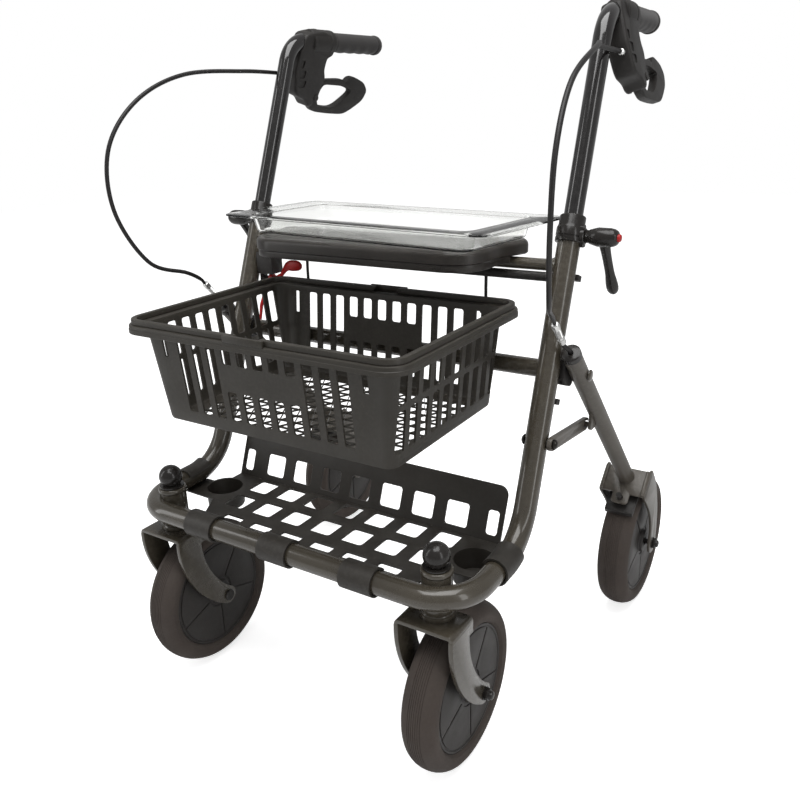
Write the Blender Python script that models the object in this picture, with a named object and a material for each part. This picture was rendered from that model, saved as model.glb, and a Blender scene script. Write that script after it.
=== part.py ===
"""Rollator with a lift-off tray: a folding walking frame on four wheels.

Metres, +Z up. The ground is z = 0, x = 0 is the symmetry plane, the front (casters and
basket) is -Y, and the origin lies below the middle of the wheelbase. Pieces are modelled
where they stand at rest. A right-hand piece is mirrored to make the left-hand one, and a
moving piece has its origin on its joint.
"""

import math

import bmesh
import bpy
from mathutils import Matrix, Vector

# Clearances
GAP = 0.0003
RUN_GAP = 0.0004
JOINT_GAP = 0.0006

# Wheels
WHEEL_RADIUS = 0.100
TYRE_WIDTH = 0.0445
TYRE_SEAT_RADIUS = 0.076
HUB_WIDTH = 0.037
HUB_WEB_WIDTH = 0.026
HUB_BOSS_WIDTH = 0.044
HUB_BOSS_RADIUS = 0.017
HUB_POCKETS = 5
WHEEL_SEGMENTS = 24
HUB_POCKET_DEPTH = 0.003
AXLE_RADIUS = 0.004
WHEELBASE = 0.4236
FRONT_TRACK = 0.3982
REAR_TRACK = 0.5440
FRONT_Y = -WHEELBASE / 2
REAR_Y = WHEELBASE / 2
FRONT_X = FRONT_TRACK / 2
REAR_X = REAR_TRACK / 2

# Frame tube: a U lying flat, whose ends bend up into the two uprights
TUBE_RADIUS = 0.01325
TUBE_SIDES = 14
BEND_STEPS = 6
BAR_HALF_WIDTH = 0.2390
BAR_HEIGHT = 0.2535
BAR_FRONT_Y = -0.2782
BAR_CORNER_RADIUS = 0.054
UPRIGHT_FOOT_Y = -0.1333
UPRIGHT_BEND_RADIUS = 0.070
UPRIGHT_LEAN_BACK = 0.3958
UPRIGHT_LEAN_IN = -0.0108
UPRIGHT_TOP = 0.600

# Caster sockets and forks
SWIVEL_Y = -0.2540
SOCKET_RADIUS = 0.0170
SOCKET_TOP = 0.2785
SOCKET_RING_HEIGHT = 0.006
STEM_RADIUS = 0.0065
STEM_TOP = 0.2680
DOME_RADIUS = 0.0150
DOME_CENTRE = 0.2926
FORK_WIDTH = 0.072
FORK_PLATE = 0.005
CROWN_TOP = 0.2215
CROWN_FRONT_Y = -0.2860
CROWN_REAR_Y = -0.2400
FORK_BLADE_TOP_Y = -0.2665
FORK_BLADE_TOP_WIDTH = 0.039
FORK_BLADE_END_WIDTH = 0.025

# Handles
HANDLE_RADIUS = 0.0110
HANDLE_BEND_RADIUS = 0.047
HANDLE_INSERT = 0.150
HANDLE_DROP = 0.100
GRIP_AXIS_HEIGHT = 0.8295
GRIP_TOE_IN = 0.0483
GRIP_START = 0.0885
GRIP_END = 0.2085
GRIP_RADIUS = 0.0143
KEYWAY_WIDTH = 0.004
KEYWAY_DEPTH = 0.0014
KEYWAY_TOP = 0.707
COLLAR_FOOT = 0.581
COLLAR_LENGTH = 0.0312
COLLAR_STEP = 0.0170
COLLAR_RADIUS = 0.0165
COLLAR_NECK_RADIUS = 0.0150
CLAMP_HEIGHT = 0.589
CLAMP_HUB_LENGTH = 0.0370
CLAMP_HUB_RADIUS = 0.0108
CLAMP_ARM_REACH = 0.0888
CLAMP_ARM_SLOPE = math.radians(56.5)
CLAMP_STUD_RADIUS = 0.003
CLAMP_STUD_LENGTH = 0.027
CLAMP_BOSS_RADIUS = 0.0092
BUTTON_RADIUS = 0.0043
BUTTON_TRAVEL = 0.003
BUTTON_WELL = 0.0083

# Brake unit, in the plane through the grip axis that leans outwards
BRAKE_ROLL = math.radians(17.0)
HOUSING_THICKNESS = 0.026
HOUSING_SLEEVE_RADIUS = 0.0170
HOUSING_SLEEVE_START = 0.038
HOUSING_SLEEVE_END = 0.0880
LEVER_THICKNESS = 0.011
LEVER_PIVOT_S = 0.0600
LEVER_PIVOT_H = 0.0780
LEVER_PIN_RADIUS = 0.0030
FITTING_RADIUS = 0.0038
FITTING_LENGTH = 0.009
FITTING_SEAT = 0.005
CABLE_RADIUS = 0.0027

# Fold: rear legs hinged on a cross tube that slides up along rails beside the uprights
CROSS_HEIGHT = 0.4347
CROSS_OFFSET = 0.0309
CROSS_RADIUS = 0.0110
RAIL_FOOT = 0.408
RAIL_TOP = 0.551
RAIL_WIDTH = 0.011
RAIL_THICKNESS = 0.004
RAIL_OFFSET = 0.0136
RAIL_X = 0.2460
RAIL_FOOT_LENGTH = 0.009
SLIDER_LENGTH = 0.032
SLIDER_X = 0.2432
SLIDER_THICKNESS = 0.0097
SLIDER_RING_RADIUS = 0.0135
SLIDER_RING_LENGTH = 0.010
PIVOT_PIN_RADIUS = 0.0045
LEG_RADIUS = 0.0110
LEG_PIVOT_X = 0.2648
LEG_FOOT_X = REAR_X
CROWN_FORWARD = 0.0460
CROWN_RISE = 0.1221
LEG_HEAD = 0.045
LEG_BORE_RADIUS = 0.0080
TAB_X = 0.2640
TAB_THICKNESS = 0.004
BOLT_RADIUS = 0.0030
LINK_PIN_Y = 0.0220
LINK_PIN_Z = 0.3533
LINK_BOLT_Z = 0.3665
LINK_WIDTH = 0.016
LINK_THICKNESS = 0.005
LINK_X = 0.2530
LINK_PIN_RADIUS = 0.0030
LINK_PLAY = 0.0034
LINK_SLOT_WIDTH = 0.0096
REAR_FORK_WIDTH = 0.066
REAR_FORK_PLATE = 0.004
REAR_CROWN_LOW = 0.026
REAR_CROWN_HIGH = 0.014
SHOE_GAP = 0.0025
SHOE_THICKNESS = 0.009
SHOE_WIDTH = 0.040
SHOE_STEM_RADIUS = 0.004
SHOE_STEM_FRONT = 0.0336
ADJUSTER_RADIUS = 0.0045
ADJUSTER_LENGTH = 0.037
ADJUSTER_LOW = -0.022
ADJUSTER_X = 0.2592
ADJUSTER_BACK = -0.0006

# Bars between the uprights, and the basket
SEAT_BAR_RADIUS = 0.0070
SEAT_BAR_Z = 0.5562
BASKET_BAR_RADIUS = 0.0055
BASKET_BAR_Z = 0.5432
HANGER_RADIUS = 0.0020
HANGER_X = 0.138
RIM_HALF_WIDTH = 0.1924
RIM_FRONT_Y = -0.3041
RIM_REAR_Y = -0.0220
RIM_TOP = 0.5085
RIM_LIP = 0.0100
RIM_OVERHANG = 0.0176
BASKET_FLOOR = 0.3880
BASKET_TAPER = 0.0110
BASKET_WALL = 0.0024
RIM_CORNER_RADIUS = 0.028
SLOT_PITCH = 0.0225
SLOT_WIDTH = 0.0110
SLOT_TOP = 0.5000
SLOT_UPPER_END = 0.4735
SLOT_LOWER_START = 0.4415
SLOT_FOOT = 0.4050
HANDLE_BAND = 0.0070
HANDLE_BAND_HEIGHT = 0.0062
HANDLE_AXIS_X = 0.020
HANDLE_AXIS_Z = RIM_TOP + GAP + HANDLE_BAND_HEIGHT / 2
SIDE_SLOTS = 10
SIDE_RIB = 0.455
FLOOR_PITCH = 0.048
FLOOR_HOLE = 0.035
FLOOR_COLUMNS = 6
FLOOR_ROWS = 4
LOCK_OUTER_X = 0.2215
LOCK_INNER_X = 0.1935
FOLD_LEVER_X = -0.2040
FOLD_LEVER_Y = -0.0200
FOLD_LEVER_Z = 0.5090

# Seat and tray
SEAT_TOP = 0.5820
SEAT_THICKNESS = 0.0170
SEAT_SKIRT = 0.0075
SEAT_HALF_WIDTH = 0.168
SEAT_LOBE_HALF_WIDTH = 0.184
SEAT_FRONT_Y = -0.1120
SEAT_REAR_Y = 0.0200
SEAT_CORNER_RADIUS = 0.045
SEAT_LOBE_RADIUS = 0.025
SEAT_HOOK_WALL = 0.005
SEAT_HOOK_WIDTH = 0.024
SEAT_HOOKS = (-0.085, 0.085)
TRAY_HALF_WIDTH = 0.213
TRAY_HALF_DEPTH = 0.089
TRAY_CENTRE_Y = -0.031
TRAY_YAW = math.radians(-7.0)
TRAY_SHEET = 0.0025
TRAY_RIM_TOP = 0.6070
TRAY_CORNER_RADIUS = 0.020
DISH_HALF_WIDTH = 0.176
DISH_HALF_DEPTH = 0.069

# Shelf net
NET_Z = 0.2380
NET_SHEET = 0.0030
NET_PITCH = 0.0485
NET_HOLE = 0.0310
NET_HALF_WIDTH = 0.208
NET_FRONT_Y = -0.2600
NET_WALL_FOOT = 0.0150
NET_WALL_TOP = 0.3030
NET_HOLE_FOOT = 0.2470
NET_HOLE_TOP = 0.2750
CLIP_REAR_Y = -0.1535
CUP_X = 0.1970
CUP_Y = -0.1640
CUP_RADIUS = 0.0265
CUP_DEPTH = 0.0260
CUP_WALL = 0.0022
CLIP_WALL = 0.0024

SIDES = (("right", 1), ("left", -1))


def remove_everything():
    for item in list(bpy.data.objects):
        bpy.data.objects.remove(item, do_unlink=True)


def make_material(name, colour, roughness, metallic, alpha=1.0):
    material = bpy.data.materials.new(name)
    material.use_nodes = True
    shader = material.node_tree.nodes["Principled BSDF"]
    shader.inputs["Base Color"].default_value = (*colour, 1.0)
    shader.inputs["Roughness"].default_value = roughness
    shader.inputs["Metallic"].default_value = metallic
    shader.inputs["Alpha"].default_value = alpha
    return material


# Mesh building


def add_piece(name, mesh_data, material, origin=(0.0, 0.0, 0.0)):
    """Turn a bmesh in world coordinates into an object whose origin is at the given point."""
    origin = Vector(origin)
    bmesh.ops.translate(mesh_data, verts=mesh_data.verts, vec=-origin)
    bmesh.ops.recalc_face_normals(mesh_data, faces=mesh_data.faces)
    mesh = bpy.data.meshes.new(name)
    mesh_data.to_mesh(mesh)
    mesh_data.free()
    mesh.materials.append(material)
    piece = bpy.data.objects.new(name, mesh)
    piece.location = origin
    bpy.context.scene.collection.objects.link(piece)
    return piece


def add_pair(name, build, material, origin=(0.0, 0.0, 0.0)):
    """Add a right-hand piece and its mirror image."""
    for word, side in SIDES:
        mesh_data = build()
        if side < 0:
            mirror(mesh_data)
        add_piece(f"{name}_{word}", mesh_data, material, (side * origin[0], origin[1], origin[2]))


def mirror(mesh_data):
    bmesh.ops.scale(mesh_data, vec=(-1.0, 1.0, 1.0), verts=mesh_data.verts)
    bmesh.ops.reverse_faces(mesh_data, faces=mesh_data.faces)


def moved(mesh_data, matrix):
    bmesh.ops.transform(mesh_data, matrix=matrix, verts=mesh_data.verts)
    return mesh_data


def loft(rings, closed=False):
    """Skin rings that have as many points each. Closed joins the last to the first."""
    mesh_data = bmesh.new()
    made = [[mesh_data.verts.new(point) for point in ring] for ring in rings]
    pairs = list(zip(made, made[1:]))
    if closed:
        pairs.append((made[-1], made[0]))
    for lower, upper in pairs:
        count = len(lower)
        for i in range(count):
            j = (i + 1) % count
            mesh_data.faces.new((lower[i], lower[j], upper[j], upper[i]))
    if not closed:
        mesh_data.faces.new(made[0])
        mesh_data.faces.new(made[-1])
    bmesh.ops.recalc_face_normals(mesh_data, faces=mesh_data.faces)
    return mesh_data


def turned_frames(path, up=None):
    """Side and up directions at each point of a path, carried along without twist."""
    tangents = []
    for i in range(len(path)):
        before = path[max(i - 1, 0)]
        after = path[min(i + 1, len(path) - 1)]
        tangents.append((after - before).normalized())
    if up is None:
        up = Vector((0.0, 0.0, 1.0))
        if abs(tangents[0].dot(up)) > 0.9:
            up = Vector((0.0, 1.0, 0.0))
    side = tangents[0].cross(up).normalized()
    frames = []
    for tangent in tangents:
        side = (side - tangent * side.dot(tangent)).normalized()
        frames.append((side, side.cross(tangent)))
    return frames


def sweep(path, section, up=None):
    """Carry a flat section along a path. The section is a list, or a list of them."""
    path = [Vector(point) for point in path]
    frames = turned_frames(path, up)
    sections = section if isinstance(section[0], list) else [section] * len(path)
    rings = []
    for point, (side, rise), shape in zip(path, frames, sections):
        rings.append([point + side * a + rise * b for a, b in shape])
    return loft(rings)


def circle(radius, sides, phase=0.0):
    step = 2.0 * math.pi / sides
    return [
        (radius * math.cos(phase + i * step), radius * math.sin(phase + i * step))
        for i in range(sides)
    ]


def tube(path, radius, sides):
    """A round bar along a path, with one radius or one for each point."""
    if isinstance(radius, (list, tuple)):
        return sweep(path, [circle(each, sides) for each in radius])
    return sweep(path, circle(radius, sides))


def rod(start, end, radius, sides=12):
    return tube([Vector(start), Vector(end)], radius, sides)


def revolve(profile, segments, matrix=None, closed=False):
    """Turn (radius, height) points about local Z. Closed makes a ring of the profile."""
    rings = []
    for radius, height in profile:
        rings.append([Vector((x, y, height)) for x, y in circle(radius, segments)])
    mesh_data = loft(rings, closed)
    return moved(mesh_data, matrix) if matrix else mesh_data


def prism(outline, thickness, matrix, centre=0.0):
    """An outline in local X and Y, extruded along local Z about the given height."""
    low = centre - thickness / 2
    rings = [
        [Vector((a, b, low)) for a, b in outline],
        [Vector((a, b, low + thickness)) for a, b in outline],
    ]
    return moved(loft(rings), matrix)


def box(low, high):
    (x0, y0, z0), (x1, y1, z1) = low, high
    outline = [(x0, y0), (x1, y0), (x1, y1), (x0, y1)]
    return prism(outline, z1 - z0, Matrix.Identity(4), (z0 + z1) / 2)


def pillow(outline, thickness, edge, matrix):
    """A prism whose rims are drawn in, by about the width of the edge."""
    middle = (sum(a for a, _ in outline) / len(outline), sum(b for _, b in outline) / len(outline))
    reach = sum(math.dist(point, middle) for point in outline) / len(outline)
    rings = []
    for height, share in (
        (-thickness / 2, 1.0), (edge - thickness / 2, 0.0), (thickness / 2 - edge, 0.0),
        (thickness / 2, 1.0),
    ):
        scale = 1.0 - share * 0.8 * edge / reach
        ring = []
        for a, b in outline:
            drawn_in = (middle[0] + (a - middle[0]) * scale, middle[1] + (b - middle[1]) * scale)
            ring.append(Vector((*drawn_in, height)))
        rings.append(ring)
    return moved(loft(rings), matrix)


def arc(centre, radius, start, stop, steps):
    """Points of an arc in the plane, in degrees, both ends included."""
    points = []
    for i in range(steps + 1):
        angle = math.radians(start + (stop - start) * i / steps)
        points.append((centre[0] + radius * math.cos(angle), centre[1] + radius * math.sin(angle)))
    return points


def rounded_rectangle(half_x, half_y, radius, steps, centre=(0.0, 0.0)):
    x, y = half_x - radius, half_y - radius
    corners = ((x, y, 0), (-x, y, 90), (-x, -y, 180), (x, -y, 270))
    points = []
    for a, b, start in corners:
        points += arc((centre[0] + a, centre[1] + b), radius, start, start + 90, steps)
    return points


def rounded_path(corners, radii, steps):
    """A path through corners, each inner one rounded by its own radius."""
    corners = [Vector(corner) for corner in corners]
    path = [corners[0]]
    for before, corner, after, radius in zip(corners, corners[1:], corners[2:], radii):
        into = (corner - before).normalized()
        out = (after - corner).normalized()
        angle = into.angle(out)
        reach = radius * math.tan(angle / 2)
        start = corner - into * reach
        inward = (out - into * out.dot(into)).normalized()
        centre = start + inward * radius
        for i in range(steps + 1):
            turn = angle * i / steps
            path.append(centre - inward * radius * math.cos(turn) + into * radius * math.sin(turn))
    path.append(corners[-1])
    return path


def bezier(points, steps):
    """A cubic curve from four points of the plane."""
    curve = []
    for i in range(steps + 1):
        t = i / steps
        weights = ((1 - t) ** 3, 3 * t * (1 - t) ** 2, 3 * t * t * (1 - t), t ** 3)
        curve.append(tuple(sum(w * p[k] for w, p in zip(weights, points)) for k in (0, 1)))
    return curve


def blade(points, start_width, end_width, steps=6, end_steps=5):
    """A flat blade along a curve, square at its start and round at its end."""
    curve = bezier(points, steps)
    left, right = [], []
    for i, (a, b) in enumerate(curve):
        before, after = curve[max(i - 1, 0)], curve[min(i + 1, steps)]
        heading = Vector((after[0] - before[0], after[1] - before[1])).normalized()
        half = (start_width + (end_width - start_width) * i / steps) / 2
        left.append((a - heading.y * half, b + heading.x * half))
        right.append((a + heading.y * half, b - heading.x * half))
    last = math.degrees(math.atan2(heading.y, heading.x))
    tip = arc(curve[-1], end_width / 2, last - 90, last + 90, end_steps)
    return right[:-1] + tip + left[:-1][::-1]


def combine(base, others, operation):
    """Boolean of bmeshes, which are used up."""
    pieces = []
    for mesh_data in [base] + list(others):
        mesh = bpy.data.meshes.new("working")
        bmesh.ops.recalc_face_normals(mesh_data, faces=mesh_data.faces)
        mesh_data.to_mesh(mesh)
        mesh_data.free()
        piece = bpy.data.objects.new("working", mesh)
        bpy.context.scene.collection.objects.link(piece)
        pieces.append(piece)
    for cutter in pieces[1:]:
        modifier = pieces[0].modifiers.new(operation, "BOOLEAN")
        modifier.operation = operation
        modifier.solver = "EXACT"
        modifier.object = cutter
    bpy.context.view_layer.update()
    evaluated = pieces[0].evaluated_get(bpy.context.evaluated_depsgraph_get())
    result = bmesh.new()
    result.from_mesh(evaluated.to_mesh())
    evaluated.to_mesh_clear()
    for piece in pieces:
        mesh = piece.data
        bpy.data.objects.remove(piece, do_unlink=True)
        bpy.data.meshes.remove(mesh)
    bmesh.ops.dissolve_limit(
        result, angle_limit=math.radians(0.5), verts=result.verts, edges=result.edges
    )
    return result


def union(base, *others):
    return combine(base, others, "UNION")


def cut(base, *others):
    return combine(base, others, "DIFFERENCE")


def several(meshes):
    """Bodies that don't touch, gathered into one cutter."""
    result = bmesh.new()
    for mesh_data in meshes:
        mesh = bpy.data.meshes.new("working")
        mesh_data.to_mesh(mesh)
        mesh_data.free()
        result.from_mesh(mesh)
        bpy.data.meshes.remove(mesh)
    return result


# Places that several pieces share


def upright_point(height):
    """Centre of the right upright at a height."""
    rise = height - BAR_HEIGHT
    x = BAR_HALF_WIDTH + UPRIGHT_LEAN_IN * rise
    return Vector((x, UPRIGHT_FOOT_Y + UPRIGHT_LEAN_BACK * rise, height))


UPRIGHT = (upright_point(1.0) - upright_point(0.0)).normalized()
UPRIGHT_BACK = Vector((1.0, 0.0, 0.0)).cross(UPRIGHT).normalized() * -1.0
SLIDE = Vector((0.0, UPRIGHT.y, UPRIGHT.z)).normalized()
SLIDE_BACK = Vector((0.0, SLIDE.z, -SLIDE.y))


def axes_matrix(origin, x_axis, y_axis):
    """Local axes placed in the world: Z is X cross Y."""
    x_axis = Vector(x_axis).normalized()
    z_axis = x_axis.cross(Vector(y_axis)).normalized()
    y_axis = z_axis.cross(x_axis)
    matrix = Matrix((x_axis, y_axis, z_axis)).transposed().to_4x4()
    matrix.translation = Vector(origin)
    return matrix


def along_matrix(origin, direction):
    """Local Z along a direction."""
    direction = Vector(direction).normalized()
    helper = Vector((1.0, 0.0, 0.0)) if abs(direction.x) < 0.9 else Vector((0.0, 1.0, 0.0))
    y_axis = direction.cross(helper).normalized()
    return axes_matrix(origin, y_axis.cross(direction), y_axis)


def side_view(x):
    """Local X and Y are world Y and Z, and local Z is world X, at the given x."""
    return axes_matrix((x, 0.0, 0.0), (0.0, 1.0, 0.0), (0.0, 0.0, 1.0))


HANDLE_CORNER = upright_point(GRIP_AXIS_HEIGHT)
GRIP = Vector((-GRIP_TOE_IN, 1.0, 0.0)).normalized()
GRIP_SIDE = Vector((0.0, 0.0, 1.0)).cross(GRIP).normalized() * -1.0
BRAKE_DOWN = (GRIP_SIDE * math.sin(BRAKE_ROLL) - Vector((0.0, 0.0, math.cos(BRAKE_ROLL)))).normalized()
BRAKE = axes_matrix(HANDLE_CORNER, GRIP, BRAKE_DOWN)


def brake_point(s, h, across=0.0):
    """World place of a point of the brake unit: s along the grip, h down from its axis."""
    return BRAKE @ Vector((s, h, across))


CROSS_CENTRE = Vector((0.0, upright_point(CROSS_HEIGHT).y + CROSS_OFFSET / SLIDE.z, CROSS_HEIGHT))
LEG_PIVOT = Vector((LEG_PIVOT_X, CROSS_CENTRE.y, CROSS_CENTRE.z))
CROWN_POINT = Vector((LEG_FOOT_X, REAR_Y - CROWN_FORWARD, WHEEL_RADIUS + CROWN_RISE))
LEG = (CROWN_POINT - LEG_PIVOT).normalized()
LEG_BACK = Vector((0.0, -LEG.z, LEG.y)).normalized()
LEG_TOP = LEG_PIVOT - LEG * LEG_HEAD
BOLT = Vector((0.0, upright_point(LINK_BOLT_Z).y + 0.0013, LINK_BOLT_Z))
LINK_PIN = Vector((TAB_X, LINK_PIN_Y, LINK_PIN_Z))
CLAMP = Vector((0.0, upright_point(CLAMP_HEIGHT).y, CLAMP_HEIGHT))
CLAMP_FACE_X = upright_point(CLAMP_HEIGHT).x + COLLAR_RADIUS + 0.0021


# Frame


def side_run(rear_y, steps=BEND_STEPS):
    """The right-hand run of the U from its straight part up into the bend, as far as rear_y."""
    foot = upright_point(BAR_HEIGHT)
    start = Vector((foot.x, -0.199, BAR_HEIGHT))
    path = rounded_path([start, foot, upright_point(0.400)], [UPRIGHT_BEND_RADIUS], steps)
    return [point for point in path if point.y <= rear_y]


def build_main_frame():
    foot = upright_point(BAR_HEIGHT)
    top = upright_point(UPRIGHT_TOP)
    corners = [top, foot, Vector((foot.x, BAR_FRONT_Y, BAR_HEIGHT))]
    corners += [Vector((-corner.x, corner.y, corner.z)) for corner in reversed(corners)]
    radii = [UPRIGHT_BEND_RADIUS, BAR_CORNER_RADIUS, BAR_CORNER_RADIUS, UPRIGHT_BEND_RADIUS]
    frame = tube(rounded_path(corners, radii, BEND_STEPS), TUBE_RADIUS, TUBE_SIDES)
    bar_y = upright_point(SEAT_BAR_Z).y
    bar_x = upright_point(SEAT_BAR_Z).x
    bar = rod((-bar_x, bar_y, SEAT_BAR_Z), (bar_x, bar_y, SEAT_BAR_Z), SEAT_BAR_RADIUS, 14)
    welded, holes = [bar], []
    ring = SOCKET_RADIUS + 0.0008
    bore_start = COLLAR_FOOT + COLLAR_LENGTH * SLIDE.z
    bore_depth = HANDLE_INSERT + HANDLE_DROP + 3 * GAP
    for side in (1, -1):
        place = Matrix.Translation((side * FRONT_X, SWIVEL_Y, 0.0))
        profile = [
            (SOCKET_RADIUS, BAR_HEIGHT - TUBE_RADIUS - 0.0002),
            (SOCKET_RADIUS, SOCKET_TOP - SOCKET_RING_HEIGHT),
            (ring, SOCKET_TOP - SOCKET_RING_HEIGHT + 0.001),
            (ring, SOCKET_TOP - 0.001),
            (SOCKET_RADIUS - 0.0005, SOCKET_TOP),
        ]
        welded.append(revolve(profile, 16, place))
        stem = [(STEM_RADIUS + JOINT_GAP, 0.230), (STEM_RADIUS + JOINT_GAP, STEM_TOP + 2 * GAP)]
        holes.append(revolve(stem, 14, place))
        mouth = upright_point(UPRIGHT_TOP + 0.01)
        start = upright_point(bore_start)
        end = start - UPRIGHT * bore_depth
        bolt = Vector((0.0, BOLT.y, BOLT.z))
        for point in (mouth, start, end):
            point.x *= side
        holes.append(rod(end, mouth, HANDLE_RADIUS + GAP, TUBE_SIDES))
        inside, outside = bolt + Vector((side * 0.21, 0, 0)), bolt + Vector((side * 0.27, 0, 0))
        holes.append(rod(inside, outside, BOLT_RADIUS + GAP, 10))
    return cut(union(frame, *welded), *holes)


def build_basket_bar():
    """The bar behind the basket, and the wire welded to it that holds the basket's rim."""
    centre = upright_point(BASKET_BAR_Z)
    half = centre.x - TUBE_RADIUS - GAP
    bar = rod((-half, centre.y, BASKET_BAR_Z), (half, centre.y, BASKET_BAR_Z), BASKET_BAR_RADIUS, 12)
    lip_foot = RIM_TOP - RIM_LIP
    under = RIM_TOP - BASKET_WALL - HANGER_RADIUS - GAP
    below = lip_foot - HANGER_RADIUS - JOINT_GAP
    inset = RIM_OVERHANG / 2 + BASKET_WALL / 2
    outside = RIM_REAR_Y + HANGER_RADIUS + JOINT_GAP
    run_rear = RIM_REAR_Y - inset
    run_front = RIM_FRONT_Y + inset
    run_x = RIM_HALF_WIDTH - inset
    right = [
        Vector((HANGER_X, centre.y, BASKET_BAR_Z)),
        Vector((HANGER_X, outside, BASKET_BAR_Z - 0.018)),
        Vector((HANGER_X, outside, below)),
        Vector((HANGER_X, run_rear, below)),
        Vector((HANGER_X, run_rear, under)),
        Vector((run_x, run_rear, under)),
        Vector((run_x, run_front, under)),
    ]
    corners = right + [Vector((-point.x, point.y, point.z)) for point in reversed(right)]
    radii = [0.008, 0.003, 0.0025, 0.0025, 0.017, 0.017]
    wire = tube(rounded_path(corners, radii + radii[::-1], 2), HANGER_RADIUS, 6)
    return union(bar, wire)


def build_collar():
    low = upright_point(COLLAR_FOOT)
    place = along_matrix(low, UPRIGHT)
    step = (UPRIGHT_TOP - COLLAR_FOOT) / UPRIGHT.z + JOINT_GAP
    outer = [
        (COLLAR_RADIUS - 0.001, 0.0),
        (COLLAR_RADIUS, 0.001),
        (COLLAR_RADIUS, COLLAR_STEP),
        (COLLAR_NECK_RADIUS, COLLAR_STEP + 0.003),
        (COLLAR_NECK_RADIUS, COLLAR_LENGTH - 0.001),
        (COLLAR_NECK_RADIUS - 0.001, COLLAR_LENGTH),
    ]
    ring = revolve(outer, 14, place)
    start = Vector((low.x, CLAMP.y, CLAMP.z))
    boss = rod(start, (CLAMP_FACE_X, CLAMP.y, CLAMP.z), CLAMP_BOSS_RADIUS, 12)
    stud = rod(start, (CLAMP_FACE_X + CLAMP_STUD_LENGTH, CLAMP.y, CLAMP.z), CLAMP_STUD_RADIUS, 8)
    bore = revolve(
        [
            (TUBE_RADIUS + GAP, -0.02),
            (TUBE_RADIUS + GAP, step),
            (HANDLE_RADIUS + RUN_GAP, step),
            (HANDLE_RADIUS + RUN_GAP, COLLAR_LENGTH + 0.01),
        ],
        TUBE_SIDES,
        place,
    )
    return cut(union(ring, boss, stud), bore)


def build_guide_rail():
    """A slotted flat bar beside the upright, on two feet that fit the tube."""
    low = upright_point(RAIL_FOOT)
    length = (RAIL_TOP - RAIL_FOOT) / SLIDE.z
    plane = axes_matrix((0.0, low.y, low.z), SLIDE_BACK, SLIDE)
    x = RAIL_X + RAIL_THICKNESS / 2
    near = RAIL_OFFSET
    far = RAIL_OFFSET + RAIL_WIDTH
    end = RAIL_WIDTH / 2
    middle = near + end
    outline = arc((middle, end), end, 180, 360, 6) + arc((middle, length - end), end, 0, 180, 6)
    bar = prism(outline, RAIL_THICKNESS, plane, x)
    feet = []
    for start in (0.0, length - RAIL_FOOT_LENGTH):
        foot = [(near - 0.006, start + 0.001), (far - 0.003, start + 0.001)]
        foot += [
            (far - 0.003, start + RAIL_FOOT_LENGTH - 0.001),
            (near - 0.006, start + RAIL_FOOT_LENGTH - 0.001),
        ]
        feet.append(prism(foot, RAIL_THICKNESS + 0.003, plane, x - 0.0015))
    slot = arc((middle, 0.022), 0.0022, 180, 360, 3) + arc((middle, length - 0.022), 0.0022, 0, 180, 3)
    opening = prism(slot, 0.03, plane, x)
    saddle = rod(upright_point(0.38), upright_point(0.58), TUBE_RADIUS + GAP, TUBE_SIDES)
    return cut(union(bar, *feet), opening, saddle)


def build_caster_cap():
    """A domed plug on the caster socket."""
    place = Matrix.Translation((FRONT_X, SWIVEL_Y, 0.0))
    foot = SOCKET_TOP + GAP
    profile = [(SOCKET_RADIUS - 0.002, foot), (SOCKET_RADIUS - 0.0015, foot + 0.002)]
    start = math.degrees(math.asin((foot + 0.003 - DOME_CENTRE) / DOME_RADIUS))
    for radius, height in arc((0.0, DOME_CENTRE), DOME_RADIUS, start, 78, 5):
        profile.append((radius, height))
    return revolve(profile, 14, place)


def build_link_bolt():
    """The bolt through the upright that the link turns on, with its spacer."""
    inside = upright_point(BOLT.z).x - TUBE_RADIUS - GAP
    outside = upright_point(BOLT.z).x + TUBE_RADIUS + GAP
    link = LINK_X - GAP
    nut = LINK_X + LINK_THICKNESS + GAP
    profile = [
        (0.0050, inside - 0.0045),
        (0.0064, inside - 0.0035),
        (0.0064, inside),
        (BOLT_RADIUS, inside),
        (BOLT_RADIUS, outside),
        (0.0064, outside),
        (0.0064, link),
        (BOLT_RADIUS, link),
        (BOLT_RADIUS, nut),
        (0.0060, nut),
        (0.0060, nut + 0.0030),
        (0.0045, nut + 0.0045),
    ]
    return revolve(profile, 10, axes_matrix((0.0, BOLT.y, BOLT.z), (0, 1, 0), (0, 0, 1)))


# Wheels


def wheel_place(x, y):
    """Local Z along world X, at a wheel's centre."""
    return axes_matrix((x, y, WHEEL_RADIUS), (0.0, 1.0, 0.0), (0.0, 0.0, 1.0))


def build_tyre(x, y):
    half = TYRE_WIDTH / 2
    crown = WHEEL_RADIUS
    seat = TYRE_SEAT_RADIUS
    right = [(seat, half - 0.0045), (seat + 0.008, half - 0.001), (crown - 0.012, half)]
    right += [(crown - 0.0035, half - 0.006)]
    profile = [(radius, -width) for radius, width in right] + [(crown, 0.0)]
    profile += [(radius, width) for radius, width in reversed(right)]
    return revolve(profile, WHEEL_SEGMENTS, wheel_place(x, y), closed=True)


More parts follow.
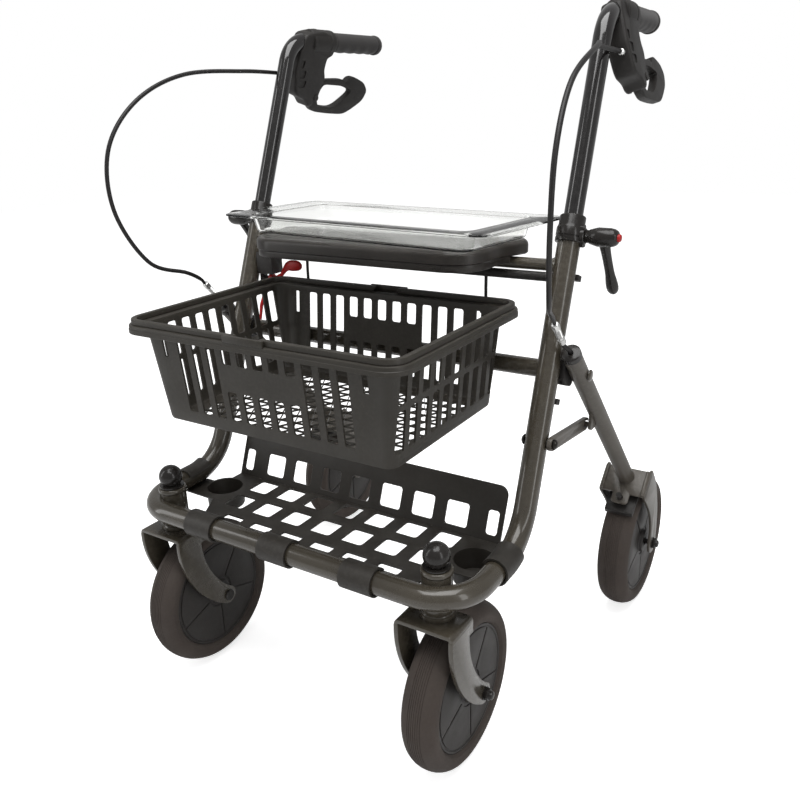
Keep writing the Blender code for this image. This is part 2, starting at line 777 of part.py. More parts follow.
def build_hub(x, y):
    """A disc with a rim, a boss and petal-shaped pockets on both faces."""
    place = wheel_place(x, y)
    half, web, boss = HUB_WIDTH / 2, HUB_WEB_WIDTH / 2, HUB_BOSS_WIDTH / 2
    rim = TYRE_SEAT_RADIUS - GAP
    bore = AXLE_RADIUS + RUN_GAP
    right = [(rim, half), (rim - 0.009, half), (rim - 0.011, web)]
    right += [(HUB_BOSS_RADIUS, web), (HUB_BOSS_RADIUS, boss)]
    right += [(bore, boss)]
    profile = [(radius, -width) for radius, width in right] + [
        (radius, width)
        for radius, width in reversed(right)
    ]
    disc = revolve(profile, WHEEL_SEGMENTS, place, closed=True)
    inner, outer = HUB_BOSS_RADIUS + 0.006, rim - 0.0135
    pockets = []
    for k in range(HUB_POCKETS):
        turn = 360.0 * k / HUB_POCKETS + 90.0
        petal = arc(
            (0.0, 0.0), outer, turn - 29, turn + 29, 3,
        ) + arc((0.0, 0.0), inner, turn + 14, turn - 14, 1)
        for face in (web, -web):
            pockets.append(prism(petal, 2 * HUB_POCKET_DEPTH, place, face))
    return cut(disc, several(pockets))


def fork_blade():
    """Outline of a front fork blade in world Y and Z: swept back from the crown to the axle."""
    points = [
        (FORK_BLADE_TOP_Y, CROWN_TOP - 0.004), (-0.2740, 0.178), (-0.2500, 0.125),
        (FRONT_Y, WHEEL_RADIUS),
    ]
    return blade(points, FORK_BLADE_TOP_WIDTH, FORK_BLADE_END_WIDTH, 6, 5)


def build_front_fork():
    half = FORK_WIDTH / 2
    crown = rounded_rectangle(half, (CROWN_REAR_Y - CROWN_FRONT_Y) / 2, 0.008, 2)
    middle = (CROWN_REAR_Y + CROWN_FRONT_Y) / 2
    plate = prism(
        crown, FORK_PLATE, Matrix.Translation((FRONT_X, middle, 0.0)),
        CROWN_TOP - FORK_PLATE / 2,
    )
    place = Matrix.Translation((FRONT_X, SWIVEL_Y, 0.0))
    bearing_top = BAR_HEIGHT - TUBE_RADIUS - JOINT_GAP
    stem = [
        (0.0195, CROWN_TOP - 0.002),
        (0.0205, CROWN_TOP + 0.003),
        (0.0190, bearing_top - 0.002),
        (0.0180, bearing_top),
        (STEM_RADIUS, bearing_top),
        (STEM_RADIUS, STEM_TOP),
    ]
    parts = [revolve(stem, 14, place)]
    for side in (1, -1):
        x = FRONT_X + side * (half - FORK_PLATE / 2)
        parts.append(prism(fork_blade(), FORK_PLATE, side_view(x)))
    hole = rod(
        (FRONT_X - 0.06, FRONT_Y, WHEEL_RADIUS), (FRONT_X + 0.06, FRONT_Y, WHEEL_RADIUS),
        AXLE_RADIUS + GAP, 12,
    )
    return cut(union(plate, *parts), hole)


def build_axle(x, y, half_fork, cap, cap_length):
    """A pin through the wheel with a round cap at each end, outside the fork."""
    end = half_fork + GAP
    profile = [
        (cap - 0.0015, -end - cap_length),
        (cap, -end - cap_length + 0.0015),
        (cap, -end),
        (AXLE_RADIUS, -end),
        (AXLE_RADIUS, end),
        (cap, end),
        (cap, end + cap_length - 0.0015),
        (cap - 0.0015, end + cap_length),
    ]
    return revolve(profile, 10, wheel_place(x, y))


# Fold: cross tube, rear legs and links


def leg_point(along, front, x=0.0):
    """World place on the rear leg: along it from the hinge, forward of its axis, x in the world."""
    middle = LEG_PIVOT + LEG * along - LEG_BACK * front
    return Vector((x if x else middle.x, middle.y, middle.z))


def leg_plane(x):
    """Local X runs down the leg and local Y runs forward of it, in the plane at x."""
    down = Vector((0.0, LEG.y, LEG.z)).normalized()
    place = axes_matrix(LEG_PIVOT, down, -LEG_BACK)
    place.translation.x = x
    return place


def build_cross_tube():
    """The tube, and at each end the pin that its leg turns on."""
    end = SLIDER_X
    pin = PIVOT_PIN_RADIUS
    outer = LEG_PIVOT_X + LEG_RADIUS + GAP
    right = [(CROSS_RADIUS, end), (pin, end), (pin, outer), (0.0070, outer), (0.0070, outer + 0.0015)]
    right += [(0.0045, outer + 0.0030)]
    profile = [(radius, -x) for radius, x in reversed(right)] + right
    return revolve(profile, 12, axes_matrix(CROSS_CENTRE, (0, 1, 0), (0, 0, 1)))


def build_slider_block():
    """A block fixed on the cross tube's end, whose channel runs along the guide rail."""
    plane = axes_matrix(CROSS_CENTRE, SLIDE_BACK, SLIDE)
    radius = SLIDER_RING_RADIUS
    half = SLIDER_LENGTH / 2
    front = -(CROSS_OFFSET - RAIL_OFFSET) - 0.0022
    outline = [
        (front + 0.003, half), (front, half - 0.003), (front, -half + 0.006),
        (front + 0.006, -half),
    ]
    outline += arc((radius - 0.009, -half + 0.009), 0.009, 270, 360, 4)
    outline += arc((radius - 0.005, half - 0.005), 0.005, 0, 90, 3)
    x = SLIDER_X + SLIDER_THICKNESS / 2 + GAP / 2
    plate = prism(outline, SLIDER_THICKNESS - GAP, plane, x)
    start = SLIDER_X - SLIDER_RING_LENGTH
    ring = rod(
        CROSS_CENTRE + Vector((start, 0, 0)), CROSS_CENTRE + Vector((SLIDER_X + 0.002, 0, 0)),
        radius, 18,
    )
    tube_hole = rod(
        CROSS_CENTRE + Vector((start - 0.01, 0, 0)),
        CROSS_CENTRE + Vector((SLIDER_X + GAP, 0, 0)),
        CROSS_RADIUS + GAP,
        18,
    )
    pin_hole = rod(
        CROSS_CENTRE + Vector((0.2, 0, 0)), CROSS_CENTRE + Vector((0.3, 0, 0)),
        PIVOT_PIN_RADIUS + GAP, 12,
    )
    near = RAIL_OFFSET - CROSS_OFFSET
    channel = [(near - RUN_GAP, -0.05), (near + RAIL_WIDTH + RUN_GAP, -0.05)]
    channel += [(near + RAIL_WIDTH + RUN_GAP, 0.05), (near - RUN_GAP, 0.05)]
    groove = prism(channel, RAIL_THICKNESS + 2 * RUN_GAP, plane, RAIL_X + RAIL_THICKNESS / 2)
    return cut(union(plate, ring), tube_hole, pin_hole, groove)


def rear_cheek():
    """Outline of a rear fork cheek in world Y and Z: a crescent from the crown to the axle."""
    low = CROWN_POINT - LEG_BACK * REAR_CROWN_LOW
    high = CROWN_POINT + LEG_BACK * REAR_CROWN_HIGH
    axle = Vector((REAR_Y, WHEEL_RADIUS))
    rise = Vector((CROWN_POINT.y, CROWN_POINT.z)) - axle
    front = Vector((-rise.y, rise.x)).normalized()

    def beside(share, off):
        place = axle + rise * share + front * off
        return (place.x, place.y)

    outline = [(low.y, low.z), (low.y + 0.0045, low.z - 0.006)]
    outline += [
        beside(0.746, 0.0144), beside(0.544, 0.0040), beside(0.344, 0.0), beside(0.211, 0.0022),
        beside(0.121, 0.0077),
    ]
    outline += arc((REAR_Y + 0.0015, WHEEL_RADIUS), 0.0165, 165, 375, 7)
    outline += [
        beside(0.094, -0.0241), beside(0.303, -0.0312), beside(0.510, -0.0333), beside(0.762, -0.0312),
        (high.y + 0.006, high.z + 0.001),
    ]
    return outline + [(high.y, high.z)]


def build_rear_leg():
    """Tube, link tab and wheel fork, welded together."""
    body = rod(LEG_TOP, CROWN_POINT + LEG * 0.001, LEG_RADIUS, 14)
    half = REAR_FORK_WIDTH / 2
    sheet = REAR_FORK_PLATE
    across = axes_matrix(CROWN_POINT, (1, 0, 0), -LEG_BACK)
    crown = [
        (-half, REAR_CROWN_LOW), (-half, -REAR_CROWN_HIGH), (half, -REAR_CROWN_HIGH),
        (half, REAR_CROWN_LOW),
    ]
    crown += [(0.012, REAR_CROWN_LOW), (0.012, 0.036), (0.007, 0.042), (-0.007, 0.042), (-0.012, 0.036)]
    crown += [(-0.012, REAR_CROWN_LOW)]
    parts = [prism(crown, sheet, across, 0.0)]
    for side in (1, -1):
        parts.append(prism(rear_cheek(), sheet, side_view(CROWN_POINT.x + side * (half - sheet / 2))))
    pin = leg_plane(0.0).inverted() @ LINK_PIN
    tab = [(pin.x - 0.017, LEG_RADIUS - 0.003), (pin.x - 0.007, pin.y)]
    tab += arc((pin.x, pin.y), 0.007, 150, 30, 4) + [(pin.x + 0.017, LEG_RADIUS - 0.003)]
    parts.append(prism(tab, TAB_THICKNESS, leg_plane(TAB_X)))
    head = LINK_X - GAP
    stud = [(0.0052, head - 0.0030), (0.0052, head), (LINK_PIN_RADIUS, head), (LINK_PIN_RADIUS, TAB_X)]
    parts.append(revolve(stud, 12, axes_matrix((0.0, LINK_PIN.y, LINK_PIN.z), (0, 1, 0), (0, 0, 1))))
    holes = [
        rod(LEG_TOP - LEG * 0.01, LEG_TOP + LEG * 0.012, LEG_BORE_RADIUS, 10),
        rod(LEG_TOP, LEG_TOP + LEG * 0.022, CABLE_RADIUS + GAP, 8),
        rod(
            LEG_PIVOT - Vector((0.03, 0, 0)), LEG_PIVOT + Vector((0.03, 0, 0)),
            PIVOT_PIN_RADIUS + RUN_GAP, 10,
        ),
        rod((0.20, REAR_Y, WHEEL_RADIUS), (0.33, REAR_Y, WHEEL_RADIUS), AXLE_RADIUS + GAP, 10),
        rod(shoe_stem(-0.02), shoe_stem(0.01), SHOE_STEM_RADIUS + RUN_GAP, 8),
    ]
    return cut(union(body, *parts), *holes)


def adjuster_point(along):
    """A place on the brake adjuster's axis: along is measured down from the leg's top."""
    place = LEG_TOP + Vector((0.0, LEG.y, LEG.z)).normalized() * along + LEG_BACK * ADJUSTER_BACK
    return Vector((ADJUSTER_X, place.y, place.z))


def build_adjuster():
    """A threaded barrel, and the short length of sheath that bends from it into the leg's open top."""
    low = ADJUSTER_LOW
    high = low - ADJUSTER_LENGTH
    points = [adjuster_point(high), adjuster_point(high + 0.0015)]
    radii = [ADJUSTER_RADIUS - 0.0012, ADJUSTER_RADIUS]
    for k in range(4):
        knurl = high + 0.010 + 0.004 * k
        points += [adjuster_point(knurl), adjuster_point(knurl + 0.002)]
        radii += [ADJUSTER_RADIUS - 0.0007 * (k % 2), ADJUSTER_RADIUS - 0.0007 * (k % 2)]
    points += [adjuster_point(low)]
    radii += [ADJUSTER_RADIUS]
    points += [adjuster_point(low + 0.0004), adjuster_point(low + 0.006), LEG_TOP - LEG * 0.006]
    points += [LEG_TOP + LEG * 0.004, LEG_TOP + LEG * 0.020]
    radii += [CABLE_RADIUS] * 5
    return tube(points, radii, 8)


def shoe_stem(along):
    """A place on the brake shoe's stem: along is measured down from the crown plate."""
    place = CROWN_POINT - LEG_BACK * SHOE_STEM_FRONT + Vector((0.0, LEG.y, LEG.z)).normalized() * along
    return Vector((CROWN_POINT.x, place.y, place.z))


def build_brake_shoe():
    """A block curved like the tyre, on a stem through the crown plate."""
    towards = shoe_stem(0.0155) - Vector((CROWN_POINT.x, REAR_Y, WHEEL_RADIUS))
    middle = math.degrees(math.atan2(towards.z, towards.y))
    inner, outer = WHEEL_RADIUS + SHOE_GAP, WHEEL_RADIUS + SHOE_GAP + SHOE_THICKNESS
    centre = (REAR_Y, WHEEL_RADIUS)
    outline = arc(
        centre, inner, middle - 10, middle + 10, 6,
    ) + arc(centre, outer, middle + 9, middle - 9, 6)
    block = prism(outline, SHOE_WIDTH, side_view(CROWN_POINT.x))
    stem = rod(shoe_stem(-0.012), shoe_stem(0.0150), SHOE_STEM_RADIUS, 8)
    return union(block, stem)


def build_link():
    """A flat bar from the upright's bolt to a slot round the leg's pin."""
    start = Vector((BOLT.y, BOLT.z))
    end = Vector((LINK_PIN.y, LINK_PIN.z))
    heading = (end - start).normalized()
    angle = math.degrees(math.atan2(heading.y, heading.x))
    half = LINK_WIDTH / 2
    outline = arc(start, half, angle + 90, angle + 270, 8) + arc(end, half, angle - 90, angle + 90, 8)
    bar = prism(outline, LINK_THICKNESS, side_view(LINK_X + LINK_THICKNESS / 2))
    hole = prism(
        circle(BOLT_RADIUS + RUN_GAP, 12), 0.02,
        side_view(LINK_X) @ Matrix.Translation((*start, 0)),
    )
    play = heading * LINK_PLAY
    radius = LINK_SLOT_WIDTH / 2
    slot = arc(
        end - play, radius, angle + 90, angle + 270, 6,
    ) + arc(end + play, radius, angle - 90, angle + 90, 6)
    return cut(bar, several([hole, prism(slot, 0.02, side_view(LINK_X))]))


# Handles and brakes


def handle_path(start_height, end):
    corners = [upright_point(start_height), HANDLE_CORNER, brake_point(end, 0.0)]
    return rounded_path(corners, [HANDLE_BEND_RADIUS], 7)


def build_handle_tube():
    foot = COLLAR_FOOT + (COLLAR_LENGTH - HANDLE_INSERT) * SLIDE.z
    body = tube(handle_path(foot, GRIP_END - 0.0042), HANDLE_RADIUS, 14)
    low, high = upright_point(foot - 0.01), upright_point(KEYWAY_TOP)
    plane = axes_matrix(low, (1.0, 0.0, 0.0), UPRIGHT_BACK)
    depth = HANDLE_RADIUS - KEYWAY_DEPTH
    half = KEYWAY_WIDTH / 2
    section = [(-half, -depth), (half, -depth), (half, -depth - 0.006), (-half, -depth - 0.006)]
    groove = loft([[plane @ Vector((a, b, z)) for a, b in section] for z in (0.0, -(high - low).length)])
    return cut(body, groove)


def build_grip():
    radius = GRIP_RADIUS
    bore = HANDLE_RADIUS + GAP
    profile = [(bore, GRIP_END - 0.0038), (bore, GRIP_START), (radius - 0.001, GRIP_START)]
    profile += [
        (radius, GRIP_START + 0.002), (radius - 0.0004, GRIP_START + 0.030),
        (radius + 0.0003, GRIP_START + 0.060),
    ]
    profile += [
        (radius - 0.0003, GRIP_END - 0.020), (radius + 0.0006, GRIP_END - 0.012),
        (radius, GRIP_END - 0.006),
    ]
    profile += [(radius - 0.003, GRIP_END - 0.0015), (radius - 0.007, GRIP_END)]
    return revolve(profile, 14, along_matrix(HANDLE_CORNER, GRIP))


def build_clamp_lever():
    face = CLAMP_FACE_X + GAP
    neck, radius = CLAMP_HUB_RADIUS - 0.0035, CLAMP_HUB_RADIUS
    far = face + CLAMP_HUB_LENGTH
    profile = [
        (neck, face), (neck, face + 0.004), (radius, face + 0.014), (radius, far - 0.007),
        (radius - 0.002, far),
    ]
    place = axes_matrix((0.0, CLAMP.y, CLAMP.z), (0, 1, 0), (0, 0, 1))
    hub = revolve(profile, 14, place)
    heading = Vector((0.0, math.cos(CLAMP_ARM_SLOPE), -math.sin(CLAMP_ARM_SLOPE)))
    start = Vector((face + 0.020, CLAMP.y, CLAMP.z))
    shape = (
        (0.002, 6.5, 6.0), (0.030, 5.5, 4.4), (0.055, 5.5, 4.4), (0.068, 7.0, 5.8),
        (0.079, 7.4, 6.2),
    )
    shape += ((0.086, 5.0, 4.2), (CLAMP_ARM_REACH, 1.6, 1.4))
    path, sections = [], []
    for along, wide, thick in shape:
        path.append(start + heading * along)
        sections.append([(a * wide / 1000, b * thick / 1000) for a, b in circle(1.0, 8)])
    arm = sweep(path, sections)
    stud = rod(
        (face - 0.01, CLAMP.y, CLAMP.z), (face + CLAMP_STUD_LENGTH + GAP, CLAMP.y, CLAMP.z),
        CLAMP_STUD_RADIUS + RUN_GAP, 12,
    )
    well = rod(
        (far - BUTTON_WELL, CLAMP.y, CLAMP.z), (far + 0.01, CLAMP.y, CLAMP.z),
        BUTTON_RADIUS + RUN_GAP, 14,
    )
    return cut(union(hub, arm), stud, well)


def build_clamp_button():
    far = CLAMP_FACE_X + GAP + CLAMP_HUB_LENGTH
    start = far - BUTTON_WELL + BUTTON_TRAVEL + GAP
    profile = [
        (BUTTON_RADIUS, start), (BUTTON_RADIUS, far + 0.0025),
        (BUTTON_RADIUS - 0.0012, far + 0.0035),
    ]
    return revolve(profile, 14, axes_matrix((0.0, CLAMP.y, CLAMP.z), (0, 1, 0), (0, 0, 1)))


HOUSING = (
    (19, -10), (37, -14), (60, -17), (77, -13), (88, 0), (88, 13), (74, 19), (71, 37), (76, 50),
    (70, 66), (57, 84), (52, 92), (45, 91), (36, 81), (17, 75), (11, 67), (8, 40), (10, 30),
)
LEVER_OUTER = (
    (52, 70), (80, 53), (130, 52), (137, 57), (147, 49), (157, 48), (186, 57), (198, 70), (189, 86),
    (161, 100), (142, 107), (104, 105), (66, 101), (52, 90), (50, 78),
)
LEVER_INNER = (
    (76, 69), (84, 60), (107, 61), (127, 62), (160, 70), (116, 96), (76, 92), (72, 84),
)


def in_metres(outline):
    return [(a / 1000, b / 1000) for a, b in outline]


def softened(outline, share=0.28):
    """Cut each corner of an outline, given in millimetres, by a share of its sides."""
    points = []
    for i, (a, b) in enumerate(outline):
        before, after = outline[i - 1], outline[(i + 1) % len(outline)]
        points.append(((a + (before[0] - a) * share) / 1000, (b + (before[1] - b) * share) / 1000))
        points.append(((a + (after[0] - a) * share) / 1000, (b + (after[1] - b) * share) / 1000))
    return points


def fitting_point(along):
    """A place on the cable fitting's axis: along is measured out of the housing's front face."""
    face = brake_point(0.0095, 0.0480, -0.0040)
    heading = Vector((-0.07, -0.99, 0.11)).normalized()
    return face + heading * along


def build_brake_housing():
    body = pillow(in_metres(HOUSING), HOUSING_THICKNESS, 0.004, BRAKE)
    sleeve_start, sleeve_end = HOUSING_SLEEVE_START, HOUSING_SLEEVE_END
    profile = [
        (HOUSING_SLEEVE_RADIUS - 0.002, sleeve_start),
        (HOUSING_SLEEVE_RADIUS, sleeve_start + 0.003),
    ]
    profile += [
        (HOUSING_SLEEVE_RADIUS, sleeve_end - 0.004),
        (HOUSING_SLEEVE_RADIUS - 0.002, sleeve_end),
    ]
    sleeve = revolve(profile, 14, along_matrix(HANDLE_CORNER, GRIP))
    bore = tube(handle_path(GRIP_AXIS_HEIGHT - 0.0695, GRIP_END), HANDLE_RADIUS + GAP, 14)
    half = LEVER_THICKNESS / 2 + JOINT_GAP
    slot = [(0.0465, 0.044), (0.098, 0.044), (0.098, 0.110), (0.0465, 0.110)]
    slot = prism(slot, 2 * half, BRAKE)
    socket = rod(fitting_point(-FITTING_SEAT - GAP), fitting_point(0.02), FITTING_RADIUS + GAP, 12)
    hollow = cut(union(body, sleeve), bore, slot, socket)
    pivot = (LEVER_PIVOT_S, LEVER_PIVOT_H)
    return union(
        hollow,
        rod(brake_point(*pivot, -0.011), brake_point(*pivot, 0.011), LEVER_PIN_RADIUS, 12),
    )


def build_brake_lever():
    body = prism(softened(LEVER_OUTER), LEVER_THICKNESS, BRAKE)
    opening = prism(softened(LEVER_INNER), 0.04, BRAKE)
    hole = prism(
        circle(LEVER_PIN_RADIUS + RUN_GAP, 14), 0.04,
        BRAKE @ Matrix.Translation((LEVER_PIVOT_S, LEVER_PIVOT_H, 0)),
    )
    return cut(body, opening, hole)


def build_fitting():
    start = fitting_point(-FITTING_SEAT)
    profile = [
        (FITTING_RADIUS, 0.0), (FITTING_RADIUS, FITTING_SEAT + 0.005),
        (FITTING_RADIUS - 0.0008, FITTING_SEAT + 0.0055),
    ]
    profile += [(FITTING_RADIUS - 0.0008, FITTING_SEAT + FITTING_LENGTH)]
    return revolve(profile, 12, along_matrix(start, fitting_point(0.01) - start))


def smooth_curve(points, spacing):
    """Even points along a smooth curve through the given ones."""
    dense = []
    last = len(points) - 1
    for i in range(last):
        a, b, c, d = points[max(i - 1, 0)], points[i], points[i + 1], points[min(i + 2, last)]
        for k in range(24):
            t = k / 24
            first = (b * 2 + (c - a) * t) * 0.5
            rest = (a * 2 - b * 5 + c * 4 - d) * (t * t * 0.5) + (b * 3 - a - c * 3 + d) * (t * t * t * 0.5)
            dense.append(first + rest)
    dense.append(points[-1])
    lengths = [0.0]
    for before, after in zip(dense, dense[1:]):
        lengths.append(lengths[-1] + (after - before).length)
    count = max(round(lengths[-1] / spacing), 2)
    even, k = [], 0
    for i in range(count + 1):
        goal = lengths[-1] * i / count
        while k < len(lengths) - 2 and lengths[k + 1] < goal:
            k += 1
        share = (goal - lengths[k]) / (lengths[k + 1] - lengths[k])
        even.append(dense[k].lerp(dense[k + 1], min(share, 1.0)))
    return even


def cable_route():
    """Centre line of the right-hand cable, from the housing's fitting to the adjuster's top."""
    start = fitting_point(FITTING_LENGTH + GAP)
    up = -Vector((0.0, LEG.y, LEG.z)).normalized()
    end = adjuster_point(ADJUSTER_LOW - ADJUSTER_LENGTH) + up * 2 * GAP
    bends = [
        (0.08, (-0.0048, -0.0502, 0.0296)), (0.18, (-0.0012, -0.0788, 0.0575)),
        (0.30, (0.0196, -0.1054, 0.0814)), (0.45, (0.0341, -0.1532, 0.0844)),
        (0.60, (0.0407, -0.1800, 0.0565)), (0.75, (0.0352, -0.1538, 0.0266)),
        (0.88, (0.0230, -0.0935, 0.0062)),
    ]
    route = [start] + [start.lerp(end, share) + Vector(off) for share, off in bends]
    route += [end + up * 0.034 + Vector((0.0110, -0.0060, -0.0030))]
    route += [end + up * 0.012 + Vector((0.0010, 0.0, 0.0)), end]
    return route


def add_cable(name, side, material):
    points = smooth_curve(cable_route(), 6 * CABLE_RADIUS)
    origin = Vector((side * points[0].x, points[0].y, points[0].z))
    data = bpy.data.curves.new(name, "CURVE")
    data.dimensions = "3D"
    data.bevel_depth = CABLE_RADIUS
    data.bevel_resolution = 2
    data.use_fill_caps = True
    spline = data.splines.new("POLY")
    spline.points.add(len(points) - 1)
    for place, point in zip(spline.points, points):
        place.co = (side * point.x - origin.x, point.y - origin.y, point.z - origin.z, 1.0)
    data.materials.append(material)
    piece = bpy.data.objects.new(name, data)
    piece.location = origin
    bpy.context.scene.collection.objects.link(piece)


# Seat and tray


def seat_outline(inset, steps=4):
    front, side, lobe = SEAT_FRONT_Y + inset, SEAT_HALF_WIDTH - inset, SEAT_LOBE_HALF_WIDTH - inset
    rear = SEAT_REAR_Y - inset
    corner, round_off = SEAT_CORNER_RADIUS - inset, SEAT_LOBE_RADIUS - inset
    right = arc((side - corner, front + corner), corner, 270, 360, steps)
    right += [(side, SEAT_REAR_Y - 0.066), (side + 0.006, SEAT_REAR_Y - 0.048)]
    right += arc((lobe - round_off, rear - round_off), round_off, 0, 90, steps)
    right += [(0.140, rear), (0.126, rear - 0.007), (0.020, rear - 0.007)]
    return right + [(-x, y) for x, y in reversed(right)]


def build_seat():
    """A slab with a skirt along its front and sides, and hooks over the seat bar."""
    under = SEAT_TOP - SEAT_THICKNESS
    rings = []
    for height, inset in ((under, 0.003), (under + 0.002, 0.0), (SEAT_TOP - 0.006, 0.0)):
        rings.append([Vector((x, y, height)) for x, y in seat_outline(inset)])
    for height, inset in ((SEAT_TOP - 0.0018, 0.0018), (SEAT_TOP, 0.007)):
        rings.append([Vector((x, y, height)) for x, y in seat_outline(inset)])
    slab = loft(rings)
    flat = Matrix.Identity(4)
    depth = SEAT_SKIRT + 0.002
    middle = under - SEAT_SKIRT + depth / 2
    band = prism(seat_outline(0.0015), depth, flat, middle)
    inside = prism(seat_outline(0.0050), depth * 2, flat, middle)
    bar_y = upright_point(SEAT_BAR_Z).y
    clear = SEAT_BAR_RADIUS + SEAT_HOOK_WALL + 0.001
    behind = box((-0.3, bar_y - clear, under - 0.05), (0.3, 0.1, under + 0.05))
    skirt = cut(band, inside, behind)
    hooks = []
    inner, outer = SEAT_BAR_RADIUS + RUN_GAP, SEAT_BAR_RADIUS + SEAT_HOOK_WALL
    centre = (bar_y, SEAT_BAR_Z)
    for x in SEAT_HOOKS:
        outline = arc(centre, outer, 10, 200, 7) + arc(centre, inner, 200, 10, 7)
        hooks.append(prism(outline, SEAT_HOOK_WIDTH, side_view(x)))
    ribs = []
    for x in (-0.112, 0.0, 0.112):
        low = (x - 0.0015, SEAT_FRONT_Y + 0.003, under - 0.006)
        ribs.append(box(low, (x + 0.0015, bar_y - clear, under + 0.001)))
    channel = rod((-0.3, bar_y, SEAT_BAR_Z), (0.3, bar_y, SEAT_BAR_Z), inner, 16)
    return cut(union(slab, skirt, *hooks, *ribs), channel)


def build_tray():
    """A sheet dish with a flat rim. It lies on the seat, turned a little."""
    floor = SEAT_TOP + GAP
    sheet = TRAY_SHEET
    rings = []

    def ring(half_x, half_y, radius, height):
        outline = rounded_rectangle(half_x, half_y, radius, 3)
        rings.append([Vector((x, y, height)) for x, y in outline])

    x, y = DISH_HALF_WIDTH, DISH_HALF_DEPTH
    rim = TRAY_RIM_TOP
    ring(x - 0.006, y - 0.006, 0.010, floor)
    ring(x - 0.0025, y - 0.0025, 0.014, floor + 0.003)
    ring(x + 0.002, y + 0.003, 0.016, rim - sheet)
    ring(TRAY_HALF_WIDTH - 0.001, TRAY_HALF_DEPTH - 0.001, TRAY_CORNER_RADIUS, rim - sheet)
    ring(TRAY_HALF_WIDTH, TRAY_HALF_DEPTH, TRAY_CORNER_RADIUS, rim - 0.0015)
    ring(TRAY_HALF_WIDTH - 0.001, TRAY_HALF_DEPTH - 0.001, TRAY_CORNER_RADIUS, rim)
    ring(x + 0.002 - sheet, y + 0.003 - sheet, 0.015, rim)
    ring(x - 0.0025 - sheet, y - 0.0025 - sheet, 0.012, floor + 0.005)
    ring(x - 0.008, y - 0.008, 0.009, floor + sheet)
    place = Matrix.Translation((0.0, TRAY_CENTRE_Y, 0.0)) @ Matrix.Rotation(TRAY_YAW, 4, "Z")
    return moved(loft(rings), place)


# Basket


def basket_ring(half_x, half_y, radius, height, steps=3):
    centre = (RIM_FRONT_Y + RIM_REAR_Y) / 2
    return [
        Vector((x, y, height))
        for x, y in rounded_rectangle(half_x, half_y, radius, steps, (0.0, centre))
    ]


def build_basket():
    """Tapering walls with a turned-down rim, slots in the walls and a lattice floor."""
    rim_x = RIM_HALF_WIDTH
    rim_y = (RIM_REAR_Y - RIM_FRONT_Y) / 2
    centre = (RIM_FRONT_Y + RIM_REAR_Y) / 2
    wall_x, wall_y = rim_x - RIM_OVERHANG, rim_y - RIM_OVERHANG
    sheet = BASKET_WALL
    foot_x, foot_y = wall_x - BASKET_TAPER, wall_y - BASKET_TAPER
    top, foot = RIM_TOP, BASKET_FLOOR
    rings = [
        basket_ring(foot_x - 0.003, foot_y - 0.003, 0.012, foot),
        basket_ring(foot_x, foot_y, 0.014, foot + 0.004),
        basket_ring(wall_x, wall_y, 0.016, top - sheet),
        basket_ring(rim_x - sheet, rim_y - sheet, RIM_CORNER_RADIUS - sheet, top - sheet),
        basket_ring(rim_x - sheet, rim_y - sheet, RIM_CORNER_RADIUS - sheet, top - RIM_LIP),
        basket_ring(rim_x, rim_y, RIM_CORNER_RADIUS, top - RIM_LIP),
        basket_ring(rim_x, rim_y, RIM_CORNER_RADIUS, top - 0.001),
        basket_ring(rim_x - 0.001, rim_y - 0.001, RIM_CORNER_RADIUS - 0.001, top),
        basket_ring(wall_x - sheet, wall_y - sheet, 0.014, top),
        basket_ring(foot_x - sheet, foot_y - sheet, 0.012, foot + 0.005),
        basket_ring(foot_x - sheet - 0.003, foot_y - sheet - 0.003, 0.010, foot + sheet),
    ]
    holes = []
    half = SLOT_WIDTH / 2
    for near, far in (
        (centre - wall_y - 0.002, centre - foot_y + 0.008),
        (centre + foot_y - 0.008, centre + wall_y + 0.002),
    ):
        for k in range(-5, 6):
            x = k * SLOT_PITCH
            spans = ((SLOT_UPPER_END, SLOT_TOP), (SLOT_FOOT, SLOT_LOWER_START))
            if abs(k) > 2:
                spans = ((SLOT_FOOT, SLOT_TOP),)
            for low, high in spans:
                holes.append(box((x - half, near, low), (x + half, far, high)))
        for x in (-0.140, 0.140):
            holes.append(box((x - 0.003, near, SLOT_UPPER_END - 0.003), (x + 0.003, far, SLOT_TOP)))
    for near, far in ((-wall_x - 0.002, -foot_x + 0.008), (foot_x - 0.008, wall_x + 0.002)):
        for k in range(SIDE_SLOTS):
            y = centre + (k - (SIDE_SLOTS - 1) / 2) * SLOT_PITCH
            for low, high in ((SLOT_FOOT, SIDE_RIB - 0.003), (SIDE_RIB + 0.003, SLOT_TOP)):
                holes.append(box((near, y - half, low), (far, y + half, high)))
    for i in range(FLOOR_COLUMNS):
        for j in range(FLOOR_ROWS):
            x = (i - (FLOOR_COLUMNS - 1) / 2) * FLOOR_PITCH
            y = centre + (j - (FLOOR_ROWS - 1) / 2) * FLOOR_PITCH
            span = FLOOR_HOLE / 2
            holes.append(box((x - span, y - span, foot - 0.01), (x + span, y + span, foot + 0.02)))
    shell = cut(loft(rings), several(holes))
    axis = HANDLE_AXIS_Z
    parts = []
    for edge, way in ((RIM_FRONT_Y, 1), (RIM_REAR_Y, -1)):
        ends = sorted((edge, edge + way * 0.0040))
        parts.append(box((-0.028, ends[0], top - 0.001), (0.028, ends[1], top + 0.0070)))
        for side in (1, -1):
            start = (side * HANDLE_AXIS_X, edge + way * 0.002, axis)
            parts.append(rod(start, (side * HANDLE_AXIS_X, edge + way * 0.0120, axis), 0.0016, 8))
    return union(shell, *parts)


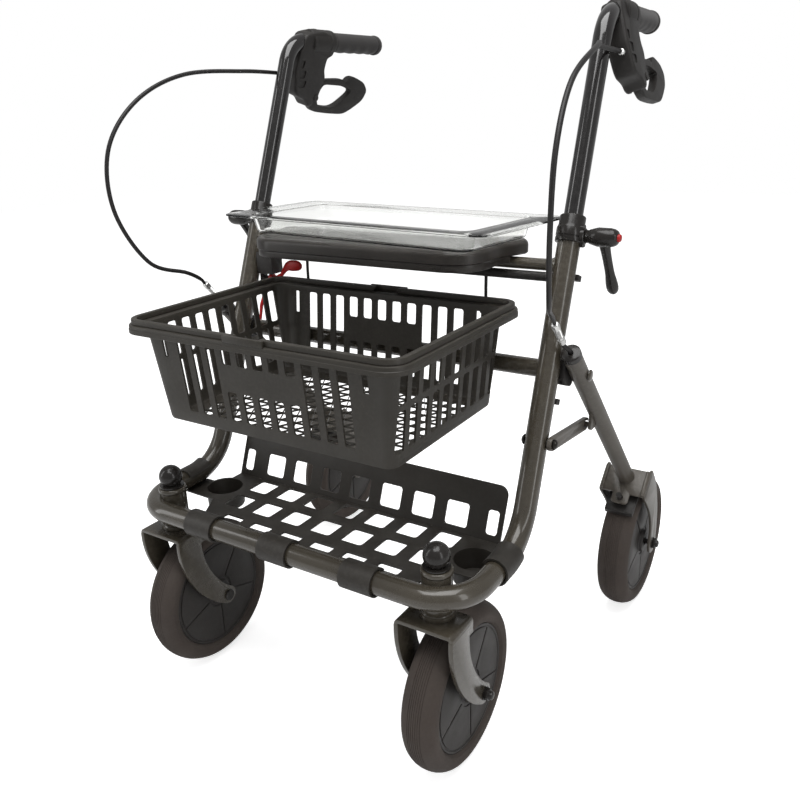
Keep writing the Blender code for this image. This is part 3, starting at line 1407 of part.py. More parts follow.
def build_basket_handle():
    """The right-hand carry loop, folded down on the rim."""
    inset = 0.0043 + HANDLE_BAND / 2
    run_x = RIM_HALF_WIDTH - inset
    front, rear = RIM_FRONT_Y + inset, RIM_REAR_Y - inset
    height = HANDLE_AXIS_Z
    eye = HANDLE_BAND_HEIGHT / 2 - 0.0002
    start = HANDLE_AXIS_X + 0.0010
    corners = [
        (start, front, height), (run_x, front, height), (run_x, rear, height),
        (start, rear, height),
    ]
    path = rounded_path(corners, [0.019, 0.019], 4)
    a, b = HANDLE_BAND / 2, HANDLE_BAND_HEIGHT / 2
    section = [(-a, -b), (a, -b), (a, b - 0.0012), (a - 0.0012, b), (-a + 0.0012, b), (-a, b - 0.0012)]
    band = sweep(path, section)
    parts, holes = [], []
    for y in (front, rear):
        hinge = Vector((HANDLE_AXIS_X, y, height))
        reach = Vector((0.0, a + GAP, 0.0))
        through = Vector((0.0, 0.01, 0.0))
        parts.append(rod(hinge - reach, hinge + reach, eye, 10))
        holes.append(rod(hinge - through, hinge + through, 0.0016 + RUN_GAP, 8))
    return cut(union(band, *parts), *holes)


# Shelf net


def clip_section(start, stop):
    inner = TUBE_RADIUS + 4 * GAP
    return arc((0, 0), inner + CLIP_WALL, start, stop, 6) + arc((0, 0), inner, stop, start, 6)


def build_shelf_net():
    """A moulded sheet with holes, a rear wall, two cane cups and clips round the frame."""
    flat = Matrix.Identity(4)
    front = BAR_FRONT_Y
    side = BAR_HALF_WIDTH
    edge = NET_FRONT_Y
    floor_end = UPRIGHT_FOOT_Y + NET_WALL_FOOT
    right = [
        (0.021, front), (0.021, edge), (0.097, edge), (0.097, front), (0.139, front),
        (0.139, edge),
    ]
    right += [
        (0.150, edge), (0.160, -0.245), (0.185, -0.200), (side - 0.001, -0.199),
        (side - 0.001, -0.157),
    ]
    right += [(0.214, -0.157), (NET_HALF_WIDTH, -0.140), (NET_HALF_WIDTH, floor_end)]
    outline = right + [(-x, y) for x, y in reversed(right)]
    sheet = prism(outline, NET_SHEET, flat, NET_Z)
    wall_plane = axes_matrix((0.0, floor_end, NET_Z - NET_SHEET / 2), (1, 0, 0), SLIDE)
    rise = (NET_WALL_TOP - NET_Z + NET_SHEET / 2) / SLIDE.z
    corner = 0.010
    wall = [(NET_HALF_WIDTH, 0.0), (NET_HALF_WIDTH, rise - corner), (NET_HALF_WIDTH - corner, rise)]
    wall += [(-x, y) for x, y in reversed(wall)]
    rear = prism(wall, NET_SHEET, wall_plane, NET_SHEET / 2)
    holes = []
    half = NET_HOLE / 2
    for k in range(-3, 4):
        x = k * NET_PITCH
        for middle in (-0.140, -0.188):
            holes.append(box((x - half, middle - 0.016, 0.22), (x + half, middle + 0.016, 0.25)))
    for x, width in ((0.02425, 0.031), (0.07275, 0.031), (0.121, 0.031)):
        for way in (1, -1):
            holes.append(box((way * x - width / 2, -0.236, 0.22), (way * x + width / 2, -0.222, 0.25)))
    wall_holes = []
    low = (NET_HOLE_FOOT - NET_Z) / SLIDE.z
    high = (NET_HOLE_TOP - NET_Z) / SLIDE.z
    for k in range(-4, 5):
        width = half if abs(k) < 4 else 0.0075
        x = k * NET_PITCH
        opening = [(x - width, low), (x + width, low), (x + width, high), (x - width, high)]
        wall_holes.append(prism(opening, 0.03, wall_plane))
    net = union(cut(sheet, several(holes)), cut(rear, several(wall_holes)))
    parts, wells = [], []
    for way in (1, -1):
        place = Matrix.Translation((way * CUP_X, CUP_Y, 0.0))
        radius, top, foot = CUP_RADIUS, NET_Z + NET_SHEET / 2, NET_Z - CUP_DEPTH
        outer = [
            (radius - 0.003, foot), (radius - 0.001, foot + 0.002),
            (radius - 0.0005, top - NET_SHEET),
        ]
        outer += [(radius + 0.002, top - NET_SHEET + 0.001), (radius + 0.002, top)]
        inner = [(radius - 0.003 - CUP_WALL, foot + 0.0025), (radius - CUP_WALL, top + 0.01)]
        parts.append(revolve(outer, 18, place))
        wells.append(revolve(inner, 18, place))
        wells.append(prism(rounded_rectangle(0.010, 0.007, 0.003, 2), 0.02, place, foot))
        path = [Vector((way * point.x, point.y, point.z)) for point in side_run(CLIP_REAR_Y)]
        section = clip_section(-95, 150) if way > 0 else [(-a, b) for a, b in clip_section(-95, 150)]
        parts.append(sweep(path, section))
    for x in (-0.118, 0.0, 0.118):
        section = [(-a, b) for a, b in clip_section(-95, 150)]
        place = side_view(x) @ Matrix.Translation((BAR_FRONT_Y, BAR_HEIGHT, 0.0))
        parts.append(prism(section, 0.042, place))
    return cut(union(net, *parts), *wells)


# Fold lever


def build_lock_housing():
    """A block clipped on the basket bar at the left, with the pin of the fold lever."""
    y = upright_point(BASKET_BAR_Z).y
    outer, inner = -LOCK_OUTER_X, -LOCK_INNER_X
    top = BASKET_BAR_Z + 0.0028
    block = box((outer, y - 0.012, top - 0.030), (inner, y + 0.011, top))
    ear = box(
        (outer, FOLD_LEVER_Y - 0.006, FOLD_LEVER_Z - 0.006),
        (outer + 0.004, FOLD_LEVER_Y + 0.006, top - 0.028),
    )
    start = (outer + 0.001, FOLD_LEVER_Y, FOLD_LEVER_Z)
    pin = rod(start, (FOLD_LEVER_X + 0.0045, FOLD_LEVER_Y, FOLD_LEVER_Z), 0.0022, 10)
    saddle = rod(
        (outer - 0.01, y, BASKET_BAR_Z), (inner + 0.01, y, BASKET_BAR_Z),
        BASKET_BAR_RADIUS + GAP, 16,
    )
    return cut(union(block, ear, pin), saddle)


def build_fold_lever():
    """A pad and its arm, which turns on the housing's pin."""
    points = [
        (-0.1545, -0.012, 0.5275), (-0.1570, -0.012, 0.5275), (-0.1630, -0.012, 0.5275),
        (-0.1720, -0.012, 0.5270),
    ]
    points += [(-0.1800, -0.012, 0.5250), (-0.1860, -0.013, 0.5190), (-0.1900, -0.015, 0.5130)]
    points += [(-0.1950, FOLD_LEVER_Y, 0.5100), (FOLD_LEVER_X, FOLD_LEVER_Y, FOLD_LEVER_Z)]
    points += [(-0.2080, -0.0290, 0.4940), (-0.2110, -0.0400, 0.4720), (-0.2110, -0.0450, 0.4520)]
    sizes = ((0.8, 1.5), (2.4, 5.4), (3.6, 7.6), (3.8, 8.0), (3.4, 6.4), (2.8, 3.6), (2.6, 2.8))
    sizes += ((2.6, 2.6), (2.6, 2.6), (2.6, 2.6), (2.6, 2.6), (1.8, 1.8))
    sections = [[(a * deep / 1000, b * tall / 1000) for a, b in circle(1.0, 8)] for deep, tall in sizes]
    arm = sweep(points, sections)
    low, high = FOLD_LEVER_X - 0.0030, FOLD_LEVER_X + 0.0030
    eye = rod((low, FOLD_LEVER_Y, FOLD_LEVER_Z), (high, FOLD_LEVER_Y, FOLD_LEVER_Z), 0.0054, 14)
    hole = rod(
        (low - 0.02, FOLD_LEVER_Y, FOLD_LEVER_Z), (high + 0.02, FOLD_LEVER_Y, FOLD_LEVER_Z),
        0.0022 + RUN_GAP, 12,
    )
    return cut(union(arm, eye), hole)


def main():
    remove_everything()
    paint = make_material("frame_paint", (0.055, 0.060, 0.055), 0.28, 0.70)
    leg_paint = make_material("leg_paint", (0.110, 0.115, 0.110), 0.32, 0.70)
    gloss_black = make_material("handle_paint", (0.018, 0.018, 0.020), 0.18, 0.30)
    black = make_material("black_plastic", (0.022, 0.022, 0.024), 0.55, 0.0)
    anthracite = make_material("basket_plastic", (0.045, 0.046, 0.046), 0.45, 0.0)
    seat_plastic = make_material("seat_plastic", (0.036, 0.037, 0.037), 0.42, 0.0)
    rubber = make_material("grip_rubber", (0.050, 0.050, 0.052), 0.75, 0.0)
    tyre = make_material("tyre_rubber", (0.165, 0.135, 0.115), 0.80, 0.0)
    hub_grey = make_material("hub_plastic", (0.075, 0.075, 0.078), 0.50, 0.0)
    silver = make_material("bright_metal", (0.72, 0.72, 0.73), 0.28, 1.0)
    red = make_material("red_plastic", (0.50, 0.020, 0.020), 0.40, 0.0)
    clear = make_material("clear_acrylic", (0.80, 0.84, 0.86), 0.06, 0.0, 0.35)

    caster = (FRONT_X, SWIVEL_Y, SOCKET_TOP)
    front_wheel = (FRONT_X, FRONT_Y, WHEEL_RADIUS)
    rear_wheel = (REAR_X, REAR_Y, WHEEL_RADIUS)
    clamp = (CLAMP_FACE_X, CLAMP.y, CLAMP.z)
    seat_axis = (0.0, upright_point(SEAT_BAR_Z).y, SEAT_BAR_Z)
    loop_axis = (HANDLE_AXIS_X, (RIM_FRONT_Y + RIM_REAR_Y) / 2, HANDLE_AXIS_Z)

    add_piece("main_frame", build_main_frame(), paint)
    add_piece("basket_bar", build_basket_bar(), black, (0.0, 0.0, BASKET_BAR_Z))
    add_pair("collar", build_collar, black, upright_point(COLLAR_FOOT))
    add_pair("guide_rail", build_guide_rail, black, upright_point(RAIL_FOOT))
    add_pair("caster_cap", build_caster_cap, black, caster)
    add_pair("link_bolt", build_link_bolt, silver, (LINK_X, BOLT.y, BOLT.z))
    add_piece("shelf_net", build_shelf_net(), black, (0.0, CUP_Y, NET_Z))
    add_piece("lock_housing", build_lock_housing(), black, (-LOCK_OUTER_X, FOLD_LEVER_Y, FOLD_LEVER_Z))
    add_piece("fold_lever", build_fold_lever(), red, (FOLD_LEVER_X, FOLD_LEVER_Y, FOLD_LEVER_Z))
    add_pair("handle_tube", build_handle_tube, gloss_black, upright_point(COLLAR_FOOT))
    add_pair("grip", build_grip, rubber, brake_point(GRIP_START, 0.0))
    add_pair("brake_housing", build_brake_housing, black, brake_point(LEVER_PIVOT_S, LEVER_PIVOT_H))
    add_pair("brake_lever", build_brake_lever, black, brake_point(LEVER_PIVOT_S, LEVER_PIVOT_H))
    add_pair("cable_fitting", build_fitting, silver, fitting_point(0.0))
    add_pair("clamp_lever", build_clamp_lever, black, clamp)
    add_pair("clamp_button", build_clamp_button, red, clamp)
    add_piece("cross_tube", build_cross_tube(), paint, CROSS_CENTRE)
    add_pair("slider_block", build_slider_block, black, LEG_PIVOT)
    add_pair("rear_leg", build_rear_leg, leg_paint, LEG_PIVOT)
    add_pair("brake_adjuster", build_adjuster, silver, adjuster_point(0.0))
    add_pair("fold_link", build_link, leg_paint, (LINK_X, BOLT.y, BOLT.z))
    add_pair("brake_shoe", build_brake_shoe, black, shoe_stem(0.0))
    add_pair("rear_tyre", lambda: build_tyre(REAR_X, REAR_Y), tyre, rear_wheel)
    add_pair("rear_hub", lambda: build_hub(REAR_X, REAR_Y), hub_grey, rear_wheel)
    add_pair(
        "rear_axle", lambda: build_axle(REAR_X, REAR_Y, REAR_FORK_WIDTH / 2, 0.0085, 0.0090),
        black, rear_wheel,
    )
    add_pair("front_fork", build_front_fork, paint, caster)
    add_pair("front_tyre", lambda: build_tyre(FRONT_X, FRONT_Y), tyre, front_wheel)
    add_pair("front_hub", lambda: build_hub(FRONT_X, FRONT_Y), hub_grey, front_wheel)
    add_pair(
        "front_axle", lambda: build_axle(FRONT_X, FRONT_Y, FORK_WIDTH / 2, 0.0080, 0.0060),
        black, front_wheel,
    )
    add_piece("seat", build_seat(), seat_plastic, seat_axis)
    add_piece("tray", build_tray(), clear, (0.0, TRAY_CENTRE_Y, SEAT_TOP))
    add_piece("basket", build_basket(), anthracite, (0.0, loop_axis[1], RIM_TOP))
    add_pair("basket_handle", build_basket_handle, anthracite, loop_axis)
    for word, side in SIDES:
        add_cable(f"brake_cable_{word}", side, black)


main()
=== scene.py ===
"""Looks of the rollator with its tray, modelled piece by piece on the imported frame.

Metres, +Z up. The ground is z = 0, x = 0 is the symmetry plane and the front is -Y.
"""

import math

import bmesh
import bpy
from mathutils import Matrix, Vector


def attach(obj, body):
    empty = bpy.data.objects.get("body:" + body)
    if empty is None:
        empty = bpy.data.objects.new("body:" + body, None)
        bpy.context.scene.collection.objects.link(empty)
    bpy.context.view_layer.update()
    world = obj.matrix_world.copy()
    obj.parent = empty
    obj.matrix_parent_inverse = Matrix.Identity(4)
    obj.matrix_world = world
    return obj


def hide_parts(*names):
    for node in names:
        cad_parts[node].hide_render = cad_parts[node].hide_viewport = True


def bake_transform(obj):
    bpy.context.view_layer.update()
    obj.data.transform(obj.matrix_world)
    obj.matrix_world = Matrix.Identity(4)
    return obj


bl_info = {
    "name": "Rollator with tray",
    "version": (1, 0, 0),
    "blender": (4, 5, 0),
    "location": "View3D > Sidebar > Rollator",
    "description": "Models a folding rollator with its tray, basket and shelf net",
    "category": "Add Mesh",
}

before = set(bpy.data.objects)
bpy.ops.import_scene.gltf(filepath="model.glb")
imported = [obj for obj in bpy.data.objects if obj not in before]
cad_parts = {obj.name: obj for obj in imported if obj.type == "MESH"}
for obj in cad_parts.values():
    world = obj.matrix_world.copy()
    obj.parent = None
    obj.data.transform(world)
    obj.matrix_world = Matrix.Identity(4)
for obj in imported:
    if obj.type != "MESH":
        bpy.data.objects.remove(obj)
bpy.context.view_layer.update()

# Sizes, in metres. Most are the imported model's own

# Points of a mesh that are nearer than this where its ends meet are made one
SEAM = 0.0000015
TYRE_SEAM = 0.000002
NEAR = 0.0002

# Clearances
GAP = 0.0003
RUN_GAP = 0.0004
JOINT_GAP = 0.0006

# Wheels
WHEEL_RADIUS = 0.100
TYRE_WIDTH = 0.0445
TYRE_SEAT_RADIUS = 0.076
HUB_WIDTH = 0.037
HUB_BOSS_WIDTH = 0.044
HUB_BOSS_RADIUS = 0.017
HUB_LINE = 0.0022
AXLE_RADIUS = 0.004
PLAIN_HEAD = 0.004
REAR_AXLE_CAP = 0.0085
REAR_AXLE_ENDS = (0.0090, 0.0090)
FRONT_AXLE_CAP = 0.0080
FRONT_AXLE_ENDS = (0.0105, 0.0022)
WHEELBASE = 0.4236
FRONT_TRACK = 0.3982
REAR_TRACK = 0.5440
FRONT_Y = -WHEELBASE / 2
REAR_Y = WHEELBASE / 2
FRONT_X = FRONT_TRACK / 2
REAR_X = REAR_TRACK / 2

# Frame tube: a U lying flat, whose ends bend up into the two uprights
TUBE_RADIUS = 0.01325
BAR_HALF_WIDTH = 0.2390
BAR_HEIGHT = 0.2535
BAR_FRONT_Y = -0.2782
BAR_CORNER_RADIUS = 0.054
UPRIGHT_FOOT_Y = -0.1333
UPRIGHT_BEND_RADIUS = 0.070
UPRIGHT_LEAN_BACK = 0.3958
UPRIGHT_LEAN_IN = -0.0108
UPRIGHT_TOP = 0.600

# Caster sockets and forks
SWIVEL_Y = -0.2540
SOCKET_RADIUS = 0.0170
SOCKET_TOP = 0.2785
SOCKET_RING_HEIGHT = 0.006
STEM_RADIUS = 0.0065
STEM_TOP = 0.2680
DOME_RADIUS = 0.0150
DOME_CENTRE = 0.2926
FORK_WIDTH = 0.072
FORK_PLATE = 0.005
CROWN_TOP = 0.2215
CROWN_FRONT_Y = -0.2860
CROWN_REAR_Y = -0.2400
FORK_BLADE_TOP_Y = -0.2665
FORK_BLADE_TOP_WIDTH = 0.039
FORK_BLADE_END_WIDTH = 0.025

# Handles
HANDLE_RADIUS = 0.0110
HANDLE_BEND_RADIUS = 0.047
HANDLE_INSERT = 0.150
GRIP_AXIS_HEIGHT = 0.8295
GRIP_TOE_IN = 0.0483
GRIP_START = 0.0885
GRIP_END = 0.2085
GRIP_RADIUS = 0.0143
COLLAR_FOOT = 0.581
COLLAR_LENGTH = 0.0312
COLLAR_STEP = 0.0170
COLLAR_RADIUS = 0.0165
COLLAR_NECK_RADIUS = 0.0150
CLAMP_HEIGHT = 0.589
CLAMP_HUB_LENGTH = 0.0370
CLAMP_HUB_RADIUS = 0.0108
CLAMP_ARM_REACH = 0.0888
CLAMP_ARM_SLOPE = math.radians(56.5)
CLAMP_STUD_RADIUS = 0.003
CLAMP_STUD_LENGTH = 0.027
CLAMP_BOSS_RADIUS = 0.0092
BUTTON_RADIUS = 0.0043
BUTTON_TRAVEL = 0.003
BUTTON_WELL = 0.0083

# Brake unit, in the plane through the grip axis that leans outwards
BRAKE_ROLL = math.radians(17.0)
HOUSING_THICKNESS = 0.026
HOUSING_SLEEVE_RADIUS = 0.0170
HOUSING_SLEEVE_START = 0.038
HOUSING_SLEEVE_END = 0.0880
LEVER_THICKNESS = 0.011
LEVER_PIVOT_S = 0.0600
LEVER_PIVOT_H = 0.0780
LEVER_PIN_RADIUS = 0.0030
FITTING_RADIUS = 0.0038
FITTING_LENGTH = 0.009
FITTING_SEAT = 0.005
CABLE_RADIUS = 0.0027
CABLE_NECK_RADIUS = CABLE_RADIUS * 0.82
CABLE_NECK_LENGTH = 0.008

# Fold: rear legs hinged on a cross tube that slides up along rails beside the uprights
CROSS_HEIGHT = 0.4347
CROSS_OFFSET = 0.0309
CROSS_RADIUS = 0.0110
RAIL_FOOT = 0.408
RAIL_TOP = 0.551
RAIL_WIDTH = 0.011
RAIL_THICKNESS = 0.004
RAIL_OFFSET = 0.0136
RAIL_X = 0.2460
RAIL_FOOT_LENGTH = 0.009
RAIL_SLOT_START = 0.022
RAIL_SLOT_RADIUS = 0.0022
SLIDER_LENGTH = 0.032
SLIDER_X = 0.2432
SLIDER_THICKNESS = 0.0097
SLIDER_RING_RADIUS = 0.0135
SLIDER_RING_LENGTH = 0.010
PIVOT_PIN_RADIUS = 0.0045
LEG_RADIUS = 0.0110
LEG_PIVOT_X = 0.2648
LEG_FOOT_X = REAR_X
CROWN_FORWARD = 0.0460
CROWN_RISE = 0.1221
LEG_HEAD = 0.045
LEG_BORE_RADIUS = 0.0080
TAB_X = 0.2640
TAB_THICKNESS = 0.004
BOLT_RADIUS = 0.0030
LINK_PIN_Y = 0.0220
LINK_PIN_Z = 0.3533
LINK_BOLT_Z = 0.3665
LINK_WIDTH = 0.016
LINK_THICKNESS = 0.005
LINK_X = 0.2530
LINK_PIN_RADIUS = 0.0030
LINK_PLAY = 0.0034
LINK_SLOT_WIDTH = 0.0096
REAR_FORK_WIDTH = 0.066
REAR_FORK_PLATE = 0.004
REAR_CROWN_LOW = 0.026
REAR_CROWN_HIGH = 0.014
SHOE_GAP = 0.0025
SHOE_THICKNESS = 0.009
SHOE_WIDTH = 0.040
SHOE_STEM_RADIUS = 0.004
SHOE_STEM_FRONT = 0.0336
ADJUSTER_RADIUS = 0.0045
ADJUSTER_LENGTH = 0.037
ADJUSTER_LOW = -0.022
ADJUSTER_X = 0.2592
ADJUSTER_BACK = -0.0006

# Bars between the uprights, and the basket
SEAT_BAR_RADIUS = 0.0070
SEAT_BAR_Z = 0.5562
BASKET_BAR_RADIUS = 0.0055
BASKET_BAR_Z = 0.5432
HANGER_RADIUS = 0.0020
HANGER_X = 0.138
RIM_HALF_WIDTH = 0.1924
RIM_FRONT_Y = -0.3041
RIM_REAR_Y = -0.0220
RIM_TOP = 0.5085
RIM_LIP = 0.0100
RIM_OVERHANG = 0.0176
BASKET_FLOOR = 0.3880
BASKET_TAPER = 0.0110
BASKET_WALL = 0.0024
RIM_CORNER_RADIUS = 0.028
SLOT_PITCH = 0.0225
END_SLOT_X = 0.140
END_SLOT_HALF_WIDTH = 0.0033
SLOT_TOP = 0.5000
SLOT_UPPER_END = 0.4735
SLOT_LOWER_START = 0.4415
SLOT_FOOT = 0.4050
HANDLE_BAND = 0.0070
HANDLE_BAND_HEIGHT = 0.0062
HANDLE_AXIS_X = 0.020
HANDLE_PIN_RADIUS = 0.0016
HANDLE_AXIS_Z = RIM_TOP + GAP + HANDLE_BAND_HEIGHT / 2
SIDE_SLOTS = 10
SIDE_RIB = 0.455
LOCK_OUTER_X = 0.2215
LOCK_INNER_X = 0.1935
FOLD_LEVER_X = -0.2040
FOLD_LEVER_Y = -0.0200
FOLD_LEVER_Z = 0.5090
FOLD_PIN_RADIUS = 0.0022
FOLD_EYE_RADIUS = 0.0054

# Seat and tray
SEAT_TOP = 0.5820
SEAT_THICKNESS = 0.0170
SEAT_SKIRT = 0.0075
SEAT_HALF_WIDTH = 0.168
SEAT_LOBE_HALF_WIDTH = 0.184
SEAT_FRONT_Y = -0.1120
SEAT_REAR_Y = 0.0200
SEAT_CORNER_RADIUS = 0.045
SEAT_LOBE_RADIUS = 0.025
SEAT_HOOK_WALL = 0.005
SEAT_HOOK_WIDTH = 0.024
SEAT_HOOKS = (-0.085, 0.085)
TRAY_HALF_WIDTH = 0.213
TRAY_HALF_DEPTH = 0.089
TRAY_CENTRE_Y = -0.031
TRAY_YAW = math.radians(-7.0)
TRAY_SHEET = 0.0025
TRAY_RIM_TOP = 0.6070
TRAY_CORNER_RADIUS = 0.020
DISH_HALF_WIDTH = 0.176
DISH_HALF_DEPTH = 0.069

# Shelf net
NET_Z = 0.2380
NET_SHEET = 0.0030
NET_PITCH = 0.0485
NET_HOLE = 0.0310
NET_HALF_WIDTH = 0.208
NET_FRONT_Y = -0.2600
NET_WALL_FOOT = 0.0150
NET_WALL_TOP = 0.3030
NET_HOLE_FOOT = 0.2470
NET_HOLE_TOP = 0.2750
CLIP_FRONT_Y = -0.199
CLIP_REAR_Y = -0.1535
CUP_X = 0.1970
CUP_Y = -0.1640
CUP_RADIUS = 0.0265
CUP_DEPTH = 0.0260
CUP_WALL = 0.0022
CLIP_WALL = 0.0024

# Stage
FLOOR_LIFT = 0.70
DUST_COLOUR = (0.085, 0.080, 0.072, 1.0)
LAMP_TARGET = (0.0, 0.0, 0.45)
CAMERA_PLACE = (0.5679, -0.8817, 0.7330)
CAMERA_AZIMUTH = math.radians(33.13)
CAMERA_ELEVATION = math.radians(19.86)
CAMERA_ROLL = math.radians(2.01)
CAMERA_SENSOR = 36.0
CAMERA_LENS = 35.93
CAMERA_SHIFT = (0.0023, -0.0046)


# Modelling by hand: primitives, extrusions, Booleans and bevels


def deselect():
    if bpy.context.mode != "OBJECT":
        bpy.ops.object.mode_set(mode="OBJECT")
    bpy.ops.object.select_all(action="DESELECT")


def choose(*pieces):
    deselect()
    for piece in pieces:
        piece.select_set(True)
    bpy.context.view_layer.objects.active = pieces[0]


def edit(piece, action="SELECT"):
    choose(piece)
    bpy.ops.object.mode_set(mode="EDIT")
    bpy.ops.mesh.select_mode(type="VERT")
    bpy.ops.mesh.select_all(action=action)


def leave():
    bpy.ops.object.mode_set(mode="OBJECT")


def ring_of(points, fill="NOTHING"):
    """A new ring of vertices at the given places. It is left in edit mode."""
    deselect()
    bpy.ops.mesh.primitive_circle_add(vertices=len(points), radius=0.01, fill_type=fill)
    piece = bpy.context.object
    bpy.ops.object.mode_set(mode="EDIT")
    mesh = bmesh.from_edit_mesh(piece.data)
    for vertex, point in zip(mesh.verts, points):
        vertex.co = point
    bmesh.update_edit_mesh(piece.data)
    return piece


def faced_outwards(piece):
    """Turn all faces outwards and leave edit mode."""
    bpy.ops.mesh.select_all(action="SELECT")
    bpy.ops.mesh.normals_make_consistent(inside=False)
    leave()
    return piece


def place_selected(piece, before, after):
    """Move the ring that was just extruded on the spot to its next place."""
    mesh = bmesh.from_edit_mesh(piece.data)
    index = {tuple(round(c, 6) for c in point): i for i, point in enumerate(before)}
    for vertex in mesh.verts:
        if vertex.select:
            vertex.co = after[index[tuple(round(c, 6) for c in vertex.co)]]
    bmesh.update_edit_mesh(piece.data)


def loft(rings, closed=False):
    """A ring of points extruded from place to place. Closed joins the last to the first."""
    rounded = [[Vector([round(c, 6) for c in point]) for point in ring] for ring in rings]
    piece = ring_of(rounded[0])
    if closed:
        rounded.append(rounded[0])
    for before, after in zip(rounded, rounded[1:]):
        bpy.ops.mesh.extrude_edges_move()
        place_selected(piece, before, after)
    if closed:
        bpy.ops.mesh.select_all(action="SELECT")
        bpy.ops.mesh.remove_doubles(threshold=SEAM)
    else:
        bpy.ops.mesh.edge_face_add()
        bpy.ops.mesh.select_all(action="DESELECT")
        mesh = bmesh.from_edit_mesh(piece.data)
        mesh.verts.ensure_lookup_table()
        for vertex in mesh.verts[:len(rings[0])]:
            vertex.select = True
        mesh.select_flush(True)
        bmesh.update_edit_mesh(piece.data)
        bpy.ops.mesh.edge_face_add()
    return faced_outwards(piece)


def apply_modifier(piece, kind, **settings):
    choose(piece)
    made = piece.modifiers.new(kind.title(), kind)
    for name, value in settings.items():
        setattr(made, name, value)
    bpy.ops.object.modifier_apply(modifier=made.name)
    return piece


def combine(base, others, operation):
    """A Boolean with each of the others, which are used up."""
    for other in others:
        apply_modifier(base, "BOOLEAN", operation=operation, solver="EXACT", object=other)
        bpy.data.objects.remove(other, do_unlink=True)
    return base


def union(base, *others):
    return combine(base, others, "UNION")


def cut(base, *others):
    return combine(base, others, "DIFFERENCE")


def gathered(pieces):
    """Bodies that don't need a Boolean between them, joined into one piece."""
    choose(*pieces)
    if len(pieces) > 1:
        bpy.ops.object.join()
    return pieces[0]


def eased(piece, width, segments=2, angle=32.0):
    """Round the sharp edges off."""
    return apply_modifier(
        piece, "BEVEL", width=width, segments=segments, limit_method="ANGLE",
        angle_limit=math.radians(angle), harden_normals=False, miter_outer="MITER_ARC",
    )


def smoothed(piece, angle=38.0):
    choose(piece)
    bpy.ops.object.shade_smooth_by_angle(angle=math.radians(angle))
    return piece


def moved(piece, matrix):
    piece.data.transform(matrix)
    return piece


def twin(piece):
    """The same piece mirrored to the left, with its own mesh."""
    choose(piece)
    bpy.ops.object.duplicate(linked=False)
    other = bpy.context.object
    edit(other)
    bpy.ops.transform.resize(value=(-1.0, 1.0, 1.0), center_override=(0.0, 0.0, 0.0))
    bpy.ops.mesh.flip_normals()
    leave()
    return other


def turned_frames(path):
    """Side and up directions at each point of a path, carried along without twist."""
    tangents = []
    for i in range(len(path)):
        tangents.append((path[min(i + 1, len(path) - 1)] - path[max(i - 1, 0)]).normalized())
    up = Vector((0.0, 1.0, 0.0)) if abs(tangents[0].z) > 0.9 else Vector((0.0, 0.0, 1.0))
    side = tangents[0].cross(up).normalized()
    frames = []
    for tangent in tangents:
        side = (side - tangent * side.dot(tangent)).normalized()
        frames.append((side, side.cross(tangent)))
    return frames


def sweep(path, section):
    """Carry a flat section along a path. The section is a list, or a list of them."""
    path = [Vector(point) for point in path]
    sections = section if isinstance(section[0], list) else [section] * len(path)
    rings = []
    for point, (side, rise), shape in zip(path, turned_frames(path), sections):
        rings.append([point + side * a + rise * b for a, b in shape])
    return loft(rings)


def circle(radius, sides):
    step = 2.0 * math.pi / sides
    return [(radius * math.cos(i * step), radius * math.sin(i * step)) for i in range(sides)]


def tube(path, radius, sides=24):
    """A round bar along a path, with one radius or one for each point."""
    if isinstance(radius, (list, tuple)):
        return sweep(path, [circle(each, sides) for each in radius])
    return sweep(path, circle(radius, sides))


def rod(start, end, radius, sides=24):
    return tube([Vector(start), Vector(end)], radius, sides)


def revolve(profile, place, sides=40, closed=False):
    """Turn (radius, height) points about the local Z of a place. Closed makes a ring of them."""
    rings = [[place @ Vector((x, y, z)) for x, y in circle(r, sides)] for r, z in profile]
    return loft(rings, closed)


def prism(outline, thickness, place, centre=0.0):
    """A flat outline, filled and extruded along the local Z of a place."""
    low = centre - thickness / 2
    piece = ring_of([place @ Vector((a, b, low)) for a, b in outline], "NGON")
    way = place.to_3x3() @ Vector((0.0, 0.0, thickness))
    bpy.ops.mesh.extrude_region_move(TRANSFORM_OT_translate={"value": way})
    return faced_outwards(piece)


def block(low, high):
    (x0, y0, z0), (x1, y1, z1) = low, high
    return prism(
        [(x0, y0), (x1, y0), (x1, y1), (x0, y1)], z1 - z0, Matrix.Identity(4), (z0 + z1) / 2,
    )


def crowned(outline, thickness, edge, place, steps=4):
    """A prism whose rims are drawn in on a round of the given size."""
    middle = Vector((sum(a for a, _ in outline), sum(b for _, b in outline))) / len(outline)
    reach = sum((Vector(point) - middle).length for point in outline) / len(outline)
    levels = []
    for i in range(steps + 1):
        turn = math.radians(90.0 * i / steps)
        height = thickness / 2 - edge + edge * math.cos(turn)
        levels.append((height, 1.0 - edge * (1 - math.sin(turn)) / reach))
    rings = []
    for height, scale in [(-h, s) for h, s in levels] + levels[::-1]:
        ring = []
        for point in outline:
            a, b = middle + (Vector(point) - middle) * scale
            ring.append(place @ Vector((a, b, height)))
        rings.append(ring)
    return loft(rings)


def arc(centre, radius, start, stop, steps):
    """Points of an arc in the plane, in degrees, both ends included."""
    points = []
    for i in range(steps + 1):
        angle = math.radians(start + (stop - start) * i / steps)
        points.append((centre[0] + radius * math.cos(angle), centre[1] + radius * math.sin(angle)))
    return points


def rounded_rectangle(half_x, half_y, radius, steps=8, centre=(0.0, 0.0)):
    x, y = half_x - radius, half_y - radius
    points = []
    for a, b, start in ((x, y, 0), (-x, y, 90), (-x, -y, 180), (x, -y, 270)):
        points += arc((centre[0] + a, centre[1] + b), radius, start, start + 90, steps)
    return points


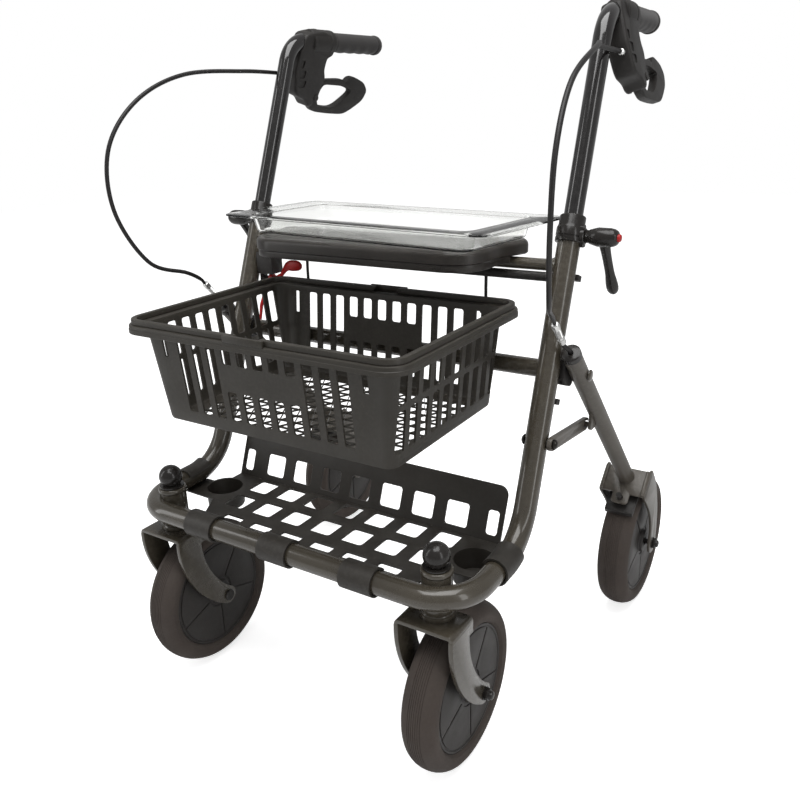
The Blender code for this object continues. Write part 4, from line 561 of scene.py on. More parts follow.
def slot_outline(low, high, half, steps=6):
    """A slot with rounded corners, upright in the plane, about a = 0."""
    r = half * 0.45
    side, foot, top = half - r, low + r, high - r
    points = []
    for a, b, start in ((-side, foot, 180), (side, foot, 270), (side, top, 0), (-side, top, 90)):
        points += arc((a, b), r, start, start + 90, steps)
    return points


def rounded_path(corners, radii, steps):
    """A path through corners, each inner one rounded by its own radius."""
    corners = [Vector(corner) for corner in corners]
    path = [corners[0]]
    for before, corner, after, radius in zip(corners, corners[1:], corners[2:], radii):
        into = (corner - before).normalized()
        out = (after - corner).normalized()
        angle = into.angle(out)
        start = corner - into * radius * math.tan(angle / 2)
        inward = (out - into * out.dot(into)).normalized()
        centre = start + inward * radius
        for i in range(steps + 1):
            turn = angle * i / steps
            path.append(centre - inward * radius * math.cos(turn) + into * radius * math.sin(turn))
    path.append(corners[-1])
    return path


def bezier(points, steps):
    """A cubic curve from four points of the plane."""
    curve = []
    for i in range(steps + 1):
        t = i / steps
        weights = ((1 - t) ** 3, 3 * t * (1 - t) ** 2, 3 * t * t * (1 - t), t ** 3)
        curve.append(tuple(sum(w * p[k] for w, p in zip(weights, points)) for k in (0, 1)))
    return curve


def blade(points, start_width, end_width, steps=20, end_steps=14):
    """A flat blade along a curve, square at its start and round at its end."""
    curve = bezier(points, steps)
    left, right = [], []
    for i, (a, b) in enumerate(curve):
        before, after = curve[max(i - 1, 0)], curve[min(i + 1, steps)]
        heading = Vector((after[0] - before[0], after[1] - before[1])).normalized()
        half = (start_width + (end_width - start_width) * i / steps) / 2
        left.append((a - heading.y * half, b + heading.x * half))
        right.append((a + heading.y * half, b - heading.x * half))
    last = math.degrees(math.atan2(heading.y, heading.x))
    tip = arc(curve[-1], end_width / 2, last - 90, last + 90, end_steps)
    return right[:-1] + tip + left[:-1][::-1]


def rounded_outline(outline, steps=4, share=0.3):
    """Round each corner of an outline, given in millimetres, within a share of its sides."""
    points = []
    for i, (a, b) in enumerate(outline):
        corner = Vector((a, b)) / 1000
        before = corner.lerp(Vector(outline[i - 1]) / 1000, share)
        after = corner.lerp(Vector(outline[(i + 1) % len(outline)]) / 1000, share)
        for k in range(steps + 1):
            t = k / steps
            points.append(tuple(before * (1 - t) ** 2 + corner * 2 * t * (1 - t) + after * t * t))
    return points


def lengths_along(path):
    """How far along a path each of its points is."""
    lengths = [0.0]
    for before, after in zip(path, path[1:]):
        lengths.append(lengths[-1] + (after - before).length)
    return lengths


def smooth_curve(points, spacing):
    """Even points along a smooth curve through the given ones."""
    dense = []
    last = len(points) - 1
    for i in range(last):
        a, b, c, d = points[max(i - 1, 0)], points[i], points[i + 1], points[min(i + 2, last)]
        for k in range(24):
            t = k / 24
            first = (b * 2 + (c - a) * t) * 0.5
            second = (a * 2 - b * 5 + c * 4 - d) * (t * t * 0.5)
            third = (b * 3 - a - c * 3 + d) * (t * t * t * 0.5)
            dense.append(first + (second + third))
    dense.append(points[-1])
    lengths = lengths_along(dense)
    count = max(round(lengths[-1] / spacing), 2)
    even, k = [], 0
    for i in range(count + 1):
        goal = lengths[-1] * i / count
        while k < len(lengths) - 2 and lengths[k + 1] < goal:
            k += 1
        share = (goal - lengths[k]) / (lengths[k + 1] - lengths[k])
        even.append(dense[k].lerp(dense[k + 1], min(share, 1.0)))
    return even


def axes_matrix(origin, x_axis, y_axis):
    """Local axes placed in the world: Z is X cross Y."""
    x_axis = Vector(x_axis).normalized()
    z_axis = x_axis.cross(Vector(y_axis)).normalized()
    matrix = Matrix((x_axis, z_axis.cross(x_axis), z_axis)).transposed().to_4x4()
    matrix.translation = Vector(origin)
    return matrix


def along_matrix(origin, direction):
    """Local Z along a direction."""
    direction = Vector(direction).normalized()
    helper = Vector((1.0, 0.0, 0.0)) if abs(direction.x) < 0.9 else Vector((0.0, 1.0, 0.0))
    y_axis = direction.cross(helper).normalized()
    return axes_matrix(origin, y_axis.cross(direction), y_axis)


def side_view(x, y=0.0, z=0.0):
    """Local X and Y are world Y and Z, and local Z is world X, at the given place."""
    return axes_matrix((x, y, z), (0.0, 1.0, 0.0), (0.0, 0.0, 1.0))


def cross_rod(low, high, y, z, radius, sides=24):
    """A rod along world X, from low to high."""
    return rod((low, y, z), (high, y, z), radius, sides)


def mirrored(right):
    """The right-hand half of an outline or a path, followed by its left-hand half."""
    return right + [type(point)((-point[0], *point[1:])) for point in reversed(right)]


def with_round_ends(start, end, radius, angle, steps):
    """Outline of a bar or slot between two points of the plane, which lie at this angle."""
    foot = arc(start, radius, angle + 90, angle + 270, steps)
    return foot + arc(end, radius, angle - 90, angle + 90, steps)


def finished(piece, name, finish, body, stands_for, angle=38.0):
    """Name, smooth, paint and place a finished piece on its body."""
    smoothed(piece, angle)
    deselect()
    piece.name = name
    piece.data.name = name
    piece.data.materials.clear()
    piece.data.materials.append(bpy.data.materials[finish])
    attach(piece, body)
    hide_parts(*stands_for)
    return piece


def finished_pair(piece, name, finish, body, stands_for, angle=38.0):
    """The right-hand piece and its mirror image. A body's name that ends in _ gets its side."""
    left = twin(piece)
    for side, each in (("right", piece), ("left", left)):
        nodes = [f"{node}_{side}" for node in stands_for]
        place = f"{body}{side}" if body.endswith("_") else body
        finished(each, f"{name}_{side}", finish, place, nodes, angle)


# Places that several pieces share


def upright_point(height):
    """Centre of the right upright at a height."""
    rise = height - BAR_HEIGHT
    x = BAR_HALF_WIDTH + UPRIGHT_LEAN_IN * rise
    return Vector((x, UPRIGHT_FOOT_Y + UPRIGHT_LEAN_BACK * rise, height))


UPRIGHT = (upright_point(1.0) - upright_point(0.0)).normalized()
SLIDE = Vector((0.0, UPRIGHT.y, UPRIGHT.z)).normalized()
SLIDE_BACK = Vector((0.0, SLIDE.z, -SLIDE.y))


HANDLE_CORNER = upright_point(GRIP_AXIS_HEIGHT)
GRIP = Vector((-GRIP_TOE_IN, 1.0, 0.0)).normalized()
GRIP_SIDE = Vector((0.0, 0.0, 1.0)).cross(GRIP).normalized() * -1.0
BRAKE_LEVEL = Vector((0.0, 0.0, math.cos(BRAKE_ROLL)))
BRAKE_DOWN = (GRIP_SIDE * math.sin(BRAKE_ROLL) - BRAKE_LEVEL).normalized()
BRAKE = axes_matrix(HANDLE_CORNER, GRIP, BRAKE_DOWN)


def brake_point(s, h, across=0.0):
    """World place of a point of the brake unit: s along the grip, h down from its axis."""
    return BRAKE @ Vector((s, h, across))


CROSS_CENTRE = Vector((0.0, upright_point(CROSS_HEIGHT).y + CROSS_OFFSET / SLIDE.z, CROSS_HEIGHT))
LEG_PIVOT = Vector((LEG_PIVOT_X, CROSS_CENTRE.y, CROSS_CENTRE.z))
CROWN_POINT = Vector((LEG_FOOT_X, REAR_Y - CROWN_FORWARD, WHEEL_RADIUS + CROWN_RISE))
LEG = (CROWN_POINT - LEG_PIVOT).normalized()
LEG_BACK = Vector((0.0, -LEG.z, LEG.y)).normalized()
LEG_DOWN = Vector((0.0, LEG.y, LEG.z)).normalized()
LEG_TOP = LEG_PIVOT - LEG * LEG_HEAD
BOLT = Vector((0.0, upright_point(LINK_BOLT_Z).y + 0.0013, LINK_BOLT_Z))
LINK_PIN = Vector((TAB_X, LINK_PIN_Y, LINK_PIN_Z))
CLAMP = Vector((0.0, upright_point(CLAMP_HEIGHT).y, CLAMP_HEIGHT))
CLAMP_FACE_X = upright_point(CLAMP_HEIGHT).x + COLLAR_RADIUS + 0.0021


HOUSING = (
    (19, -10), (37, -14), (60, -17), (77, -13), (88, 0), (88, 13), (74, 19), (71, 37), (76, 50),
    (70, 66), (57, 84), (52, 92), (45, 91), (36, 81), (17, 75), (11, 67), (8, 40), (10, 30),
)
LEVER_OUTER = (
    (52, 70), (80, 53), (130, 52), (137, 57), (147, 49), (157, 48), (186, 57), (198, 70), (189, 86),
    (161, 100), (142, 107), (104, 105), (66, 101), (52, 90), (50, 78),
)
LEVER_INNER = (
    (76, 69), (84, 60), (107, 61), (127, 62), (160, 70), (116, 96), (76, 92), (72, 84),
)


# Frame


def side_run(rear_y, steps=14):
    """The right-hand run of the U from its straight part up into the bend, as far as rear_y."""
    foot = upright_point(BAR_HEIGHT)
    start = Vector((foot.x, CLIP_FRONT_Y, BAR_HEIGHT))
    path = rounded_path([start, foot, upright_point(0.400)], [UPRIGHT_BEND_RADIUS], steps)
    return [point for point in path if point.y <= rear_y]


def model_main_frame():
    foot, top = upright_point(BAR_HEIGHT), upright_point(UPRIGHT_TOP)
    corners = mirrored([top, foot, Vector((foot.x, BAR_FRONT_Y, BAR_HEIGHT))])
    radii = [UPRIGHT_BEND_RADIUS, BAR_CORNER_RADIUS, BAR_CORNER_RADIUS, UPRIGHT_BEND_RADIUS]
    parts = [tube(rounded_path(corners, radii, 16), TUBE_RADIUS, 32)]
    bar_y, bar_x = upright_point(SEAT_BAR_Z).y, upright_point(SEAT_BAR_Z).x - TUBE_RADIUS
    bar = [
        (-bar_x - 0.004, 0.0098), (-bar_x, 0.0092), (-bar_x + 0.0035, 0.0074),
        (-bar_x + 0.006, SEAT_BAR_RADIUS),
    ]
    bar += [(-x, radius) for x, radius in reversed(bar)]
    parts.append(revolve([(r, x) for x, r in bar], side_view(0.0, bar_y, SEAT_BAR_Z), 28))
    ring, low = SOCKET_RADIUS + 0.0008, BAR_HEIGHT - TUBE_RADIUS
    profile = [
        (SOCKET_RADIUS - 0.0012, low - 0.0002), (SOCKET_RADIUS, low + 0.001),
        (SOCKET_RADIUS, SOCKET_TOP - SOCKET_RING_HEIGHT - 0.0006),
        (SOCKET_RADIUS - 0.0009, SOCKET_TOP - 0.0062),
        (SOCKET_RADIUS - 0.0009, SOCKET_TOP - 0.0056), (ring, SOCKET_TOP - 0.0048),
        (ring, SOCKET_TOP - 0.0013), (ring - 0.0006, SOCKET_TOP - 0.0004),
        (SOCKET_RADIUS - 0.001, SOCKET_TOP),
    ]
    for side in (1, -1):
        parts.append(revolve(profile, Matrix.Translation((side * FRONT_X, SWIVEL_Y, 0.0)), 40))
    return gathered(parts)


def model_basket_bar():
    """The bar behind the basket, and the wire welded to it that holds the basket's rim."""
    centre = upright_point(BASKET_BAR_Z)
    half = centre.x - TUBE_RADIUS - GAP
    bar = cross_rod(-half, half, centre.y, BASKET_BAR_Z, BASKET_BAR_RADIUS)
    under = RIM_TOP - BASKET_WALL - HANGER_RADIUS - GAP
    below = RIM_TOP - RIM_LIP - HANGER_RADIUS - JOINT_GAP
    inset = RIM_OVERHANG / 2 + BASKET_WALL / 2
    outside = RIM_REAR_Y + HANGER_RADIUS + JOINT_GAP
    run_rear, run_front, run_x = RIM_REAR_Y - inset, RIM_FRONT_Y + inset, RIM_HALF_WIDTH - inset
    right = [
        Vector((HANGER_X, centre.y, BASKET_BAR_Z)),
        Vector((HANGER_X, outside, BASKET_BAR_Z - 0.018)),
        Vector((HANGER_X, outside, below)), Vector((HANGER_X, run_rear, below)),
        Vector((HANGER_X, run_rear, under)),
        Vector((run_x, run_rear, under)), Vector((run_x, run_front, under)),
    ]
    corners = mirrored(right)
    radii = [0.008, 0.003, 0.0025, 0.0025, 0.017, 0.017]
    return gathered([bar, tube(rounded_path(corners, radii + radii[::-1], 5), HANGER_RADIUS, 12)])


def model_collar():
    low = upright_point(COLLAR_FOOT)
    place = along_matrix(low, UPRIGHT)
    step = (UPRIGHT_TOP - COLLAR_FOOT) / UPRIGHT.z + JOINT_GAP
    r, n, top = COLLAR_RADIUS, COLLAR_NECK_RADIUS, COLLAR_LENGTH
    outer = [
        (r - 0.001, 0.0), (r - 0.0003, 0.0003), (r, 0.001), (r, 0.0052), (r - 0.0007, 0.0058),
        (r - 0.0007, 0.0066),
        (r, 0.0072), (r, COLLAR_STEP - 0.001), (r - 0.0004, COLLAR_STEP), (n, COLLAR_STEP + 0.003),
        (n, top - 0.0016), (n - 0.0004, top - 0.0006), (n - 0.0012, top),
        (HANDLE_RADIUS + RUN_GAP, top), (HANDLE_RADIUS + RUN_GAP, step),
        (TUBE_RADIUS + GAP, step - 0.0004), (TUBE_RADIUS + GAP, 0.0),
    ]
    ring = revolve(outer, place, 40, closed=True)
    start = Vector((low.x, CLAMP.y, CLAMP.z))
    axis = side_view(*CLAMP)
    b, face = CLAMP_BOSS_RADIUS, CLAMP_FACE_X
    near = low.x + TUBE_RADIUS + 0.0006
    boss = revolve([(b, near), (b, face - 0.0008), (b - 0.0008, face), (0.004, face)], axis, 28)
    stud = revolve(
        [(CLAMP_STUD_RADIUS, face - 0.002), (CLAMP_STUD_RADIUS, face + CLAMP_STUD_LENGTH)], axis,
        16,
    )
    ear = prism(
        rounded_rectangle(0.0052, 0.0125, 0.003, 4), 0.0045, along_matrix(start, (1, 0, 0)),
        face - start.x - 0.004,
    )
    return gathered([ring, boss, stud, ear])


def model_guide_rail():
    """A slotted flat bar beside the upright, on two feet that fit the tube."""
    low = upright_point(RAIL_FOOT)
    length = (RAIL_TOP - RAIL_FOOT) / SLIDE.z
    plane = axes_matrix((0.0, low.y, low.z), SLIDE_BACK, SLIDE)
    x = RAIL_X + RAIL_THICKNESS / 2
    near, far, end = RAIL_OFFSET, RAIL_OFFSET + RAIL_WIDTH, RAIL_WIDTH / 2
    middle = near + end
    outline = with_round_ends((middle, end), (middle, length - end), end, 90, 12)
    slot_low, slot_high = (middle, RAIL_SLOT_START), (middle, length - RAIL_SLOT_START)
    slot = with_round_ends(slot_low, slot_high, RAIL_SLOT_RADIUS, 90, 6)
    bar = eased(cut(prism(outline, RAIL_THICKNESS, plane, x), prism(slot, 0.03, plane, x)), 0.0006)
    parts = [bar]
    for start in (0.001, length - RAIL_FOOT_LENGTH + 0.001):
        stop = start + RAIL_FOOT_LENGTH - 0.002
        left, right = near - 0.003, far - 0.003
        foot = [(left, start), (right, start), (right, stop), (left, stop)]
        parts.append(eased(prism(foot, RAIL_THICKNESS + 0.003, plane, x - 0.0015), 0.0008))
    saddle = rod(upright_point(0.38), upright_point(0.58), TUBE_RADIUS + GAP, 32)
    return cut(gathered(parts), saddle)


def model_caster_cap():
    """A domed plug on the caster socket, with the skirt that grips it."""
    place = Matrix.Translation((FRONT_X, SWIVEL_Y, 0.0))
    foot = SOCKET_TOP + GAP
    profile = [
        (0.004, foot), (SOCKET_RADIUS - 0.0024, foot), (SOCKET_RADIUS - 0.0016, foot + 0.0007),
        (SOCKET_RADIUS - 0.0016, foot + 0.0022),
    ]
    start = math.degrees(math.asin((foot + 0.003 - DOME_CENTRE) / DOME_RADIUS))
    for radius, height in arc((0.0, DOME_CENTRE), DOME_RADIUS, start, 88, 16):
        profile.append((max(radius, 0.0006), height))
    return revolve(profile, place, 40)


def model_link_bolt():
    """The bolt through the upright that the link turns on, with spacer and domed nut."""
    inside = upright_point(BOLT.z).x - TUBE_RADIUS - GAP
    outside = upright_point(BOLT.z).x + TUBE_RADIUS + GAP
    link, nut = LINK_X - GAP, LINK_X + LINK_THICKNESS + GAP
    axis = side_view(*BOLT)
    profile = [
        (0.0010, inside - 0.0045), (0.0036, inside - 0.0041), (0.0052, inside - 0.0030),
        (0.0064, inside - 0.0016),
        (0.0064, inside), (BOLT_RADIUS, inside), (BOLT_RADIUS, outside), (0.0060, outside),
        (0.0064, outside + 0.0004),
        (0.0064, link - 0.0004), (0.0060, link), (BOLT_RADIUS, link), (BOLT_RADIUS, nut),
        (0.0058, nut),
    ]
    bolt = revolve(profile, axis, 28)
    head = eased(revolve([(0.0062, nut), (0.0062, nut + 0.0030)], axis, 6), 0.0004)
    dome = revolve(
        [
            (0.0046, nut + 0.0029), (0.0043, nut + 0.0039), (0.0028, nut + 0.0047),
            (0.0006, nut + 0.0050),
        ],
        axis, 24,
    )
    return gathered([bolt, head, dome])


# Wheels


def model_tyre(x, y, groove_depth, groove_width):
    """A tyre's cross-section with its fine tread grooves, spun round the axle."""
    half, crown, seat = TYRE_WIDTH / 2, WHEEL_RADIUS, TYRE_SEAT_RADIUS
    side = [(seat, half - 0.0050), (seat + 0.0010, half - 0.0036), (seat + 0.0030, half - 0.0016)]
    bulge = 0.0150
    for share in (1.0, 0.985, 0.945, 0.88, 0.79, 0.68, 0.56, 0.44):
        side.append((crown - bulge * (1.0 - math.sqrt(1.0 - share * share)), half * share))
    tread = []
    for middle in (0.0, 0.0026, 0.0052, 0.0078):
        fall = bulge * (1.0 - math.sqrt(1.0 - (middle / half) ** 2))
        edge = groove_width / 2
        lip = 0.00015
        notch = [
            (crown - fall, middle - edge - lip), (crown - fall - groove_depth, middle - edge + lip),
            (crown - fall - groove_depth, middle + edge - lip), (crown - fall, middle + edge + lip),
        ]
        tread += notch if middle else notch[2:]
    right = side + tread[::-1]
    centre = (crown - groove_depth, 0.0)
    profile = [(radius, -width) for radius, width in right] + [centre] + right[::-1]
    place = side_view(x, y, WHEEL_RADIUS)
    tyre = ring_of([place @ Vector((radius, 0.0, width)) for radius, width in profile])
    bpy.ops.mesh.spin(steps=112, angle=math.tau, center=(x, y, WHEEL_RADIUS), axis=(1.0, 0.0, 0.0))
    bpy.ops.mesh.select_all(action="SELECT")
    bpy.ops.mesh.remove_doubles(threshold=TYRE_SEAM)
    return faced_outwards(tyre)


def model_hub(x, y):
    """A disc with a boss and five low petals on both faces, parted by thin Y-shaped lines."""
    place = side_view(x, y, WHEEL_RADIUS)
    half, web, boss = HUB_WIDTH / 2, HUB_WIDTH / 2 - 0.0022, HUB_BOSS_WIDTH / 2
    rim, bore = TYRE_SEAT_RADIUS - GAP, AXLE_RADIUS + RUN_GAP
    right = [
        (rim, half - 0.0016), (rim - 0.0008, half - 0.0009), (rim - 0.0026, half - 0.0009),
        (rim - 0.0036, web), (HUB_BOSS_RADIUS + 0.0016, web), (HUB_BOSS_RADIUS, web + 0.0014),
        (HUB_BOSS_RADIUS - 0.0006, boss - 0.0010), (HUB_BOSS_RADIUS - 0.0016, boss),
        (bore + 0.0024, boss), (bore + 0.0016, boss - 0.0012), (bore, boss - 0.0014),
    ]
    profile = [(radius, -width) for radius, width in right] + right[::-1]
    parts = [revolve(profile, place, 96, closed=True)]
    inner, outer = HUB_BOSS_RADIUS + 0.0050, rim - 0.0052
    trim = [math.degrees(HUB_LINE / 2 / radius) for radius in (inner, outer)]
    for k in range(5):
        turn = 72.0 * k + 90.0
        for face, way in ((web, 1), (-web, -1)):
            petal = arc((0.0, 0.0), outer, turn - 36 + trim[1], turn + 36 - trim[1], 18)
            petal += arc((0.0, 0.0), inner, turn + 36 - trim[0], turn - 36 + trim[0], 8)
            low, high = sorted((face - way * 0.0010, face + way * 0.0013))
            sheet = prism(petal, high - low, place, (low + high) / 2)
            parts.append(eased(sheet, 0.0008, 2, 50.0))
    return gathered(parts)


def fork_blade():
    """Outline of a front fork blade in world Y and Z: swept back from the crown to the axle."""
    points = [
        (FORK_BLADE_TOP_Y, CROWN_TOP - 0.004), (-0.2740, 0.178), (-0.2500, 0.125),
        (FRONT_Y, WHEEL_RADIUS),
    ]
    return blade(points, FORK_BLADE_TOP_WIDTH, FORK_BLADE_END_WIDTH)


def model_front_fork():
    """A pressed bracket: a crown bent down into the blades, and the bearing cup on it."""
    half, sheet = FORK_WIDTH / 2, FORK_PLATE
    length, middle = CROWN_REAR_Y - CROWN_FRONT_Y, (CROWN_REAR_Y + CROWN_FRONT_Y) / 2
    bend = 0.0060
    skirt = CROWN_TOP - 0.020
    outer = [(half, skirt)] + arc((half - bend, CROWN_TOP - bend), bend, 0, 90, 8)
    outer += arc((-half + bend, CROWN_TOP - bend), bend, 90, 180, 8) + [(-half, skirt)]
    tight = bend - sheet
    inner = [(-half + sheet, skirt)] + arc((-half + bend, CROWN_TOP - bend), tight, 180, 90, 5)
    inner += arc((half - bend, CROWN_TOP - bend), tight, 90, 0, 5) + [(half - sheet, skirt)]
    section = axes_matrix((FRONT_X, middle, 0.0), (1, 0, 0), (0, 0, 1))
    parts = [eased(prism(outer + inner, length, section), 0.0009)]
    for side in (1, -1):
        x = FRONT_X + side * (half - sheet / 2)
        top, half_blade = CROWN_TOP - bend, FORK_BLADE_TOP_WIDTH / 2
        outline = [point for point in fork_blade() if point[1] < top]
        corners = [(FORK_BLADE_TOP_Y + way * half_blade, top) for way in (-1, 1)]
        outline = without_repeats(corners[:1] + outline + corners[1:])
        plate = prism(outline, sheet + 0.0006, side_view(x))
        hole = cross_rod(x - 0.02, x + 0.02, FRONT_Y, WHEEL_RADIUS, AXLE_RADIUS + GAP)
        parts.append(eased(cut(plate, hole), 0.0010))
        near, far = x - side * sheet / 2, x - side * (sheet / 2 + 0.0040)
        low, high = sorted((near, far))
        ring = [(AXLE_RADIUS + GAP, low), (0.0085, low), (0.0085, high), (AXLE_RADIUS + GAP, high)]
        parts.append(revolve(ring, side_view(0.0, FRONT_Y, WHEEL_RADIUS), 28, closed=True))
    place = Matrix.Translation((FRONT_X, SWIVEL_Y, 0.0))
    top = BAR_HEIGHT - TUBE_RADIUS - JOINT_GAP
    stem = [
        (0.0165, CROWN_TOP - 0.001), (0.0200, CROWN_TOP + 0.0003), (0.0206, CROWN_TOP + 0.0022),
        (0.0203, CROWN_TOP + 0.0052), (0.0190, CROWN_TOP + 0.0062), (0.0186, CROWN_TOP + 0.0068),
        (0.0190, CROWN_TOP + 0.0076), (0.0190, top - 0.0022), (0.0184, top - 0.0006), (0.0172, top),
        (STEM_RADIUS, top), (STEM_RADIUS, STEM_TOP - 0.001), (STEM_RADIUS - 0.001, STEM_TOP),
    ]
    parts.append(revolve(stem, place, 40))
    return gathered(parts)


def without_repeats(outline):
    """The outline's points, without those that stand nearly on the one before."""
    kept = []
    for point in outline:
        if not kept or (Vector(point) - Vector(kept[-1])).length > NEAR:
            kept.append(point)
    if (Vector(kept[0]) - Vector(kept[-1])).length < NEAR:
        kept.pop()
    return kept


def model_axle(x, y, half_fork, cap, outer_length, inner_length):
    """A pin through the wheel. Its long ends have washer, nut and cap, a short one a plain head."""
    end = half_fork + GAP
    place = side_view(x, y, WHEEL_RADIUS)
    parts = [revolve([(AXLE_RADIUS, -end), (AXLE_RADIUS, end)], place, 24)]
    for side, length in ((1, outer_length), (-1, inner_length)):
        def at(height):
            return side * (end + height)
        if length < PLAIN_HEAD:
            head = [
                (0.001, at(0.0)), (cap, at(0.0)), (cap, at(length - 0.0008)),
                (cap - 0.0009, at(length)), (0.001, at(length)),
            ]
            parts.append(revolve(head, place, 28))
            continue
        washer = [
            (0.001, at(0.0)), (cap - 0.0003, at(0.0)), (cap, at(0.0003)), (cap, at(0.0012)),
            (0.001, at(0.0015)),
        ]
        dome = [
            (0.001, at(0.0010)), (cap - 0.0030, at(0.0012)), (cap - 0.0028, at(length - 0.0030)),
            (cap - 0.0034, at(length - 0.0012)), (cap - 0.0048, at(length - 0.0003)),
            (0.0008, at(length)),
        ]
        nut = revolve([(cap - 0.0006, at(0.0012)), (cap - 0.0006, at(0.0056))], place, 6)
        parts += [revolve(washer, place, 28), revolve(dome, place, 28), eased(nut, 0.0005)]
    return gathered(parts)


# Fold: cross tube, rear legs and links


def leg_plane(x):
    """Local X runs down the leg and local Y runs forward of it, in the plane at x."""
    place = axes_matrix(LEG_PIVOT, LEG_DOWN, -LEG_BACK)
    place.translation.x = x
    return place


def adjuster_point(along):
    """A place on the brake adjuster's axis: along is measured down from the leg's top."""
    place = LEG_TOP + LEG_DOWN * along + LEG_BACK * ADJUSTER_BACK
    return Vector((ADJUSTER_X, place.y, place.z))


def shoe_stem(along):
    """A place on the brake shoe's stem: along is measured down from the crown plate."""
    place = CROWN_POINT - LEG_BACK * SHOE_STEM_FRONT + LEG_DOWN * along
    return Vector((CROWN_POINT.x, place.y, place.z))


def model_cross_tube():
    """The tube, and at each end the pin that its leg turns on, with its domed head."""
    end, pin, outer = SLIDER_X, PIVOT_PIN_RADIUS, LEG_PIVOT_X + LEG_RADIUS + GAP
    right = [
        (CROSS_RADIUS, end - 0.001), (CROSS_RADIUS - 0.001, end), (pin, end), (pin, outer),
        (0.0066, outer), (0.0070, outer + 0.0005), (0.0069, outer + 0.0013),
        (0.0058, outer + 0.0023), (0.0035, outer + 0.0029), (0.0006, outer + 0.0030),
    ]
    profile = [(radius, -x) for radius, x in reversed(right)] + right
    return revolve(profile, side_view(*CROSS_CENTRE), 32)


def model_slider_block():
    """A block fixed on the cross tube's end, whose channel runs along the guide rail."""
    plane = axes_matrix(CROSS_CENTRE, SLIDE_BACK, SLIDE)
    radius, half = SLIDER_RING_RADIUS, SLIDER_LENGTH / 2
    front = -(CROSS_OFFSET - RAIL_OFFSET) - 0.0022
    outline = [
        (front + 0.003, half), (front, half - 0.003), (front, -half + 0.006),
        (front + 0.006, -half),
    ]
    outline += arc((radius - 0.009, -half + 0.009), 0.009, 270, 360, 8)
    outline += arc((radius - 0.005, half - 0.005), 0.005, 0, 90, 6)
    x = SLIDER_X + SLIDER_THICKNESS / 2 + GAP / 2
    plate = prism(outline, SLIDER_THICKNESS - GAP, plane, x)
    start = SLIDER_X - SLIDER_RING_LENGTH
    axis = side_view(*CROSS_CENTRE)
    ring = revolve(
        [(radius - 0.001, start), (radius, start + 0.001), (radius, SLIDER_X + 0.002)], axis, 36,
    )
    bores = [
        revolve(
            [(CROSS_RADIUS + GAP, start - 0.01), (CROSS_RADIUS + GAP, SLIDER_X + GAP)], axis, 36,
        ),
        revolve([(PIVOT_PIN_RADIUS + GAP, 0.2), (PIVOT_PIN_RADIUS + GAP, 0.3)], axis, 24),
    ]
    near = RAIL_OFFSET - CROSS_OFFSET
    left, right = near - RUN_GAP, near + RAIL_WIDTH + RUN_GAP
    channel = [(left, -0.05), (right, -0.05), (right, 0.05), (left, 0.05)]
    bores.append(prism(channel, RAIL_THICKNESS + 2 * RUN_GAP, plane, RAIL_X + RAIL_THICKNESS / 2))
    return eased(cut(union(plate, ring), *bores), 0.0007)


def rear_cheek():
    """Outline of a rear fork cheek in world Y and Z: a crescent from the crown to the axle."""
    low = CROWN_POINT - LEG_BACK * REAR_CROWN_LOW
    high = CROWN_POINT + LEG_BACK * REAR_CROWN_HIGH
    axle = Vector((REAR_Y, WHEEL_RADIUS))
    rise = Vector((CROWN_POINT.y, CROWN_POINT.z)) - axle
    forward = Vector((-rise.y, rise.x)).normalized()

    def beside(share, off):
        return tuple(axle + rise * share + forward * off)

    front = [
        (low.y + 0.0045, low.z - 0.006), beside(0.746, 0.0144), beside(0.544, 0.0040),
        beside(0.344, 0.0), beside(0.211, 0.0022), beside(0.121, 0.0077),
    ]
    rear = [
        beside(0.094, -0.0241), beside(0.303, -0.0312), beside(0.510, -0.0333),
        beside(0.762, -0.0312),
    ]
    rear.append((high.y + 0.006, high.z + 0.001))
    edges = []
    for edge in (front, rear):
        curve = smooth_curve([Vector(point).to_3d() for point in edge], 0.006)
        edges.append([tuple(point)[:2] for point in curve])
    tip = arc((REAR_Y + 0.0015, WHEEL_RADIUS), 0.0165, 165, 375, 18)
    return [(low.y, low.z)] + edges[0] + tip + edges[1] + [(high.y, high.z)]


